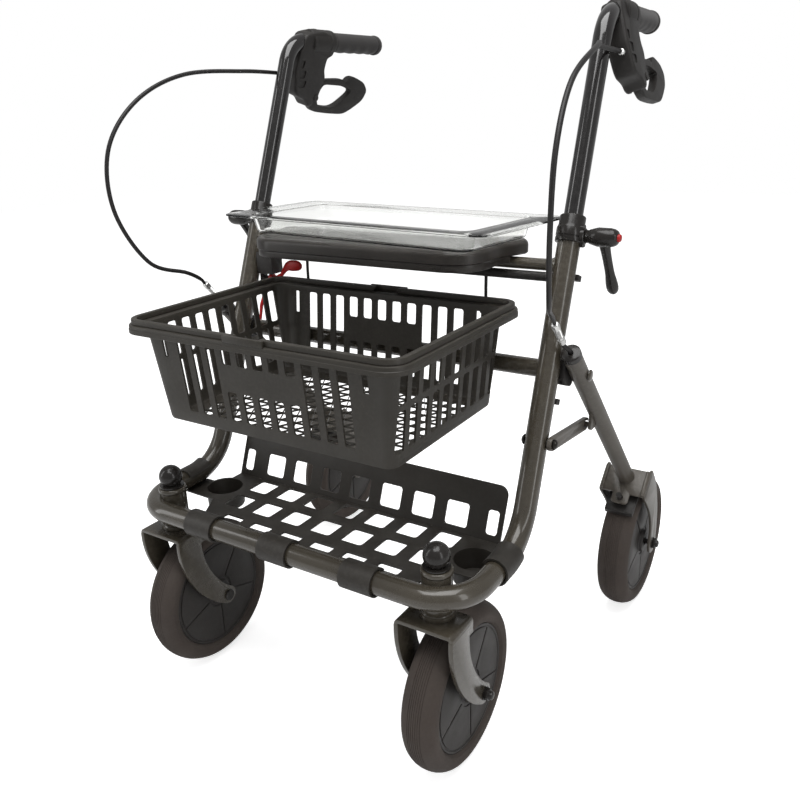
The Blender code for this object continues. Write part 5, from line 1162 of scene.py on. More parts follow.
def model_rear_leg():
    """Tube with its link tab and wheel fork, welded together."""
    place = along_matrix(LEG_TOP, LEG)
    length = (CROWN_POINT - LEG_TOP).length
    r, bore = LEG_RADIUS, LEG_BORE_RADIUS
    profile = [
        (bore, 0.012), (bore, 0.0004), (bore + 0.0006, 0.0), (r - 0.0008, 0.0), (r, 0.0008),
        (r, length - 0.004),
        (r + 0.0010, length - 0.0015), (r + 0.0024, length - 0.0002), (0.004, length),
    ]
    body = revolve(profile, place, 36)
    pivot = [LEG_PIVOT - Vector((0.03, 0, 0)), LEG_PIVOT + Vector((0.03, 0, 0))]
    parts = [cut(body, rod(*pivot, PIVOT_PIN_RADIUS + RUN_GAP, 24))]
    half, sheet, bend = REAR_FORK_WIDTH / 2, REAR_FORK_PLATE, 0.0055
    across = axes_matrix(CROWN_POINT, (1, 0, 0), -LEG_BACK)
    crown = [
        (-half + 0.002, REAR_CROWN_LOW), (-half + 0.002, -REAR_CROWN_HIGH),
        (half - 0.002, -REAR_CROWN_HIGH), (half - 0.002, REAR_CROWN_LOW), (0.012, REAR_CROWN_LOW),
    ]
    crown += arc((0.007, 0.037), 0.005, 0, 90, 6) + arc((-0.007, 0.037), 0.005, 90, 180, 6)
    crown.append((-0.012, REAR_CROWN_LOW))
    plate = eased(prism(crown, sheet, across), 0.0008)
    parts.append(cut(plate, rod(shoe_stem(-0.02), shoe_stem(0.01), SHOE_STEM_RADIUS + RUN_GAP, 20)))
    run = REAR_CROWN_LOW + REAR_CROWN_HIGH
    for side in (1, -1):
        plate = prism(rear_cheek(), sheet, side_view(CROWN_POINT.x + side * (half - sheet / 2)))
        hole = cross_rod(0.20, 0.33, REAR_Y, WHEEL_RADIUS, AXLE_RADIUS + GAP)
        parts.append(eased(cut(plate, hole), 0.0009))
    for side in (1, -1):
        edge = axes_matrix(CROWN_POINT, (side, 0, 0), LEG * -1.0)
        corner = [(half, -0.004)] + arc((half - bend, 0.0020 - bend + 0.0035), bend, 0, 90, 7)
        corner.append((half - bend - 0.003, -0.001))
        piece = prism(corner, run - 0.0016, edge, side * (REAR_CROWN_LOW - REAR_CROWN_HIGH) / 2)
        parts.append(eased(piece, 0.0005))
    pin = leg_plane(0.0).inverted() @ LINK_PIN
    tab = [(pin.x - 0.017, r - 0.003), (pin.x - 0.007, pin.y)]
    tab += arc((pin.x, pin.y), 0.007, 150, 30, 10) + [(pin.x + 0.017, r - 0.003)]
    parts.append(eased(prism(tab, TAB_THICKNESS, leg_plane(TAB_X)), 0.0006))
    head = LINK_X - GAP
    axis = side_view(0.0, LINK_PIN.y, LINK_PIN.z)
    stud = [
        (0.0008, head - 0.0030), (0.0040, head - 0.0027), (0.0052, head - 0.0016), (0.0052, head),
        (LINK_PIN_RADIUS, head), (LINK_PIN_RADIUS, TAB_X),
    ]
    parts.append(revolve(stud, axis, 28))
    return gathered(parts)


def model_leg_ring():
    """The dark bush pushed into the leg's open top, which the brake cable's sheath goes through."""
    r = LEG_RADIUS + 0.0006
    profile = [
        (CABLE_RADIUS + 0.0006, -0.0016), (r - 0.0022, -0.0016), (r, -0.0004), (r, 0.0064),
        (LEG_RADIUS, 0.0070), (LEG_RADIUS, 0.0), (LEG_BORE_RADIUS - 0.0001, 0.0),
        (LEG_BORE_RADIUS - 0.0001, 0.008), (CABLE_RADIUS + 0.0006, 0.008),
    ]
    return revolve(profile, along_matrix(LEG_TOP, LEG), 36, closed=True)


def model_adjuster():
    """A plain barrel, a fine thread and a lock nut."""
    low = ADJUSTER_LOW
    high = low - ADJUSTER_LENGTH
    r = ADJUSTER_RADIUS
    points, radii = [], []
    for along, radius in (
        (high, r - 0.0016), (high + 0.0006, r - 0.0006), (high + 0.0014, r), (high + 0.0085, r),
        (high + 0.0090, r - 0.0009),
    ):
        points.append(adjuster_point(along))
        radii.append(radius)
    for k in range(14):
        thread = high + 0.0098 + 0.0011 * k
        points += [adjuster_point(thread), adjuster_point(thread + 0.0005)]
        radii += [r - 0.0005, r - 0.0012]
    points += [
        adjuster_point(low - 0.0090), adjuster_point(low - 0.0085), adjuster_point(low - 0.0006),
        adjuster_point(low),
    ]
    radii += [r - 0.0008, r, r, r - 0.0008]
    return tube(points, radii, 20)


def model_adjuster_sheath():
    """The short length of sheath that bends from the barrel into the leg's open top."""
    low = ADJUSTER_LOW
    points = [
        adjuster_point(low - 0.001), adjuster_point(low + 0.006), LEG_TOP - LEG * 0.006,
        LEG_TOP + LEG * 0.004, LEG_TOP + LEG * 0.020,
    ]
    return tube(smooth_curve(points, 0.002), CABLE_RADIUS, 14)


def model_brake_shoe():
    """A block curved like the tyre, on a stem through the crown plate."""
    towards = shoe_stem(0.0155) - Vector((CROWN_POINT.x, REAR_Y, WHEEL_RADIUS))
    middle = math.degrees(math.atan2(towards.z, towards.y))
    inner, outer = WHEEL_RADIUS + SHOE_GAP, WHEEL_RADIUS + SHOE_GAP + SHOE_THICKNESS
    centre = (REAR_Y, WHEEL_RADIUS)
    outline = arc(
        centre, inner, middle - 10, middle + 10, 12,
    ) + arc(centre, outer, middle + 9, middle - 9, 12)
    pad = eased(prism(outline, SHOE_WIDTH, side_view(CROWN_POINT.x)), 0.0010)
    return gathered([pad, rod(shoe_stem(-0.012), shoe_stem(0.0120), SHOE_STEM_RADIUS, 20)])


def model_link():
    """A flat bar with a hole for the upright's bolt and a slot round the leg's pin."""
    start, end = Vector((BOLT.y, BOLT.z)), Vector((LINK_PIN.y, LINK_PIN.z))
    heading = (end - start).normalized()
    angle = math.degrees(math.atan2(heading.y, heading.x))
    half = LINK_WIDTH / 2
    outline = with_round_ends(start, end, half, angle, 16)
    bar = prism(outline, LINK_THICKNESS, side_view(LINK_X + LINK_THICKNESS / 2))
    hole = prism(
        circle(BOLT_RADIUS + RUN_GAP, 24), 0.02,
        side_view(LINK_X) @ Matrix.Translation((*start, 0)),
    )
    play = heading * LINK_PLAY
    slot = with_round_ends(end - play, end + play, LINK_SLOT_WIDTH / 2, angle, 12)
    return eased(cut(bar, hole, prism(slot, 0.02, side_view(LINK_X))), 0.0009)


# Handles and brakes


def handle_path(start_height, end, steps=16):
    corners = [upright_point(start_height), HANDLE_CORNER, brake_point(end, 0.0)]
    return rounded_path(corners, [HANDLE_BEND_RADIUS], steps)


def model_handle_tube():
    """The tube from inside the upright, round its bend, as far as the grip's end."""
    foot = COLLAR_FOOT + (COLLAR_LENGTH - HANDLE_INSERT) * SLIDE.z
    return tube(handle_path(foot, GRIP_END - 0.0042), HANDLE_RADIUS, 32)


def model_grip():
    """A grip with finger waves below, a flange at its front, fine ribs and a rounded end."""
    place = along_matrix(HANDLE_CORNER, GRIP)
    down = place.to_3x3().inverted() @ Vector((0.0, 0.0, -1.0))
    bore, radius = HANDLE_RADIUS + GAP, GRIP_RADIUS
    rings, sides = [], 40
    length = GRIP_END - GRIP_START

    def ring(along, size, wave=0.0):
        points = []
        for x, y in circle(1.0, sides):
            below = max(0.0, x * down.x + y * down.y)
            points.append(
                place @ Vector(
                    (x * (size + wave * below), y * (size + wave * below), GRIP_START + along)
                )
            )
        rings.append(points)

    flange = ((0.0, -0.0012), (0.0006, 0.0002), (0.0030, 0.0004), (0.0038, -0.0006))
    end = (
        (0.0130, 0.0002), (0.0100, 0.0006), (0.0060, 0.0), (0.0034, -0.0013), (0.0014, -0.0034),
        (0.0003, -0.0070), (0.0, -0.0120),
    )
    ring(0.010, bore)
    ring(0.0002, bore)
    for along, grow in flange:
        ring(along, radius + grow)
    steps = 56
    for k in range(steps + 1):
        along = 0.0046 + (length - 0.0186) * k / steps
        ridge = 0.00022 if k % 2 else -0.00012
        wave = -0.0009 * (0.5 - 0.5 * math.cos(math.tau * along / 0.024))
        ring(along, radius - 0.0004 + ridge, wave)
    for rest, grow in end:
        ring(length - rest, radius + grow)
    return loft(rings)


def model_clamp_lever():
    """A tapering hub and an arm with a waist and a rounded bulb."""
    face = CLAMP_FACE_X + GAP
    neck, radius, far = CLAMP_HUB_RADIUS - 0.0035, CLAMP_HUB_RADIUS, face + CLAMP_HUB_LENGTH
    profile = [
        (neck - 0.0005, face), (neck, face + 0.0006), (neck, face + 0.0035),
        (neck + 0.0010, face + 0.0050), (radius - 0.0004, face + 0.0125), (radius, face + 0.0145),
        (radius - 0.0002, far - 0.0085), (radius - 0.0011, far - 0.0040),
        (radius - 0.0028, far - 0.0010), (radius - 0.0040, far),
    ]
    place = side_view(*CLAMP)
    hub = revolve(profile, place, 36)
    heading = Vector((0.0, math.cos(CLAMP_ARM_SLOPE), -math.sin(CLAMP_ARM_SLOPE)))
    start = Vector((face + 0.020, CLAMP.y, CLAMP.z))
    shape = (
        (0.002, 6.5, 6.0), (0.014, 6.2, 5.4), (0.024, 5.7, 4.7), (0.036, 5.5, 4.4),
        (0.050, 5.5, 4.4), (0.058, 5.8, 4.7), (0.065, 6.6, 5.4), (0.071, 7.2, 5.9),
        (0.077, 7.4, 6.2), (0.082, 6.8, 5.7), (0.0855, 5.2, 4.4), (0.0878, 3.0, 2.6),
        (CLAMP_ARM_REACH, 0.7, 0.6),
    )
    path, sections = [], []
    for along, wide, thick in shape:
        path.append(start + heading * along)
        sections.append([(a * wide / 1000, b * thick / 1000) for a, b in circle(1.0, 24)])
    arm = sweep(path, sections)
    stud = revolve(
        [
            (CLAMP_STUD_RADIUS + RUN_GAP, face - 0.01),
            (CLAMP_STUD_RADIUS + RUN_GAP, face + CLAMP_STUD_LENGTH + GAP),
        ],
        place, 24,
    )
    well = revolve(
        [(BUTTON_RADIUS + RUN_GAP, far - BUTTON_WELL), (BUTTON_RADIUS + RUN_GAP, far + 0.01)],
        place, 28,
    )
    return cut(union(hub, arm), stud, well)


def model_clamp_button():
    far = CLAMP_FACE_X + GAP + CLAMP_HUB_LENGTH
    start, r = far - BUTTON_WELL + BUTTON_TRAVEL + GAP, BUTTON_RADIUS
    profile = [
        (0.001, start), (r, start), (r, far + 0.0020), (r - 0.0003, far + 0.0028),
        (r - 0.0012, far + 0.0034), (0.0008, far + 0.0035),
    ]
    return revolve(profile, side_view(*CLAMP), 28)


def fitting_point(along):
    """A place on the cable fitting's axis: along is measured out of the housing's front face."""
    face = brake_point(0.0095, 0.0480, -0.0040)
    return face + Vector((-0.07, -0.99, 0.11)).normalized() * along


def model_brake_housing():
    """The moulded block and its sleeve, with the lever's slot, pockets and the pivot's heads."""
    body = crowned(rounded_outline(HOUSING, 3, 0.32), HOUSING_THICKNESS, 0.0042, BRAKE, 4)
    start, end, r = HOUSING_SLEEVE_START, HOUSING_SLEEVE_END, HOUSING_SLEEVE_RADIUS
    profile = [
        (r - 0.0022, start), (r - 0.0006, start + 0.0008), (r, start + 0.0030), (r, end - 0.0150),
        (r - 0.0006, end - 0.0142), (r - 0.0006, end - 0.0118), (r, end - 0.0110),
        (r, end - 0.0036), (r - 0.0006, end - 0.0010), (r - 0.0020, end),
    ]
    sleeve = revolve(profile, along_matrix(HANDLE_CORNER, GRIP), 40)
    shell = union(body, sleeve)
    half = LEVER_THICKNESS / 2 + JOINT_GAP
    mouth = prism(
        [(0.0465, 0.044), (0.098, 0.044), (0.098, 0.110), (0.0465, 0.110)], 2 * half, BRAKE,
    )
    bore = tube(handle_path(GRIP_AXIS_HEIGHT - 0.0695, GRIP_END), HANDLE_RADIUS + GAP, 32)
    socket = rod(fitting_point(-FITTING_SEAT - GAP), fitting_point(0.02), FITTING_RADIUS + GAP, 24)
    cutters = [bore, mouth, socket]
    for side in (1, -1):
        for low, high, near, far in ((24, 36, 15, 25), (38, 50, 14, 30), (52, 63, 14, 33)):
            field = [(near, low), (far, low + 1), (far - 3, high), (near - 1, high - 1)]
            face = side * HOUSING_THICKNESS / 2
            cutters.append(prism(rounded_outline(field, 3, 0.2), 0.0030, BRAKE, face))
    hollow = cut(shell, *cutters)
    pivot = (LEVER_PIVOT_S, LEVER_PIVOT_H)
    parts = [
        eased(hollow, 0.0006, 1, 40.0),
        rod(brake_point(*pivot, -0.011), brake_point(*pivot, 0.011), LEVER_PIN_RADIUS, 24),
    ]
    for side in (1, -1):
        seat = BRAKE @ Matrix.Translation((*pivot, side * HOUSING_THICKNESS / 2))
        head = [
            (0.0050, -side * 0.0010), (0.0050, side * 0.0006), (0.0044, side * 0.0012),
            (0.0008, side * 0.0014),
        ]
        parts.append(revolve(head, seat, 28))
    return gathered(parts)


def model_brake_lever():
    """A loop-shaped lever with rounded rims."""
    body = crowned(rounded_outline(LEVER_OUTER, 4, 0.36), LEVER_THICKNESS, 0.0024, BRAKE, 4)
    opening = prism(rounded_outline(LEVER_INNER, 4, 0.34), 0.04, BRAKE)
    hole = prism(
        circle(LEVER_PIN_RADIUS + RUN_GAP, 24), 0.04,
        BRAKE @ Matrix.Translation((LEVER_PIVOT_S, LEVER_PIVOT_H, 0)),
    )
    return eased(cut(body, opening, hole), 0.0012, 3, 50.0)


def model_fitting():
    """The cable's bright end fitting: a collar, a waist and a threaded neck."""
    start = fitting_point(-FITTING_SEAT)
    r, seat = FITTING_RADIUS, FITTING_SEAT
    profile = [(0.001, 0.0), (r, 0.0), (r, seat + 0.0040), (r - 0.0004, seat + 0.0046)]
    for k in range(4):
        step = seat + 0.0048 + 0.0010 * k
        profile += [(r - 0.0007, step), (r - 0.0012, step + 0.0005)]
    profile += [(r - 0.0008, seat + FITTING_LENGTH - 0.0003), (0.001, seat + FITTING_LENGTH)]
    return revolve(profile, along_matrix(start, fitting_point(0.01) - start), 28)


def cable_route():
    """Centre line of the right-hand cable, from the housing's fitting to the adjuster's top."""
    start = fitting_point(FITTING_LENGTH + GAP)
    up = -LEG_DOWN
    end = adjuster_point(ADJUSTER_LOW - ADJUSTER_LENGTH) + up * 2 * GAP
    bends = (
        (0.08, (0.0035, -0.0654, 0.0239)), (0.20, (0.0312, -0.1280, 0.0527)),
        (0.35, (0.0356, -0.1793, 0.0620)),
        (0.50, (0.0402, -0.1982, 0.0467)), (0.65, (0.0379, -0.1743, 0.0132)),
        (0.85, (0.0237, -0.1019, -0.0012)),
    )
    route = [start] + [start.lerp(end, share) + Vector(off) for share, off in bends]
    route.append(end + up * 0.026 + Vector((0.0045, -0.0090, 0.0)))
    return route + [end + up * 0.010 + Vector((0.0006, 0.0, 0.0)), end]


def model_cable():
    """The sheath, a little thinner where it meets the adjuster."""
    path = smooth_curve(cable_route(), 0.006)
    lengths = lengths_along(path)
    ends_at = lengths[-1] - CABLE_NECK_LENGTH
    radii = [CABLE_RADIUS if along < ends_at else CABLE_NECK_RADIUS for along in lengths]
    return tube(path, radii, 16)


# Seat and tray


def seat_outline(inset, steps=14):
    front, side, lobe = SEAT_FRONT_Y + inset, SEAT_HALF_WIDTH - inset, SEAT_LOBE_HALF_WIDTH - inset
    rear = SEAT_REAR_Y - inset
    corner, round_off = SEAT_CORNER_RADIUS - inset, SEAT_LOBE_RADIUS - inset
    right = arc((side - corner, front + corner), corner, 270, 360, steps)
    ease = [
        (side, SEAT_REAR_Y - 0.070), (side + 0.001, SEAT_REAR_Y - 0.061),
        (side + 0.0032, SEAT_REAR_Y - 0.0535),
    ]
    right += ease + [(side + 0.006, SEAT_REAR_Y - 0.048)]
    right += arc((lobe - round_off, rear - round_off), round_off, 0, 90, steps)
    right += [
        (0.140, rear), (0.136, rear - 0.0012), (0.130, rear - 0.0058), (0.126, rear - 0.007),
        (0.020, rear - 0.007),
    ]
    return mirrored(right)


def model_seat(edge):
    """A slab with a rolled edge, a dished field, a skirt, ribs and hooks over the seat bar."""
    under = SEAT_TOP - SEAT_THICKNESS
    rings = []
    levels = [
        (under, 0.003), (under + 0.0006, 0.0012), (under + 0.002, 0.0), (SEAT_TOP - edge, 0.0),
    ]
    for k in range(1, 7):
        turn = math.radians(90.0 * k / 6)
        levels.append((SEAT_TOP - edge + edge * math.sin(turn), edge * (1 - math.cos(turn))))
    levels += [(SEAT_TOP, edge + 0.006), (SEAT_TOP - 0.0008, edge + 0.0075)]
    for height, inset in levels:
        rings.append([Vector((x, y, height)) for x, y in seat_outline(inset)])
    slab = loft(rings)
    flat = Matrix.Identity(4)
    depth = SEAT_SKIRT + 0.002
    middle = under - SEAT_SKIRT + depth / 2
    band, inside = prism(seat_outline(0.0015), depth, flat, middle), prism(
        seat_outline(0.0050), depth * 2, flat, middle,
    )
    bar_y = upright_point(SEAT_BAR_Z).y
    clear = SEAT_BAR_RADIUS + SEAT_HOOK_WALL + 0.001
    behind = block((-0.3, bar_y - clear, under - 0.05), (0.3, 0.1, under + 0.05))
    parts = [slab, eased(cut(band, inside, behind), 0.0008)]
    inner, outer = SEAT_BAR_RADIUS + RUN_GAP, SEAT_BAR_RADIUS + SEAT_HOOK_WALL
    for x in SEAT_HOOKS:
        outline = arc(
            (bar_y, SEAT_BAR_Z), outer, 10, 200, 16,
        ) + arc((bar_y, SEAT_BAR_Z), inner, 200, 10, 16)
        parts.append(eased(prism(outline, SEAT_HOOK_WIDTH, side_view(x)), 0.0006))
    for x in (-0.112, 0.0, 0.112):
        low = (x - 0.0015, SEAT_FRONT_Y + 0.003, under - 0.006)
        parts.append(block(low, (x + 0.0015, bar_y - clear, under + 0.001)))
    channel = cross_rod(-0.3, 0.3, bar_y, SEAT_BAR_Z, inner, 32)
    parts[0] = cut(parts[0], channel)
    return gathered(parts)


def model_tray():
    """A clear sheet drawn into a shallow dish with a flat rim, lying on the seat a little turned."""
    floor, sheet, top = SEAT_TOP + GAP, TRAY_SHEET, TRAY_RIM_TOP
    dish, rim = (DISH_HALF_WIDTH, DISH_HALF_DEPTH), (TRAY_HALF_WIDTH, TRAY_HALF_DEPTH)
    corner = TRAY_CORNER_RADIUS
    rings = []
    for (wide, deep), grow, radius, height in (
        (dish, -0.0090, 0.008, floor),
        (dish, -0.0060, 0.010, floor + 0.0002),
        (dish, -0.0038, 0.012, floor + 0.0012),
        (dish, -0.0025, 0.014, floor + 0.0032),
        (dish, 0.0018, 0.016, top - sheet - 0.0016),
        (dish, 0.0026, 0.0165, top - sheet - 0.0005),
        (dish, 0.0040, 0.017, top - sheet),
        (rim, -0.0012, corner, top - sheet),
        (rim, -0.0003, corner, top - sheet + 0.0004),
        (rim, 0.0, corner, top - 0.0012),
        (rim, -0.0003, corner, top - 0.0004),
        (rim, -0.0012, corner, top),
        (dish, 0.0036 - sheet, 0.0160, top),
        (dish, 0.0020 - sheet, 0.0150, top - 0.0006),
        (dish, 0.0012 - sheet, 0.0145, top - 0.0024),
        (dish, -0.0025 - sheet, 0.012, floor + 0.0052),
        (dish, -0.0036 - sheet, 0.011, floor + sheet + 0.0010),
        (dish, -0.0056 - sheet, 0.0095, floor + sheet + 0.0002),
        (dish, -0.0085 - sheet, 0.008, floor + sheet),
    ):
        outline = rounded_rectangle(wide + grow, deep + grow, radius, 10)
        rings.append([Vector((a, b, height)) for a, b in outline])
    place = Matrix.Translation((0.0, TRAY_CENTRE_Y, 0.0)) @ Matrix.Rotation(TRAY_YAW, 4, "Z")
    return moved(loft(rings), place)


# Basket


def model_basket(slot_width):
    """Tapering walls with a rolled rim, slots with rounded corners, and a lattice floor."""
    centre, sheet = (RIM_FRONT_Y + RIM_REAR_Y) / 2, BASKET_WALL
    rim_x, rim_y = RIM_HALF_WIDTH, (RIM_REAR_Y - RIM_FRONT_Y) / 2
    wall_x, wall_y = rim_x - RIM_OVERHANG, rim_y - RIM_OVERHANG
    foot_x, foot_y = wall_x - BASKET_TAPER, wall_y - BASKET_TAPER
    rim, wall, base = (rim_x, rim_y), (wall_x, wall_y), (foot_x, foot_y)
    top, foot, corner = RIM_TOP, BASKET_FLOOR, RIM_CORNER_RADIUS
    rings = []
    for (half_x, half_y), grow, radius, height in (
        (base, -0.004, 0.011, foot),
        (base, -0.0012, 0.013, foot + 0.0012),
        (base, 0.0, 0.014, foot + 0.004),
        (wall, -0.0003, 0.016, top - sheet - 0.003),
        (wall, 0.0010, 0.0165, top - sheet - 0.0006),
        (wall, 0.0025, 0.017, top - sheet),
        (rim, -sheet, corner - sheet, top - sheet),
        (rim, -sheet, corner - sheet, top - RIM_LIP),
        (rim, -0.0004, corner - 0.0004, top - RIM_LIP),
        (rim, 0.0, corner, top - RIM_LIP + 0.0005),
        (rim, 0.0, corner, top - 0.0052),
        (rim, -0.0006, corner - 0.0006, top - 0.0046),
        (rim, -0.0006, corner - 0.0006, top - 0.0018),
        (rim, -0.0012, corner - 0.0012, top - 0.0006),
        (rim, -0.0024, corner - 0.0024, top),
        (wall, 0.0006, 0.0165, top),
        (wall, -sheet + 0.0009, 0.015, top - 0.0010),
        (wall, -sheet, 0.014, top - 0.003),
        (base, -sheet, 0.012, foot + 0.005),
        (base, -sheet - 0.0012, 0.011, foot + sheet + 0.0008),
        (base, -sheet - 0.003, 0.010, foot + sheet),
    ):
        outline = rounded_rectangle(half_x + grow, half_y + grow, radius, 10, (0.0, centre))
        rings.append([Vector((x, y, height)) for x, y in outline])
    shell = loft(rings)
    holes, half = [], slot_width / 2
    across = axes_matrix((0.0, centre, 0.0), (1, 0, 0), (0, 0, 1))
    for x, spans in front_slots():
        for low, high in spans:
            width = half if abs(x) < HANGER_X - 0.008 else END_SLOT_HALF_WIDTH
            outline = [(x + a, b) for a, b in slot_outline(low, high, width)]
            holes.append(prism(outline, 2 * wall_y + 0.006, across, 0.0))
    along = side_view(0.0)
    for k in range(SIDE_SLOTS):
        y = centre + (k - (SIDE_SLOTS - 1) / 2) * SLOT_PITCH
        for low, high in ((SLOT_FOOT, SIDE_RIB - 0.003), (SIDE_RIB + 0.003, SLOT_TOP)):
            outline = [(y + a, b) for a, b in slot_outline(low, high, half)]
            holes.append(prism(outline, 2 * wall_x + 0.006, along, 0.0))
    shell = cut(shell, gathered(holes))
    shell = cut(shell, gathered(lattice_holes(foot_x - 0.016, foot_y - 0.016, centre, foot)))
    parts = [shell]
    axis = HANDLE_AXIS_Z
    for edge, way in ((RIM_FRONT_Y, 1), (RIM_REAR_Y, -1)):
        ends = sorted((edge, edge + way * 0.0040))
        parts.append(
            eased(block((-0.028, ends[0], top - 0.001), (0.028, ends[1], top + 0.0070)), 0.0010)
        )
        for side in (1, -1):
            start = (side * HANDLE_AXIS_X, edge + way * 0.002, axis)
            stop = (side * HANDLE_AXIS_X, edge + way * 0.0120, axis)
            parts.append(rod(start, stop, HANDLE_PIN_RADIUS, 16))
    return gathered(parts)


def front_slots():
    """Slots of the front and rear walls: each x with its spans of height."""
    slots = []
    for k in range(-5, 6):
        spans = (
            (SLOT_UPPER_END, SLOT_TOP), (SLOT_FOOT, SLOT_LOWER_START),
        ) if abs(k) <= 2 else ((SLOT_FOOT, SLOT_TOP),)
        slots.append((k * SLOT_PITCH, spans))
    return slots + [(x, ((SLOT_UPPER_END - 0.003, SLOT_TOP),)) for x in (-END_SLOT_X, END_SLOT_X)]


def lattice_holes(half_x, half_y, centre, foot):
    """Rows of small triangles, point up and point down, that leave a zigzag lattice."""
    pitch, row = 0.0225, 0.0182
    web = 0.0013
    holes = []
    rows = int(2 * half_y / row)
    start = centre - rows * row / 2
    for j in range(rows):
        y0, y1 = start + j * row + web / 2, start + (j + 1) * row - web / 2
        count = int(2 * half_x / pitch)
        for i in range(2 * count - 1):
            x = (i - (2 * count - 2) / 2) * pitch / 2
            narrow, wide = 0.0008, pitch / 2 - web * 1.15
            up = (i + j) % 2 == 0
            low, high = (wide, narrow) if up else (narrow, wide)
            outline = [(x - low, y0), (x + low, y0), (x + high, y1), (x - high, y1)]
            holes.append(prism(outline, 0.03, Matrix.Identity(4), foot))
    return holes


def model_basket_handle():
    """The right-hand carry loop, folded down on the rim."""
    inset = 0.0043 + HANDLE_BAND / 2
    run_x, height = RIM_HALF_WIDTH - inset, HANDLE_AXIS_Z
    front, rear = RIM_FRONT_Y + inset, RIM_REAR_Y - inset
    eye, start = HANDLE_BAND_HEIGHT / 2 - 0.0002, HANDLE_AXIS_X + 0.0010
    corners = [
        (start, front, height), (run_x, front, height), (run_x, rear, height),
        (start, rear, height),
    ]
    path = rounded_path(corners, [0.019, 0.019], 12)
    a, b, e = HANDLE_BAND / 2, HANDLE_BAND_HEIGHT / 2, 0.0014
    section = [
        (-a + 0.0004, -b), (a - 0.0004, -b), (a, -b + 0.0004), (a, b - e),
        (a - 0.3 * e, b - 0.3 * e), (a - e, b), (-a + e, b), (-a + 0.3 * e, b - 0.3 * e),
        (-a, b - e), (-a, -b + 0.0004),
    ]
    band = sweep(path, section)
    parts, holes = [band], []
    for y in (front, rear):
        hinge, reach, through = Vector(
            (HANDLE_AXIS_X, y, height)
        ), Vector((0, a + GAP, 0)), Vector((0, 0.01, 0))
        parts.append(rod(hinge - reach, hinge + reach, eye, 24))
        holes.append(rod(hinge - through, hinge + through, HANDLE_PIN_RADIUS + RUN_GAP, 16))
    return cut(union(*parts), *holes)


# Shelf net


def clip_section(start, stop):
    inner = TUBE_RADIUS + 4 * GAP
    outer = inner + CLIP_WALL
    lip = 0.0006
    section = arc((0, 0), outer, start + 2, stop - 2, 18)
    section += arc((0, 0), outer - lip, stop - 0.5, stop, 1) + arc(
        (0, 0), inner + lip / 2, stop, stop - 0.5, 1,
    )
    return section + arc(
        (0, 0), inner, stop - 2, start + 2, 18,
    ) + arc((0, 0), inner + lip, start, start, 1)[:1]


def rounded_hole(x, y, half_x, half_y, radius=0.004):
    return [(x + a, y + b) for a, b in rounded_rectangle(half_x, half_y, radius, 4)]


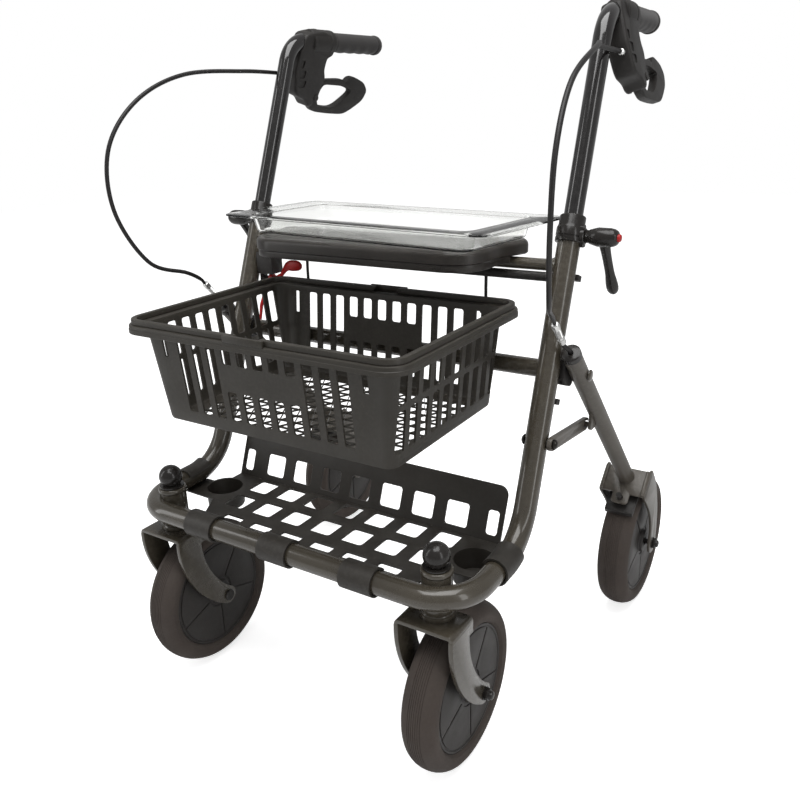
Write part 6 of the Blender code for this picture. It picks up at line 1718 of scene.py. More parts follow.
def model_shelf_net(hole):
    """A moulded sheet with rounded holes, a rear wall, two cane cups and clips round the frame."""
    flat = Matrix.Identity(4)
    front, side, edge = BAR_FRONT_Y, BAR_HALF_WIDTH, NET_FRONT_Y
    floor_end = UPRIGHT_FOOT_Y + NET_WALL_FOOT
    right = [
        (0.021, front), (0.021, edge), (0.097, edge), (0.097, front), (0.139, front), (0.139, edge),
        (0.150, edge), (0.160, -0.245), (0.185, -0.200), (side - 0.001, CLIP_FRONT_Y),
        (side - 0.001, -0.157), (0.214, -0.157), (NET_HALF_WIDTH, -0.140),
        (NET_HALF_WIDTH, floor_end),
    ]
    sheet = eased(prism(mirrored(right), NET_SHEET, flat, NET_Z), 0.0007)
    wall_plane = axes_matrix((0.0, floor_end, NET_Z - NET_SHEET / 2), (1, 0, 0), SLIDE)
    rise = (NET_WALL_TOP - NET_Z + NET_SHEET / 2) / SLIDE.z
    corner = 0.012
    wall = [(NET_HALF_WIDTH, 0.0)] + arc((NET_HALF_WIDTH - corner, rise - corner), corner, 0, 90, 8)
    rear = eased(prism(mirrored(wall), NET_SHEET, wall_plane, NET_SHEET / 2), 0.0007)
    half, holes, wall_holes = hole / 2, [], []
    for k in range(-3, 4):
        for middle in (-0.140, -0.188):
            holes.append(prism(rounded_hole(k * NET_PITCH, middle, half, 0.016), 0.03, flat, NET_Z))
    for x in (0.02425, 0.07275, 0.121):
        for way in (1, -1):
            holes.append(
                prism(rounded_hole(way * x, -0.229, 0.0155, 0.007, 0.0025), 0.03, flat, NET_Z)
            )
    low, high = (NET_HOLE_FOOT - NET_Z) / SLIDE.z, (NET_HOLE_TOP - NET_Z) / SLIDE.z
    for k in range(-4, 5):
        width = half if abs(k) < 4 else 0.0075
        opening = rounded_hole(k * NET_PITCH, (low + high) / 2, width, (high - low) / 2)
        wall_holes.append(prism(opening, 0.03, wall_plane))
    net = union(
        eased(cut(sheet, gathered(holes)), 0.0005, 1),
        eased(cut(rear, gathered(wall_holes)), 0.0005, 1),
    )
    reach = NET_HALF_WIDTH - 0.008
    rib = cross_rod(-reach, reach, floor_end + 0.002, NET_Z, 0.0030, 12)
    parts, wells = [rib], []
    for way in (1, -1):
        place = Matrix.Translation((way * CUP_X, CUP_Y, 0.0))
        radius, top, foot = CUP_RADIUS, NET_Z + NET_SHEET / 2, NET_Z - CUP_DEPTH
        outer = [
            (radius - 0.0040, foot), (radius - 0.0022, foot + 0.0006),
            (radius - 0.0012, foot + 0.0022), (radius - 0.0004, top - NET_SHEET - 0.001),
            (radius + 0.0008, top - NET_SHEET), (radius + 0.0020, top - NET_SHEET + 0.001),
            (radius + 0.0020, top - 0.0006), (radius + 0.0014, top),
        ]
        inner = [
            (radius - 0.0034 - CUP_WALL, foot + 0.0025), (radius - CUP_WALL, top - 0.0015),
            (radius + 0.0004, top + 0.01),
        ]
        parts.append(revolve(outer, place, 48))
        wells.append(revolve(inner, place, 48))
        wells.append(prism(rounded_rectangle(0.010, 0.007, 0.003, 5), 0.02, place, foot))
        path = [Vector((way * point.x, point.y, point.z)) for point in side_run(CLIP_REAR_Y)]
        section = clip_section(-95, 150) if way > 0 else [
            (-a, b)
            for a, b in clip_section(-95, 150)
        ]
        parts.append(sweep(path, section))
    for x in (-0.118, 0.0, 0.118):
        section = [(-a, b) for a, b in clip_section(-95, 150)]
        place = side_view(x) @ Matrix.Translation((BAR_FRONT_Y, BAR_HEIGHT, 0.0))
        parts.append(prism(section, 0.042, place))
    return cut(union(net, *parts), *wells)


# Fold lever


def model_lock_housing():
    """A block clipped on the basket bar at the left, with the pin of the fold lever."""
    y = upright_point(BASKET_BAR_Z).y
    outer, inner, top = -LOCK_OUTER_X, -LOCK_INNER_X, BASKET_BAR_Z + 0.0028
    body = block((outer, y - 0.012, top - 0.030), (inner, y + 0.011, top))
    ear = block(
        (outer, FOLD_LEVER_Y - 0.006, FOLD_LEVER_Z - 0.006),
        (outer + 0.004, FOLD_LEVER_Y + 0.006, top - 0.028),
    )
    pin_end = FOLD_LEVER_X + 0.0045
    pin = cross_rod(outer + 0.001, pin_end, FOLD_LEVER_Y, FOLD_LEVER_Z, FOLD_PIN_RADIUS, 20)
    saddle = cross_rod(outer - 0.01, inner + 0.01, y, BASKET_BAR_Z, BASKET_BAR_RADIUS + GAP, 32)
    slots = []
    for k in range(3):
        x = outer + 0.008 + 0.006 * k
        slots.append(
            block((x - 0.0012, y + 0.0102, top - 0.024), (x + 0.0012, y + 0.02, top - 0.008))
        )
    shell = eased(cut(union(body, ear), saddle, gathered(slots)), 0.0010)
    return gathered([shell, pin])


def model_fold_lever():
    """A rounded pad and its arm, which turns on the housing's pin."""
    points = [
        (-0.1540, -0.012, 0.5275), (-0.1548, -0.012, 0.5275), (-0.1570, -0.012, 0.5275),
        (-0.1600, -0.012, 0.5275), (-0.1640, -0.012, 0.5275), (-0.1720, -0.012, 0.5270),
        (-0.1765, -0.012, 0.5262), (-0.1800, -0.012, 0.5250), (-0.1832, -0.0124, 0.5224),
        (-0.1860, -0.013, 0.5190), (-0.1900, -0.015, 0.5130), (-0.1950, FOLD_LEVER_Y, 0.5100),
        (FOLD_LEVER_X, FOLD_LEVER_Y, FOLD_LEVER_Z), (-0.2068, -0.0242, 0.5020),
        (-0.2080, -0.0290, 0.4940), (-0.2100, -0.0348, 0.4830), (-0.2110, -0.0400, 0.4720),
        (-0.2110, -0.0450, 0.4520),
    ]
    sizes = (
        (0.3, 0.6), (1.5, 3.2), (2.5, 5.4), (3.2, 6.9), (3.6, 7.6), (3.8, 8.0), (3.6, 7.4),
        (3.4, 6.4), (3.1, 4.9), (2.8, 3.6), (2.6, 2.8), (2.6, 2.6), (2.6, 2.6), (2.6, 2.6),
        (2.6, 2.6), (2.6, 2.6), (2.6, 2.6), (1.8, 1.8),
    )
    sections = [
        [(a * deep / 1000, b * tall / 1000) for a, b in circle(1.0, 20)]
        for deep, tall in sizes
    ]
    arm = sweep(points, sections)
    low, high = FOLD_LEVER_X - 0.0030, FOLD_LEVER_X + 0.0030
    eye = cross_rod(low, high, FOLD_LEVER_Y, FOLD_LEVER_Z, FOLD_EYE_RADIUS, 28)
    bore = FOLD_PIN_RADIUS + RUN_GAP
    hole = cross_rod(low - 0.02, high + 0.02, FOLD_LEVER_Y, FOLD_LEVER_Z, bore, 20)
    return cut(union(arm, eye), hole)


# Finishes: shared effects


def new_effect(name, inputs, outputs):
    """An empty node group with named sockets: each a name, a kind and a first value."""
    group = bpy.data.node_groups.new(name, "ShaderNodeTree")
    for title, kind, value in inputs:
        socket = group.interface.new_socket(
            name=title, in_out="INPUT", socket_type=f"NodeSocket{kind}",
        )
        socket.default_value = value
    for title, kind in outputs:
        group.interface.new_socket(name=title, in_out="OUTPUT", socket_type=f"NodeSocket{kind}")
    return group, group.nodes.new("NodeGroupInput"), group.nodes.new("NodeGroupOutput")


def noise_in(group, scale, detail=3.0, roughness=0.55, stretch=None):
    """A noise texture on object coordinates; scale is a socket or a number."""
    place = group.nodes.new("ShaderNodeTexCoord").outputs["Object"]
    if stretch:
        mapping = group.nodes.new("ShaderNodeMapping")
        mapping.inputs["Scale"].default_value = stretch
        group.links.new(place, mapping.inputs["Vector"])
        place = mapping.outputs["Vector"]
    noise = group.nodes.new("ShaderNodeTexNoise")
    noise.inputs["Detail"].default_value = detail
    noise.inputs["Roughness"].default_value = roughness
    group.links.new(place, noise.inputs["Vector"])
    if isinstance(scale, (int, float)):
        noise.inputs["Scale"].default_value = scale
    else:
        group.links.new(scale, noise.inputs["Scale"])
    return noise.outputs["Fac"]


def ranged(group, value, low, high, start=0.0, end=1.0):
    """Value mapped from low..high to start..end, clamped. The last two may be sockets."""
    node = group.nodes.new("ShaderNodeMapRange")
    group.links.new(value, node.inputs["Value"])
    for title, part in (("From Min", low), ("From Max", high), ("To Min", start), ("To Max", end)):
        if isinstance(part, (int, float)):
            node.inputs[title].default_value = part
        else:
            group.links.new(part, node.inputs[title])
    return node.outputs["Result"]


def math_in(group, action, first, second):
    node = group.nodes.new("ShaderNodeMath")
    node.operation = action
    for k, part in enumerate((first, second)):
        if isinstance(part, (int, float)):
            node.inputs[k].default_value = part
        else:
            group.links.new(part, node.inputs[k])
    return node.outputs["Value"]


def mixed(group, mask, first, second):
    """Two colours mixed by a mask."""
    node = group.nodes.new("ShaderNodeMix")
    node.data_type = "RGBA"
    group.links.new(mask, node.inputs["Factor"])
    for title, part in ((6, first), (7, second)):
        if isinstance(part, tuple):
            node.inputs[title].default_value = part
        else:
            group.links.new(part, node.inputs[title])
    return node.outputs[2]


def make_colour_drift():
    """Broad and fine variation between two near tones."""
    inputs = (("Base", "Color", (0.1, 0.1, 0.1, 1)), ("Second", "Color", (0.1, 0.1, 0.1, 1)))
    inputs += (("Scale", "Float", 18.0), ("Fine Scale", "Float", 420.0))
    group, source, result = new_effect("Colour drift", inputs, (("Color", "Color"),))
    broad = noise_in(group, source.outputs["Scale"], 2.0)
    fine = noise_in(group, source.outputs["Fine Scale"], 4.0)
    both = math_in(
        group, "ADD", math_in(group, "MULTIPLY", broad, 0.65),
        math_in(group, "MULTIPLY", fine, 0.35),
    )
    mask = ranged(group, both, 0.36, 0.64)
    group.links.new(
        mixed(group, mask, source.outputs["Base"], source.outputs["Second"]),
        result.inputs["Color"],
    )


def make_surface_grain():
    """Roughness that varies a little, and a height for the bump."""
    inputs = (
        ("Smoothest", "Float", 0.3), ("Roughest", "Float", 0.45), ("Scale", "Float", 900.0),
        ("Blotch Scale", "Float", 30.0),
    )
    group, source, result = new_effect(
        "Surface grain", inputs, (("Roughness", "Float"), ("Height", "Float")),
    )
    fine = noise_in(group, source.outputs["Scale"], 2.0, 0.5)
    blotch = noise_in(group, source.outputs["Blotch Scale"], 3.0)
    both = math_in(
        group, "ADD", math_in(group, "MULTIPLY", blotch, 0.7),
        math_in(group, "MULTIPLY", fine, 0.3),
    )
    rough = ranged(group, both, 0.34, 0.66, source.outputs["Smoothest"], source.outputs["Roughest"])
    group.links.new(rough, result.inputs["Roughness"])
    group.links.new(fine, result.inputs["Height"])


def make_edge_wear():
    """A mask of worn edges, broken up by noise."""
    inputs = (("Reach", "Float", 0.56), ("Scale", "Float", 160.0))
    group, source, result = new_effect("Edge wear", inputs, (("Mask", "Float"),))
    edge = group.nodes.new("ShaderNodeNewGeometry").outputs["Pointiness"]
    sharp = ranged(group, edge, 0.51, source.outputs["Reach"])
    broken = ranged(group, noise_in(group, source.outputs["Scale"], 4.0, 0.6), 0.46, 0.62)
    group.links.new(math_in(group, "MULTIPLY", sharp, broken), result.inputs["Mask"])


def make_dust():
    """A mask of light dust that lies on upward faces, in soft patches."""
    group, source, result = new_effect(
        "Dust", (("Amount", "Float", 0.3), ("Scale", "Float", 24.0)), (("Mask", "Float"),),
    )
    split = group.nodes.new("ShaderNodeSeparateXYZ")
    group.links.new(
        group.nodes.new("ShaderNodeNewGeometry").outputs["Normal"], split.inputs["Vector"],
    )
    upward = ranged(group, split.outputs["Z"], 0.25, 1.0)
    patch = ranged(group, noise_in(group, source.outputs["Scale"], 5.0, 0.6), 0.40, 0.70)
    lying = math_in(group, "MULTIPLY", upward, patch)
    group.links.new(
        math_in(group, "MULTIPLY", lying, source.outputs["Amount"]), result.inputs["Mask"],
    )


def make_scuffs_and_sheen():
    """A mask of fine scratches, short and mostly one way. On the paint it also makes painted sheen:
    thin paler streaks that stand in for long highlights.
    """
    inputs = (("Scale", "Float", 60.0), ("Amount", "Float", 0.4))
    group, source, result = new_effect("Scuffs and sheen streaks", inputs, (("Mask", "Float"),))
    lines = noise_in(group, source.outputs["Scale"], 2.0, 0.5, (1.0, 0.16, 7.0))
    where = ranged(group, noise_in(group, 14.0, 2.0), 0.48, 0.66)
    thin = ranged(group, lines, 0.63, 0.68)
    broken = math_in(group, "MULTIPLY", thin, where)
    mask = math_in(group, "MULTIPLY", broken, source.outputs["Amount"])
    group.links.new(mask, result.inputs["Mask"])


def effect(material, name, **values):
    """A shared effect placed in a material, with its own values."""
    node = material.node_tree.nodes.new("ShaderNodeGroup")
    node.node_tree = bpy.data.node_groups[name]
    for title, value in values.items():
        node.inputs[title.replace("_", " ")].default_value = value
    return node


# Finishes: materials


def tone(colour, factor=1.0):
    return (colour[0] * factor, colour[1] * factor, colour[2] * factor, 1.0)


def new_finish(name):
    material = bpy.data.materials.new(name)
    material.use_nodes = True
    return material, material.node_tree.nodes["Principled BSDF"], material.node_tree.links


def surfaced(name, colour, spread, tone_scales, smoothest, roughest, grain_scales):
    """A new finish with its drift between two tones, and its grained skin."""
    material, shader, links = new_finish(name)
    tones = {"Base": tone(colour), "Second": tone(colour, spread)}
    drift = effect(
        material, "Colour drift", Scale=tone_scales[0], Fine_Scale=tone_scales[1], **tones,
    )
    grains = {"Scale": grain_scales[0], "Blotch_Scale": grain_scales[1]}
    skin = effect(material, "Surface grain", Smoothest=smoothest, Roughest=roughest, **grains)
    return material, shader, links, drift.outputs["Color"], skin


def bumped(material, shader, height, strength, distance):
    node = material.node_tree.nodes.new("ShaderNodeBump")
    node.inputs["Strength"].default_value = strength
    node.inputs["Distance"].default_value = distance
    material.node_tree.links.new(height, node.inputs["Height"])
    material.node_tree.links.new(node.outputs["Normal"], shader.inputs["Normal"])


def moulded(
    name, colour, smoothest, roughest, grain=900.0, bump=0.12, spread=1.25, dust=0.25, wear=0.0,
    gloss=0.35,
):
    """A moulded plastic: drifting tone, grained skin, light dust and paler worn edges."""
    material, shader, links, drifting, skin = surfaced(
        name, colour, spread, (14.0, grain / 2), smoothest, roughest, (grain, 26.0)
    )
    dusty = effect(material, "Dust", Amount=dust, Scale=30.0)
    base = mixed(material.node_tree, dusty.outputs["Mask"], drifting, DUST_COLOUR)
    if wear:
        worn = effect(material, "Edge wear", Reach=0.60, Scale=220.0)
        paler = math_in(material.node_tree, "MULTIPLY", worn.outputs["Mask"], wear)
        base = mixed(
            material.node_tree, paler, base, tone([min(1.0, c * 2.6 + 0.012) for c in colour]),
        )
    links.new(base, shader.inputs["Base Color"])
    links.new(skin.outputs["Roughness"], shader.inputs["Roughness"])
    shader.inputs["Specular IOR Level"].default_value = gloss
    bumped(material, shader, skin.outputs["Height"], bump, 0.0003)
    return shader


def painted(name, colour, metallic, smoothest, roughest, coat, flake=0.35):
    """Painted tube: a metallic ground under a coat, with flake, worn edges, and paler scuffs that
    also serve as painted sheen streaks.
    """
    material, shader, links, drifting, skin = surfaced(
        name, colour, 1.0 + flake, (10.0, 2600.0), smoothest, roughest, (1300.0, 18.0)
    )
    worn = effect(material, "Edge wear", Reach=0.62, Scale=180.0)
    scuff_and_sheen = effect(material, "Scuffs and sheen streaks", Scale=70.0, Amount=0.35)
    worn_tone = tone([c * 1.6 + 0.015 for c in colour])
    # Paler tone along thin one-way streaks: partly scuffs, partly painted sheen that stands in for
    # the tubes' long highlights.
    scuffed_and_sheen_tone = tone([c * 1.5 + 0.010 for c in colour])
    base = mixed(material.node_tree, worn.outputs["Mask"], drifting, worn_tone)
    base = mixed(material.node_tree, scuff_and_sheen.outputs["Mask"], base, scuffed_and_sheen_tone)
    links.new(base, shader.inputs["Base Color"])
    links.new(skin.outputs["Roughness"], shader.inputs["Roughness"])
    shader.inputs["Metallic"].default_value = metallic
    shader.inputs["Coat Weight"].default_value = coat
    shader.inputs["Specular IOR Level"].default_value = 0.3
    shader.inputs["Coat Roughness"].default_value = 0.08
    bumped(material, shader, skin.outputs["Height"], 0.05, 0.0002)


def make_metal(name, colour, smoothest, roughest):
    """Plated steel with fine turning lines and faint tarnish."""
    material, shader, links, drifting, skin = surfaced(
        name, colour, 1.18, (60.0, 900.0), smoothest, roughest, (1500.0, 120.0)
    )
    worn = effect(material, "Scuffs and sheen streaks", Scale=240.0, Amount=0.5)
    base = mixed(material.node_tree, worn.outputs["Mask"], drifting, tone(colour, 0.6))
    links.new(base, shader.inputs["Base Color"])
    links.new(skin.outputs["Roughness"], shader.inputs["Roughness"])
    shader.inputs["Metallic"].default_value = 1.0
    bumped(material, shader, skin.outputs["Height"], 0.08, 0.0001)


def make_clear_acrylic(tint):
    """Clear sheet with handling haze and hairline scratches. Its shadow is kept light."""
    material, shader, links, drifting, skin = surfaced(
        "Clear acrylic", tint, 0.985, (9.0, 90.0), 0.05, 0.11, (800.0, 12.0)
    )
    hair = effect(material, "Scuffs and sheen streaks", Scale=90.0, Amount=0.6)
    scratched = math_in(material.node_tree, "MULTIPLY", hair.outputs["Mask"], 0.12)
    rough = math_in(material.node_tree, "ADD", skin.outputs["Roughness"], scratched)
    links.new(drifting, shader.inputs["Base Color"])
    links.new(rough, shader.inputs["Roughness"])
    shader.inputs["Transmission Weight"].default_value = 1.0
    shader.inputs["IOR"].default_value = 1.30
    shadow = material.node_tree.nodes.new("ShaderNodeLightPath").outputs["Is Shadow Ray"]
    links.new(ranged(material.node_tree, shadow, 0.0, 1.0, 1.0, 0.18), shader.inputs["Alpha"])
    bumped(material, shader, skin.outputs["Height"], 0.02, 0.0002)


# Add-on: settings


def colour_setting(title, note, value):
    return bpy.props.FloatVectorProperty(
        name=title, description=note, default=value, size=3, min=0.0, max=1.0, subtype="COLOR",
    )


def length_setting(title, note, value):
    return bpy.props.FloatProperty(
        name=title, description=note, default=value, min=0.0, unit="LENGTH",
    )


def power_setting(title, note, value):
    return bpy.props.FloatProperty(
        name=title, description=note, default=value, min=0.0, unit="POWER",
    )


class RollatorFrameSettings(bpy.types.PropertyGroup):
    """Paints of the frame, the legs and the handle tubes."""

    frame_colour: colour_setting(
        "Frame paint", "Colour of the frame and the caster forks", (0.040, 0.034, 0.025),
    )
    leg_colour: colour_setting(
        "Leg paint", "Colour of the rear legs and the links", (0.060, 0.053, 0.044),
    )
    tube_colour: colour_setting(
        "Handle paint", "Colour of the height-adjustable tubes", (0.006, 0.005, 0.005),
    )


class RollatorWheelSettings(bpy.types.PropertyGroup):
    """Tread and colours of the four wheels."""

    groove_depth: length_setting("Groove depth", "Depth of the tread grooves", 0.0006)
    groove_width: length_setting("Groove width", "Width of the tread grooves", 0.0007)
    tyre_colour: colour_setting("Tyre colour", "Colour of the rubber", (0.042, 0.033, 0.028))
    hub_colour: colour_setting("Hub colour", "Colour of the moulded hubs", (0.020, 0.0175, 0.016))


class RollatorHandleSettings(bpy.types.PropertyGroup):
    """Grips, brakes and clamps."""

    grip_colour: colour_setting("Grip colour", "Colour of the soft grips", (0.017, 0.015, 0.0145))
    brake_colour: colour_setting(
        "Moulding colour", "Colour of the brake and clamp mouldings", (0.0125, 0.011, 0.010),
    )
    signal_colour: colour_setting(
        "Signal colour", "Colour of the push buttons and the fold lever", (0.38, 0.012, 0.012),
    )


class RollatorCarrySettings(bpy.types.PropertyGroup):
    """Basket, seat, tray and shelf net."""

    slot_width: length_setting("Slot width", "Width of the slots in the basket's walls", 0.0138)
    net_hole: length_setting("Net hole", "Width of the holes in the shelf net", NET_HOLE)
    seat_edge: length_setting("Seat edge", "Rounding of the seat's upper edge", 0.0070)
    basket_colour: colour_setting(
        "Basket colour", "Colour of the basket and its loops", (0.024, 0.021, 0.0165),
    )
    seat_colour: colour_setting("Seat colour", "Colour of the seat board", (0.016, 0.0135, 0.0115))
    tray_tint: colour_setting("Tray tint", "Tint of the clear tray", (0.86, 0.865, 0.85))


class RollatorStageSettings(bpy.types.PropertyGroup):
    """Light and floor of the picture."""

    key_power: power_setting("Key light", "Power of the large lamp overhead", 52.0)
    side_power: power_setting("Side light", "Power of the strip lamps at the sides", 12.0)
    world_level: bpy.props.FloatProperty(
        name="World light", description="Strength of the even light from all round",
        default=0.45, min=0.0, subtype="FACTOR",
    )
    floor_size: length_setting("Floor size", "Length of the floor's side", 12.0)


# Add-on: operators


class ROLLATOR_OT_finishes(bpy.types.Operator):
    """Make the shared effects and every material"""

    bl_idname = "rollator.finishes"
    bl_label = "Finishes"

    def execute(self, context):
        make_colour_drift()
        make_surface_grain()
        make_edge_wear()
        make_dust()
        make_scuffs_and_sheen()
        scene = context.scene
        paints, wheels = scene.rollator_frame, scene.rollator_wheels
        handles, carry = scene.rollator_handles, scene.rollator_carry
        painted("Frame paint", paints.frame_colour, 0.08, 0.22, 0.32, 0.60)
        painted("Leg paint", paints.leg_colour, 0.05, 0.30, 0.40, 0.12)
        painted("Handle paint", paints.tube_colour, 0.10, 0.12, 0.20, 0.90, 0.20)
        moulded("Black plastic", handles.brake_colour, 0.46, 0.60, 1000.0, 0.14, 1.2, 0.18, 0.25)
        moulded("Smooth plastic", handles.brake_colour, 0.16, 0.26, 700.0, 0.05, 1.15, 0.15, 0.20)
        moulded("Cable sheath", (0.010, 0.009, 0.009), 0.34, 0.48, 600.0, 0.05, 1.2, 0.12)
        moulded("Net plastic", (0.019, 0.0165, 0.0135), 0.40, 0.54, 900.0, 0.10, 1.2, 0.25, 0.20)
        moulded("Basket plastic", carry.basket_colour, 0.40, 0.54, 900.0, 0.12, 1.25, 0.25, 0.20)
        moulded("Board plastic", carry.seat_colour, 0.26, 0.38, 1200.0, 0.16, 1.2, 0.22, 0.15)
        moulded("Hub plastic", wheels.hub_colour, 0.42, 0.56, 900.0, 0.10, 1.25, 0.20, 0.20)
        moulded("Signal plastic", handles.signal_colour, 0.30, 0.42, 800.0, 0.06, 1.1, 0.08)
        moulded("Tyre rubber", wheels.tyre_colour, 0.72, 0.90, 700.0, 0.22, 1.35, 0.15)
        grip_rubber = moulded(
            "Grip rubber", handles.grip_colour, 0.62, 0.80, 1100.0, 0.20, 1.20, 0.15,
        )
        grip_rubber.inputs["Sheen Weight"].default_value = 0.15
        make_metal("Bright metal", (0.60, 0.60, 0.59), 0.20, 0.36)
        make_metal("Black metal", (0.035, 0.033, 0.030), 0.24, 0.38)
        make_clear_acrylic(carry.tray_tint)
        return {"FINISHED"}


class ROLLATOR_OT_frame(bpy.types.Operator):
    """Model the U-shaped tube frame with its seat bar and caster sockets"""

    bl_idname = "rollator.frame"
    bl_label = "Frame"

    def execute(self, context):
        finished(
            model_main_frame(), "frame_tubes", "Frame paint", "frame", ["main_frame"],
            40.0,
        )
        finished(
            model_basket_bar(), "basket_support", "Black plastic", "frame", ["basket_bar"],
            40.0,
        )
        return {"FINISHED"}


class ROLLATOR_OT_uprights(bpy.types.Operator):
    """Model the collars, guide rails, caster caps and link bolts on the frame"""

    bl_idname = "rollator.uprights"
    bl_label = "Collars, rails, caps and bolts"

    def execute(self, context):
        finished_pair(
            model_collar(), "collar_moulding", "Smooth plastic", "frame", ["collar"],
        )
        finished_pair(
            model_guide_rail(), "rail_moulding", "Black plastic", "frame", ["guide_rail"],
        )
        finished_pair(
            model_caster_cap(), "caster_dome", "Smooth plastic", "frame", ["caster_cap"],
        )
        finished_pair(
            model_link_bolt(), "link_screw", "Black metal", "frame", ["link_bolt"],
        )
        return {"FINISHED"}


class ROLLATOR_OT_wheels(bpy.types.Operator):
    """Model the four wheels: grooved tyre, hub with petals and axle"""

    bl_idname = "rollator.wheels"
    bl_label = "Wheels"

    def execute(self, context):
        sizes = context.scene.rollator_wheels
        places = (
            ("rear", REAR_X, REAR_Y, REAR_FORK_WIDTH, REAR_AXLE_CAP, REAR_AXLE_ENDS),
            ("front", FRONT_X, FRONT_Y, FORK_WIDTH, FRONT_AXLE_CAP, FRONT_AXLE_ENDS),
        )
        for word, x, y, width, cap, lengths in places:
            wheel = f"{word}_wheel_"
            tyre = model_tyre(x, y, sizes.groove_depth, sizes.groove_width)
            finished_pair(
                tyre, f"{word}_rubber", "Tyre rubber", wheel, [f"{word}_tyre"], 30.0,
            )
            finished_pair(
                model_hub(x, y), f"{word}_spokes", "Hub plastic", wheel, [f"{word}_hub"],
                30.0,
            )
            axle = model_axle(x, y, width / 2, cap, *lengths)
            finished_pair(
                axle, f"{word}_bolt", "Smooth plastic", wheel, [f"{word}_axle"],
            )
        return {"FINISHED"}


class ROLLATOR_OT_forks(bpy.types.Operator):
    """Model the swivelling caster forks"""

    bl_idname = "rollator.forks"
    bl_label = "Caster forks"

    def execute(self, context):
        finished_pair(
            model_front_fork(), "caster_bracket", "Frame paint", "front_fork_", ["front_fork"],
        )
        return {"FINISHED"}


class ROLLATOR_OT_legs(bpy.types.Operator):
    """Model the folding rear legs with their links, slider blocks and cross tube"""

    bl_idname = "rollator.legs"
    bl_label = "Rear legs and fold"

    def execute(self, context):
        finished(
            model_cross_tube(), "cross_member", "Frame paint", "cross_slide", ["cross_tube"],
        )
        finished_pair(
            model_slider_block(), "slider_moulding", "Black plastic", "cross_slide",
            ["slider_block"],
        )
        finished_pair(
            model_rear_leg(), "leg_weldment", "Leg paint", "rear_leg_", ["rear_leg"],
        )
        finished_pair(
            model_leg_ring(), "leg_end_ring", "Smooth plastic", "rear_leg_", ["rear_leg"],
        )
        finished_pair(
            model_link(), "link_bar", "Leg paint", "fold_link_", ["fold_link"],
        )
        return {"FINISHED"}


class ROLLATOR_OT_brakes(bpy.types.Operator):
    """Model the brake shoes, adjusters, cable fittings and cables"""

    bl_idname = "rollator.brakes"
    bl_label = "Brake shoes and cables"

    def execute(self, context):
        finished_pair(
            model_adjuster(), "adjuster_barrel", "Bright metal", "rear_leg_", ["brake_adjuster"],
        )
        finished_pair(
            model_adjuster_sheath(), "adjuster_sheath", "Cable sheath", "rear_leg_",
            ["brake_adjuster"],
        )
        finished_pair(
            model_brake_shoe(), "shoe_block", "Black plastic", "brake_shoe_", ["brake_shoe"],
        )
        finished_pair(
            model_fitting(), "cable_end", "Bright metal", "handle_", ["cable_fitting"],
        )
        right = model_cable()
        for side, piece in (("left", twin(right)), ("right", right)):
            smoothed(piece, 40.0)
            piece.name = f"cable_sheath_{side}"
            piece.data.materials.append(bpy.data.materials["Cable sheath"])
            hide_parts(f"brake_cable_{side}")
            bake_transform(piece)
        return {"FINISHED"}


class ROLLATOR_OT_handles(bpy.types.Operator):
    """Model the handle tubes with their grips, brake housings and levers"""

    bl_idname = "rollator.handles"
    bl_label = "Handles"

    def execute(self, context):
        finished_pair(
            model_handle_tube(), "height_tube", "Handle paint", "handle_", ["handle_tube"],
            50.0,
        )
        finished_pair(
            model_grip(), "grip_sleeve", "Grip rubber", "handle_", ["grip"], 35.0,
        )
        finished_pair(
            model_brake_housing(), "brake_moulding", "Black plastic", "handle_", ["brake_housing"],
            32.0,
        )
        finished_pair(
            model_brake_lever(), "brake_loop", "Black plastic", "brake_lever_", ["brake_lever"],
            32.0,
        )
        return {"FINISHED"}


class ROLLATOR_OT_clamps(bpy.types.Operator):
    """Model the height clamps with their push buttons"""

    bl_idname = "rollator.clamps"
    bl_label = "Height clamps"

    def execute(self, context):
        finished_pair(
            model_clamp_lever(), "clamp_handle", "Smooth plastic", "clamp_lever_", ["clamp_lever"],
            40.0,
        )
        finished_pair(
            model_clamp_button(), "clamp_push", "Signal plastic", "clamp_button_", ["clamp_button"],
        )
        return {"FINISHED"}


class ROLLATOR_OT_seat(bpy.types.Operator):
    """Model the seat board and the clear tray on it"""

    bl_idname = "rollator.seat"
    bl_label = "Seat and tray"

    def execute(self, context):
        finished(
            model_seat(context.scene.rollator_carry.seat_edge), "seat_board", "Board plastic",
            "seat", ["seat"], 35.0,
        )
        finished(
            model_tray(), "tray_dish", "Clear acrylic", "tray", ["tray"], 50.0,
        )
        return {"FINISHED"}


class ROLLATOR_OT_basket(bpy.types.Operator):
    """Model the slotted basket and its two carry loops"""

    bl_idname = "rollator.basket"
    bl_label = "Basket"

    def execute(self, context):
        basket = model_basket(context.scene.rollator_carry.slot_width)
        finished(
            basket, "basket_moulding", "Basket plastic", "basket", ["basket"],
            32.0,
        )
        finished_pair(
            model_basket_handle(), "carry_loop", "Basket plastic", "basket_handle_",
            ["basket_handle"],
        )
        return {"FINISHED"}


class ROLLATOR_OT_net(bpy.types.Operator):
    """Model the shelf net with its clips and cane cups"""

    bl_idname = "rollator.net"
    bl_label = "Shelf net"

    def execute(self, context):
        net = model_shelf_net(context.scene.rollator_carry.net_hole)
        finished(net, "net_moulding", "Net plastic", "frame", ["shelf_net"], 32.0)
        return {"FINISHED"}


class ROLLATOR_OT_fold_lock(bpy.types.Operator):
    """Model the fold lever and the housing that holds it"""

    bl_idname = "rollator.fold_lock"
    bl_label = "Fold lever"

    def execute(self, context):
        finished(
            model_lock_housing(), "lock_block", "Black plastic", "frame", ["lock_housing"],
        )
        finished(
            model_fold_lever(), "fold_pad", "Signal plastic", "fold_lever", ["fold_lever"],
            50.0,
        )
        return {"FINISHED"}


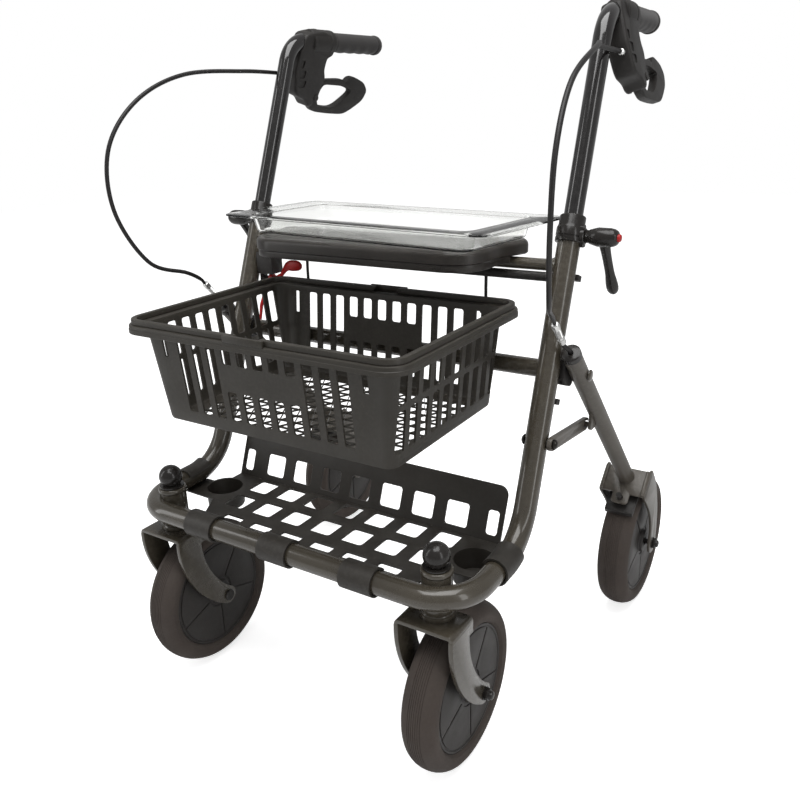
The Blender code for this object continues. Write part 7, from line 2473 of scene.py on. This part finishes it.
class ROLLATOR_OT_stage(bpy.types.Operator):
    """Lay the pale floor and set the lamps, the world's light and the camera"""

    bl_idname = "rollator.stage"
    bl_label = "Stage"

    def execute(self, context):
        settings = context.scene.rollator_stage
        lay_floor(settings.floor_size)
        light_world(settings.world_level)
        hang_lamp("key_lamp", (0.3, -0.5, 2.6), 1.8, 1.8, settings.key_power)
        hang_lamp("right_lamp", (2.4, -0.9, 1.2), 0.5, 2.2, settings.side_power)
        hang_lamp("left_lamp", (-2.0, -1.6, 1.3), 0.5, 2.2, settings.side_power)
        set_camera()
        return {"FINISHED"}


# Stage


def seen_directly(tree):
    """A mask of the rays that come from the camera, also through the tray."""
    path = tree.nodes.new("ShaderNodeLightPath")
    return math_in(
        tree, "MAXIMUM", path.outputs["Is Camera Ray"], path.outputs["Is Transmission Ray"],
    )


def lay_floor(size):
    """A pale floor that shows pure white to the camera where no shadow falls."""
    deselect()
    bpy.ops.mesh.primitive_plane_add(size=size, location=(0.0, 0.0, -0.0004))
    floor = bpy.context.object
    floor.name = "floor"
    material, shader, links = new_finish("Floor")
    tree = material.node_tree
    shader.inputs["Base Color"].default_value = (0.86, 0.86, 0.86, 1.0)
    shader.inputs["Roughness"].default_value = 0.9
    shader.inputs["Specular IOR Level"].default_value = 0.0
    seen = seen_directly(tree)
    shader.inputs["Emission Color"].default_value = (1.0, 1.0, 1.0, 1.0)
    links.new(math_in(tree, "MULTIPLY", seen, FLOOR_LIFT), shader.inputs["Emission Strength"])
    floor.data.materials.append(material)


def light_world(level):
    """Even light on the object, and pure white to the camera, also through the tray."""
    world = bpy.data.worlds.new("Studio")
    bpy.context.scene.world = world
    world.use_nodes = True
    tree = world.node_tree
    seen = seen_directly(tree)
    tree.nodes["Background"].inputs["Color"].default_value = (1.0, 1.0, 1.0, 1.0)
    tree.links.new(
        ranged(tree, seen, 0.0, 1.0, level, 1.0), tree.nodes["Background"].inputs["Strength"],
    )


def hang_lamp(name, place, width, height, power):
    """A rectangular lamp at a place, turned towards the rollator's middle."""
    deselect()
    bpy.ops.object.light_add(type="AREA", location=place)
    lamp = bpy.context.object
    lamp.name = name
    lamp.data.shape = "RECTANGLE"
    lamp.data.size, lamp.data.size_y = width, height
    lamp.data.energy = power
    lamp.rotation_euler = (Vector(LAMP_TARGET) - Vector(place)).to_track_quat("-Z", "Y").to_euler()


def set_camera():
    """A camera in front of the rollator and to its right, a little above the handles' level."""
    azimuth, level = CAMERA_AZIMUTH, math.cos(CAMERA_ELEVATION)
    ahead = (-math.sin(azimuth) * level, math.cos(azimuth) * level, -math.sin(CAMERA_ELEVATION))
    forward = Vector(ahead)
    right = Vector((math.cos(azimuth), math.sin(azimuth), 0.0))
    down = forward.cross(right)
    across = right * math.cos(CAMERA_ROLL) + down * math.sin(CAMERA_ROLL)
    below = down * math.cos(CAMERA_ROLL) - right * math.sin(CAMERA_ROLL)
    data = bpy.data.cameras.new("camera")
    camera = bpy.data.objects.new("camera", data)
    bpy.context.scene.collection.objects.link(camera)
    place = Matrix((across, -below, -forward)).transposed().to_4x4()
    place.translation = CAMERA_PLACE
    camera.matrix_world = place
    data.sensor_width, data.lens = CAMERA_SENSOR, CAMERA_LENS
    data.shift_x, data.shift_y = CAMERA_SHIFT
    data.clip_start, data.clip_end = 0.05, 60.0
    bpy.context.scene.camera = camera
    bpy.context.scene.view_settings.view_transform = "Standard"


# Add-on: panel and registration


class ROLLATOR_PT_panel(bpy.types.Panel):
    """The rollator's settings and the pieces that they make"""

    bl_idname = "ROLLATOR_PT_panel"
    bl_label = "Rollator with tray"
    bl_space_type = "VIEW_3D"
    bl_region_type = "UI"
    bl_category = "Rollator"

    def draw(self, context):
        for name in SETTINGS:
            group = getattr(context.scene, name)
            box = self.layout.box()
            for title in group.__annotations__:
                box.prop(group, title)
        for step in STEPS:
            self.layout.operator(step.bl_idname)


SETTINGS = {
    "rollator_frame": RollatorFrameSettings,
    "rollator_wheels": RollatorWheelSettings,
    "rollator_handles": RollatorHandleSettings,
    "rollator_carry": RollatorCarrySettings,
    "rollator_stage": RollatorStageSettings,
}

STEPS = (
    ROLLATOR_OT_finishes, ROLLATOR_OT_frame, ROLLATOR_OT_uprights, ROLLATOR_OT_wheels,
    ROLLATOR_OT_forks, ROLLATOR_OT_legs, ROLLATOR_OT_brakes, ROLLATOR_OT_handles,
    ROLLATOR_OT_clamps, ROLLATOR_OT_seat, ROLLATOR_OT_basket, ROLLATOR_OT_net,
    ROLLATOR_OT_fold_lock, ROLLATOR_OT_stage,
)


def register():
    for each in (*SETTINGS.values(), *STEPS, ROLLATOR_PT_panel):
        bpy.utils.register_class(each)
    for name, group in SETTINGS.items():
        setattr(bpy.types.Scene, name, bpy.props.PointerProperty(type=group))


def unregister():
    for name in SETTINGS:
        delattr(bpy.types.Scene, name)
    for each in reversed((*SETTINGS.values(), *STEPS, ROLLATOR_PT_panel)):
        bpy.utils.unregister_class(each)


def main():
    register()
    for step in STEPS:
        group, action = step.bl_idname.split(".")
        getattr(getattr(bpy.ops, group), action)()


if __name__ == "__main__":
    main()
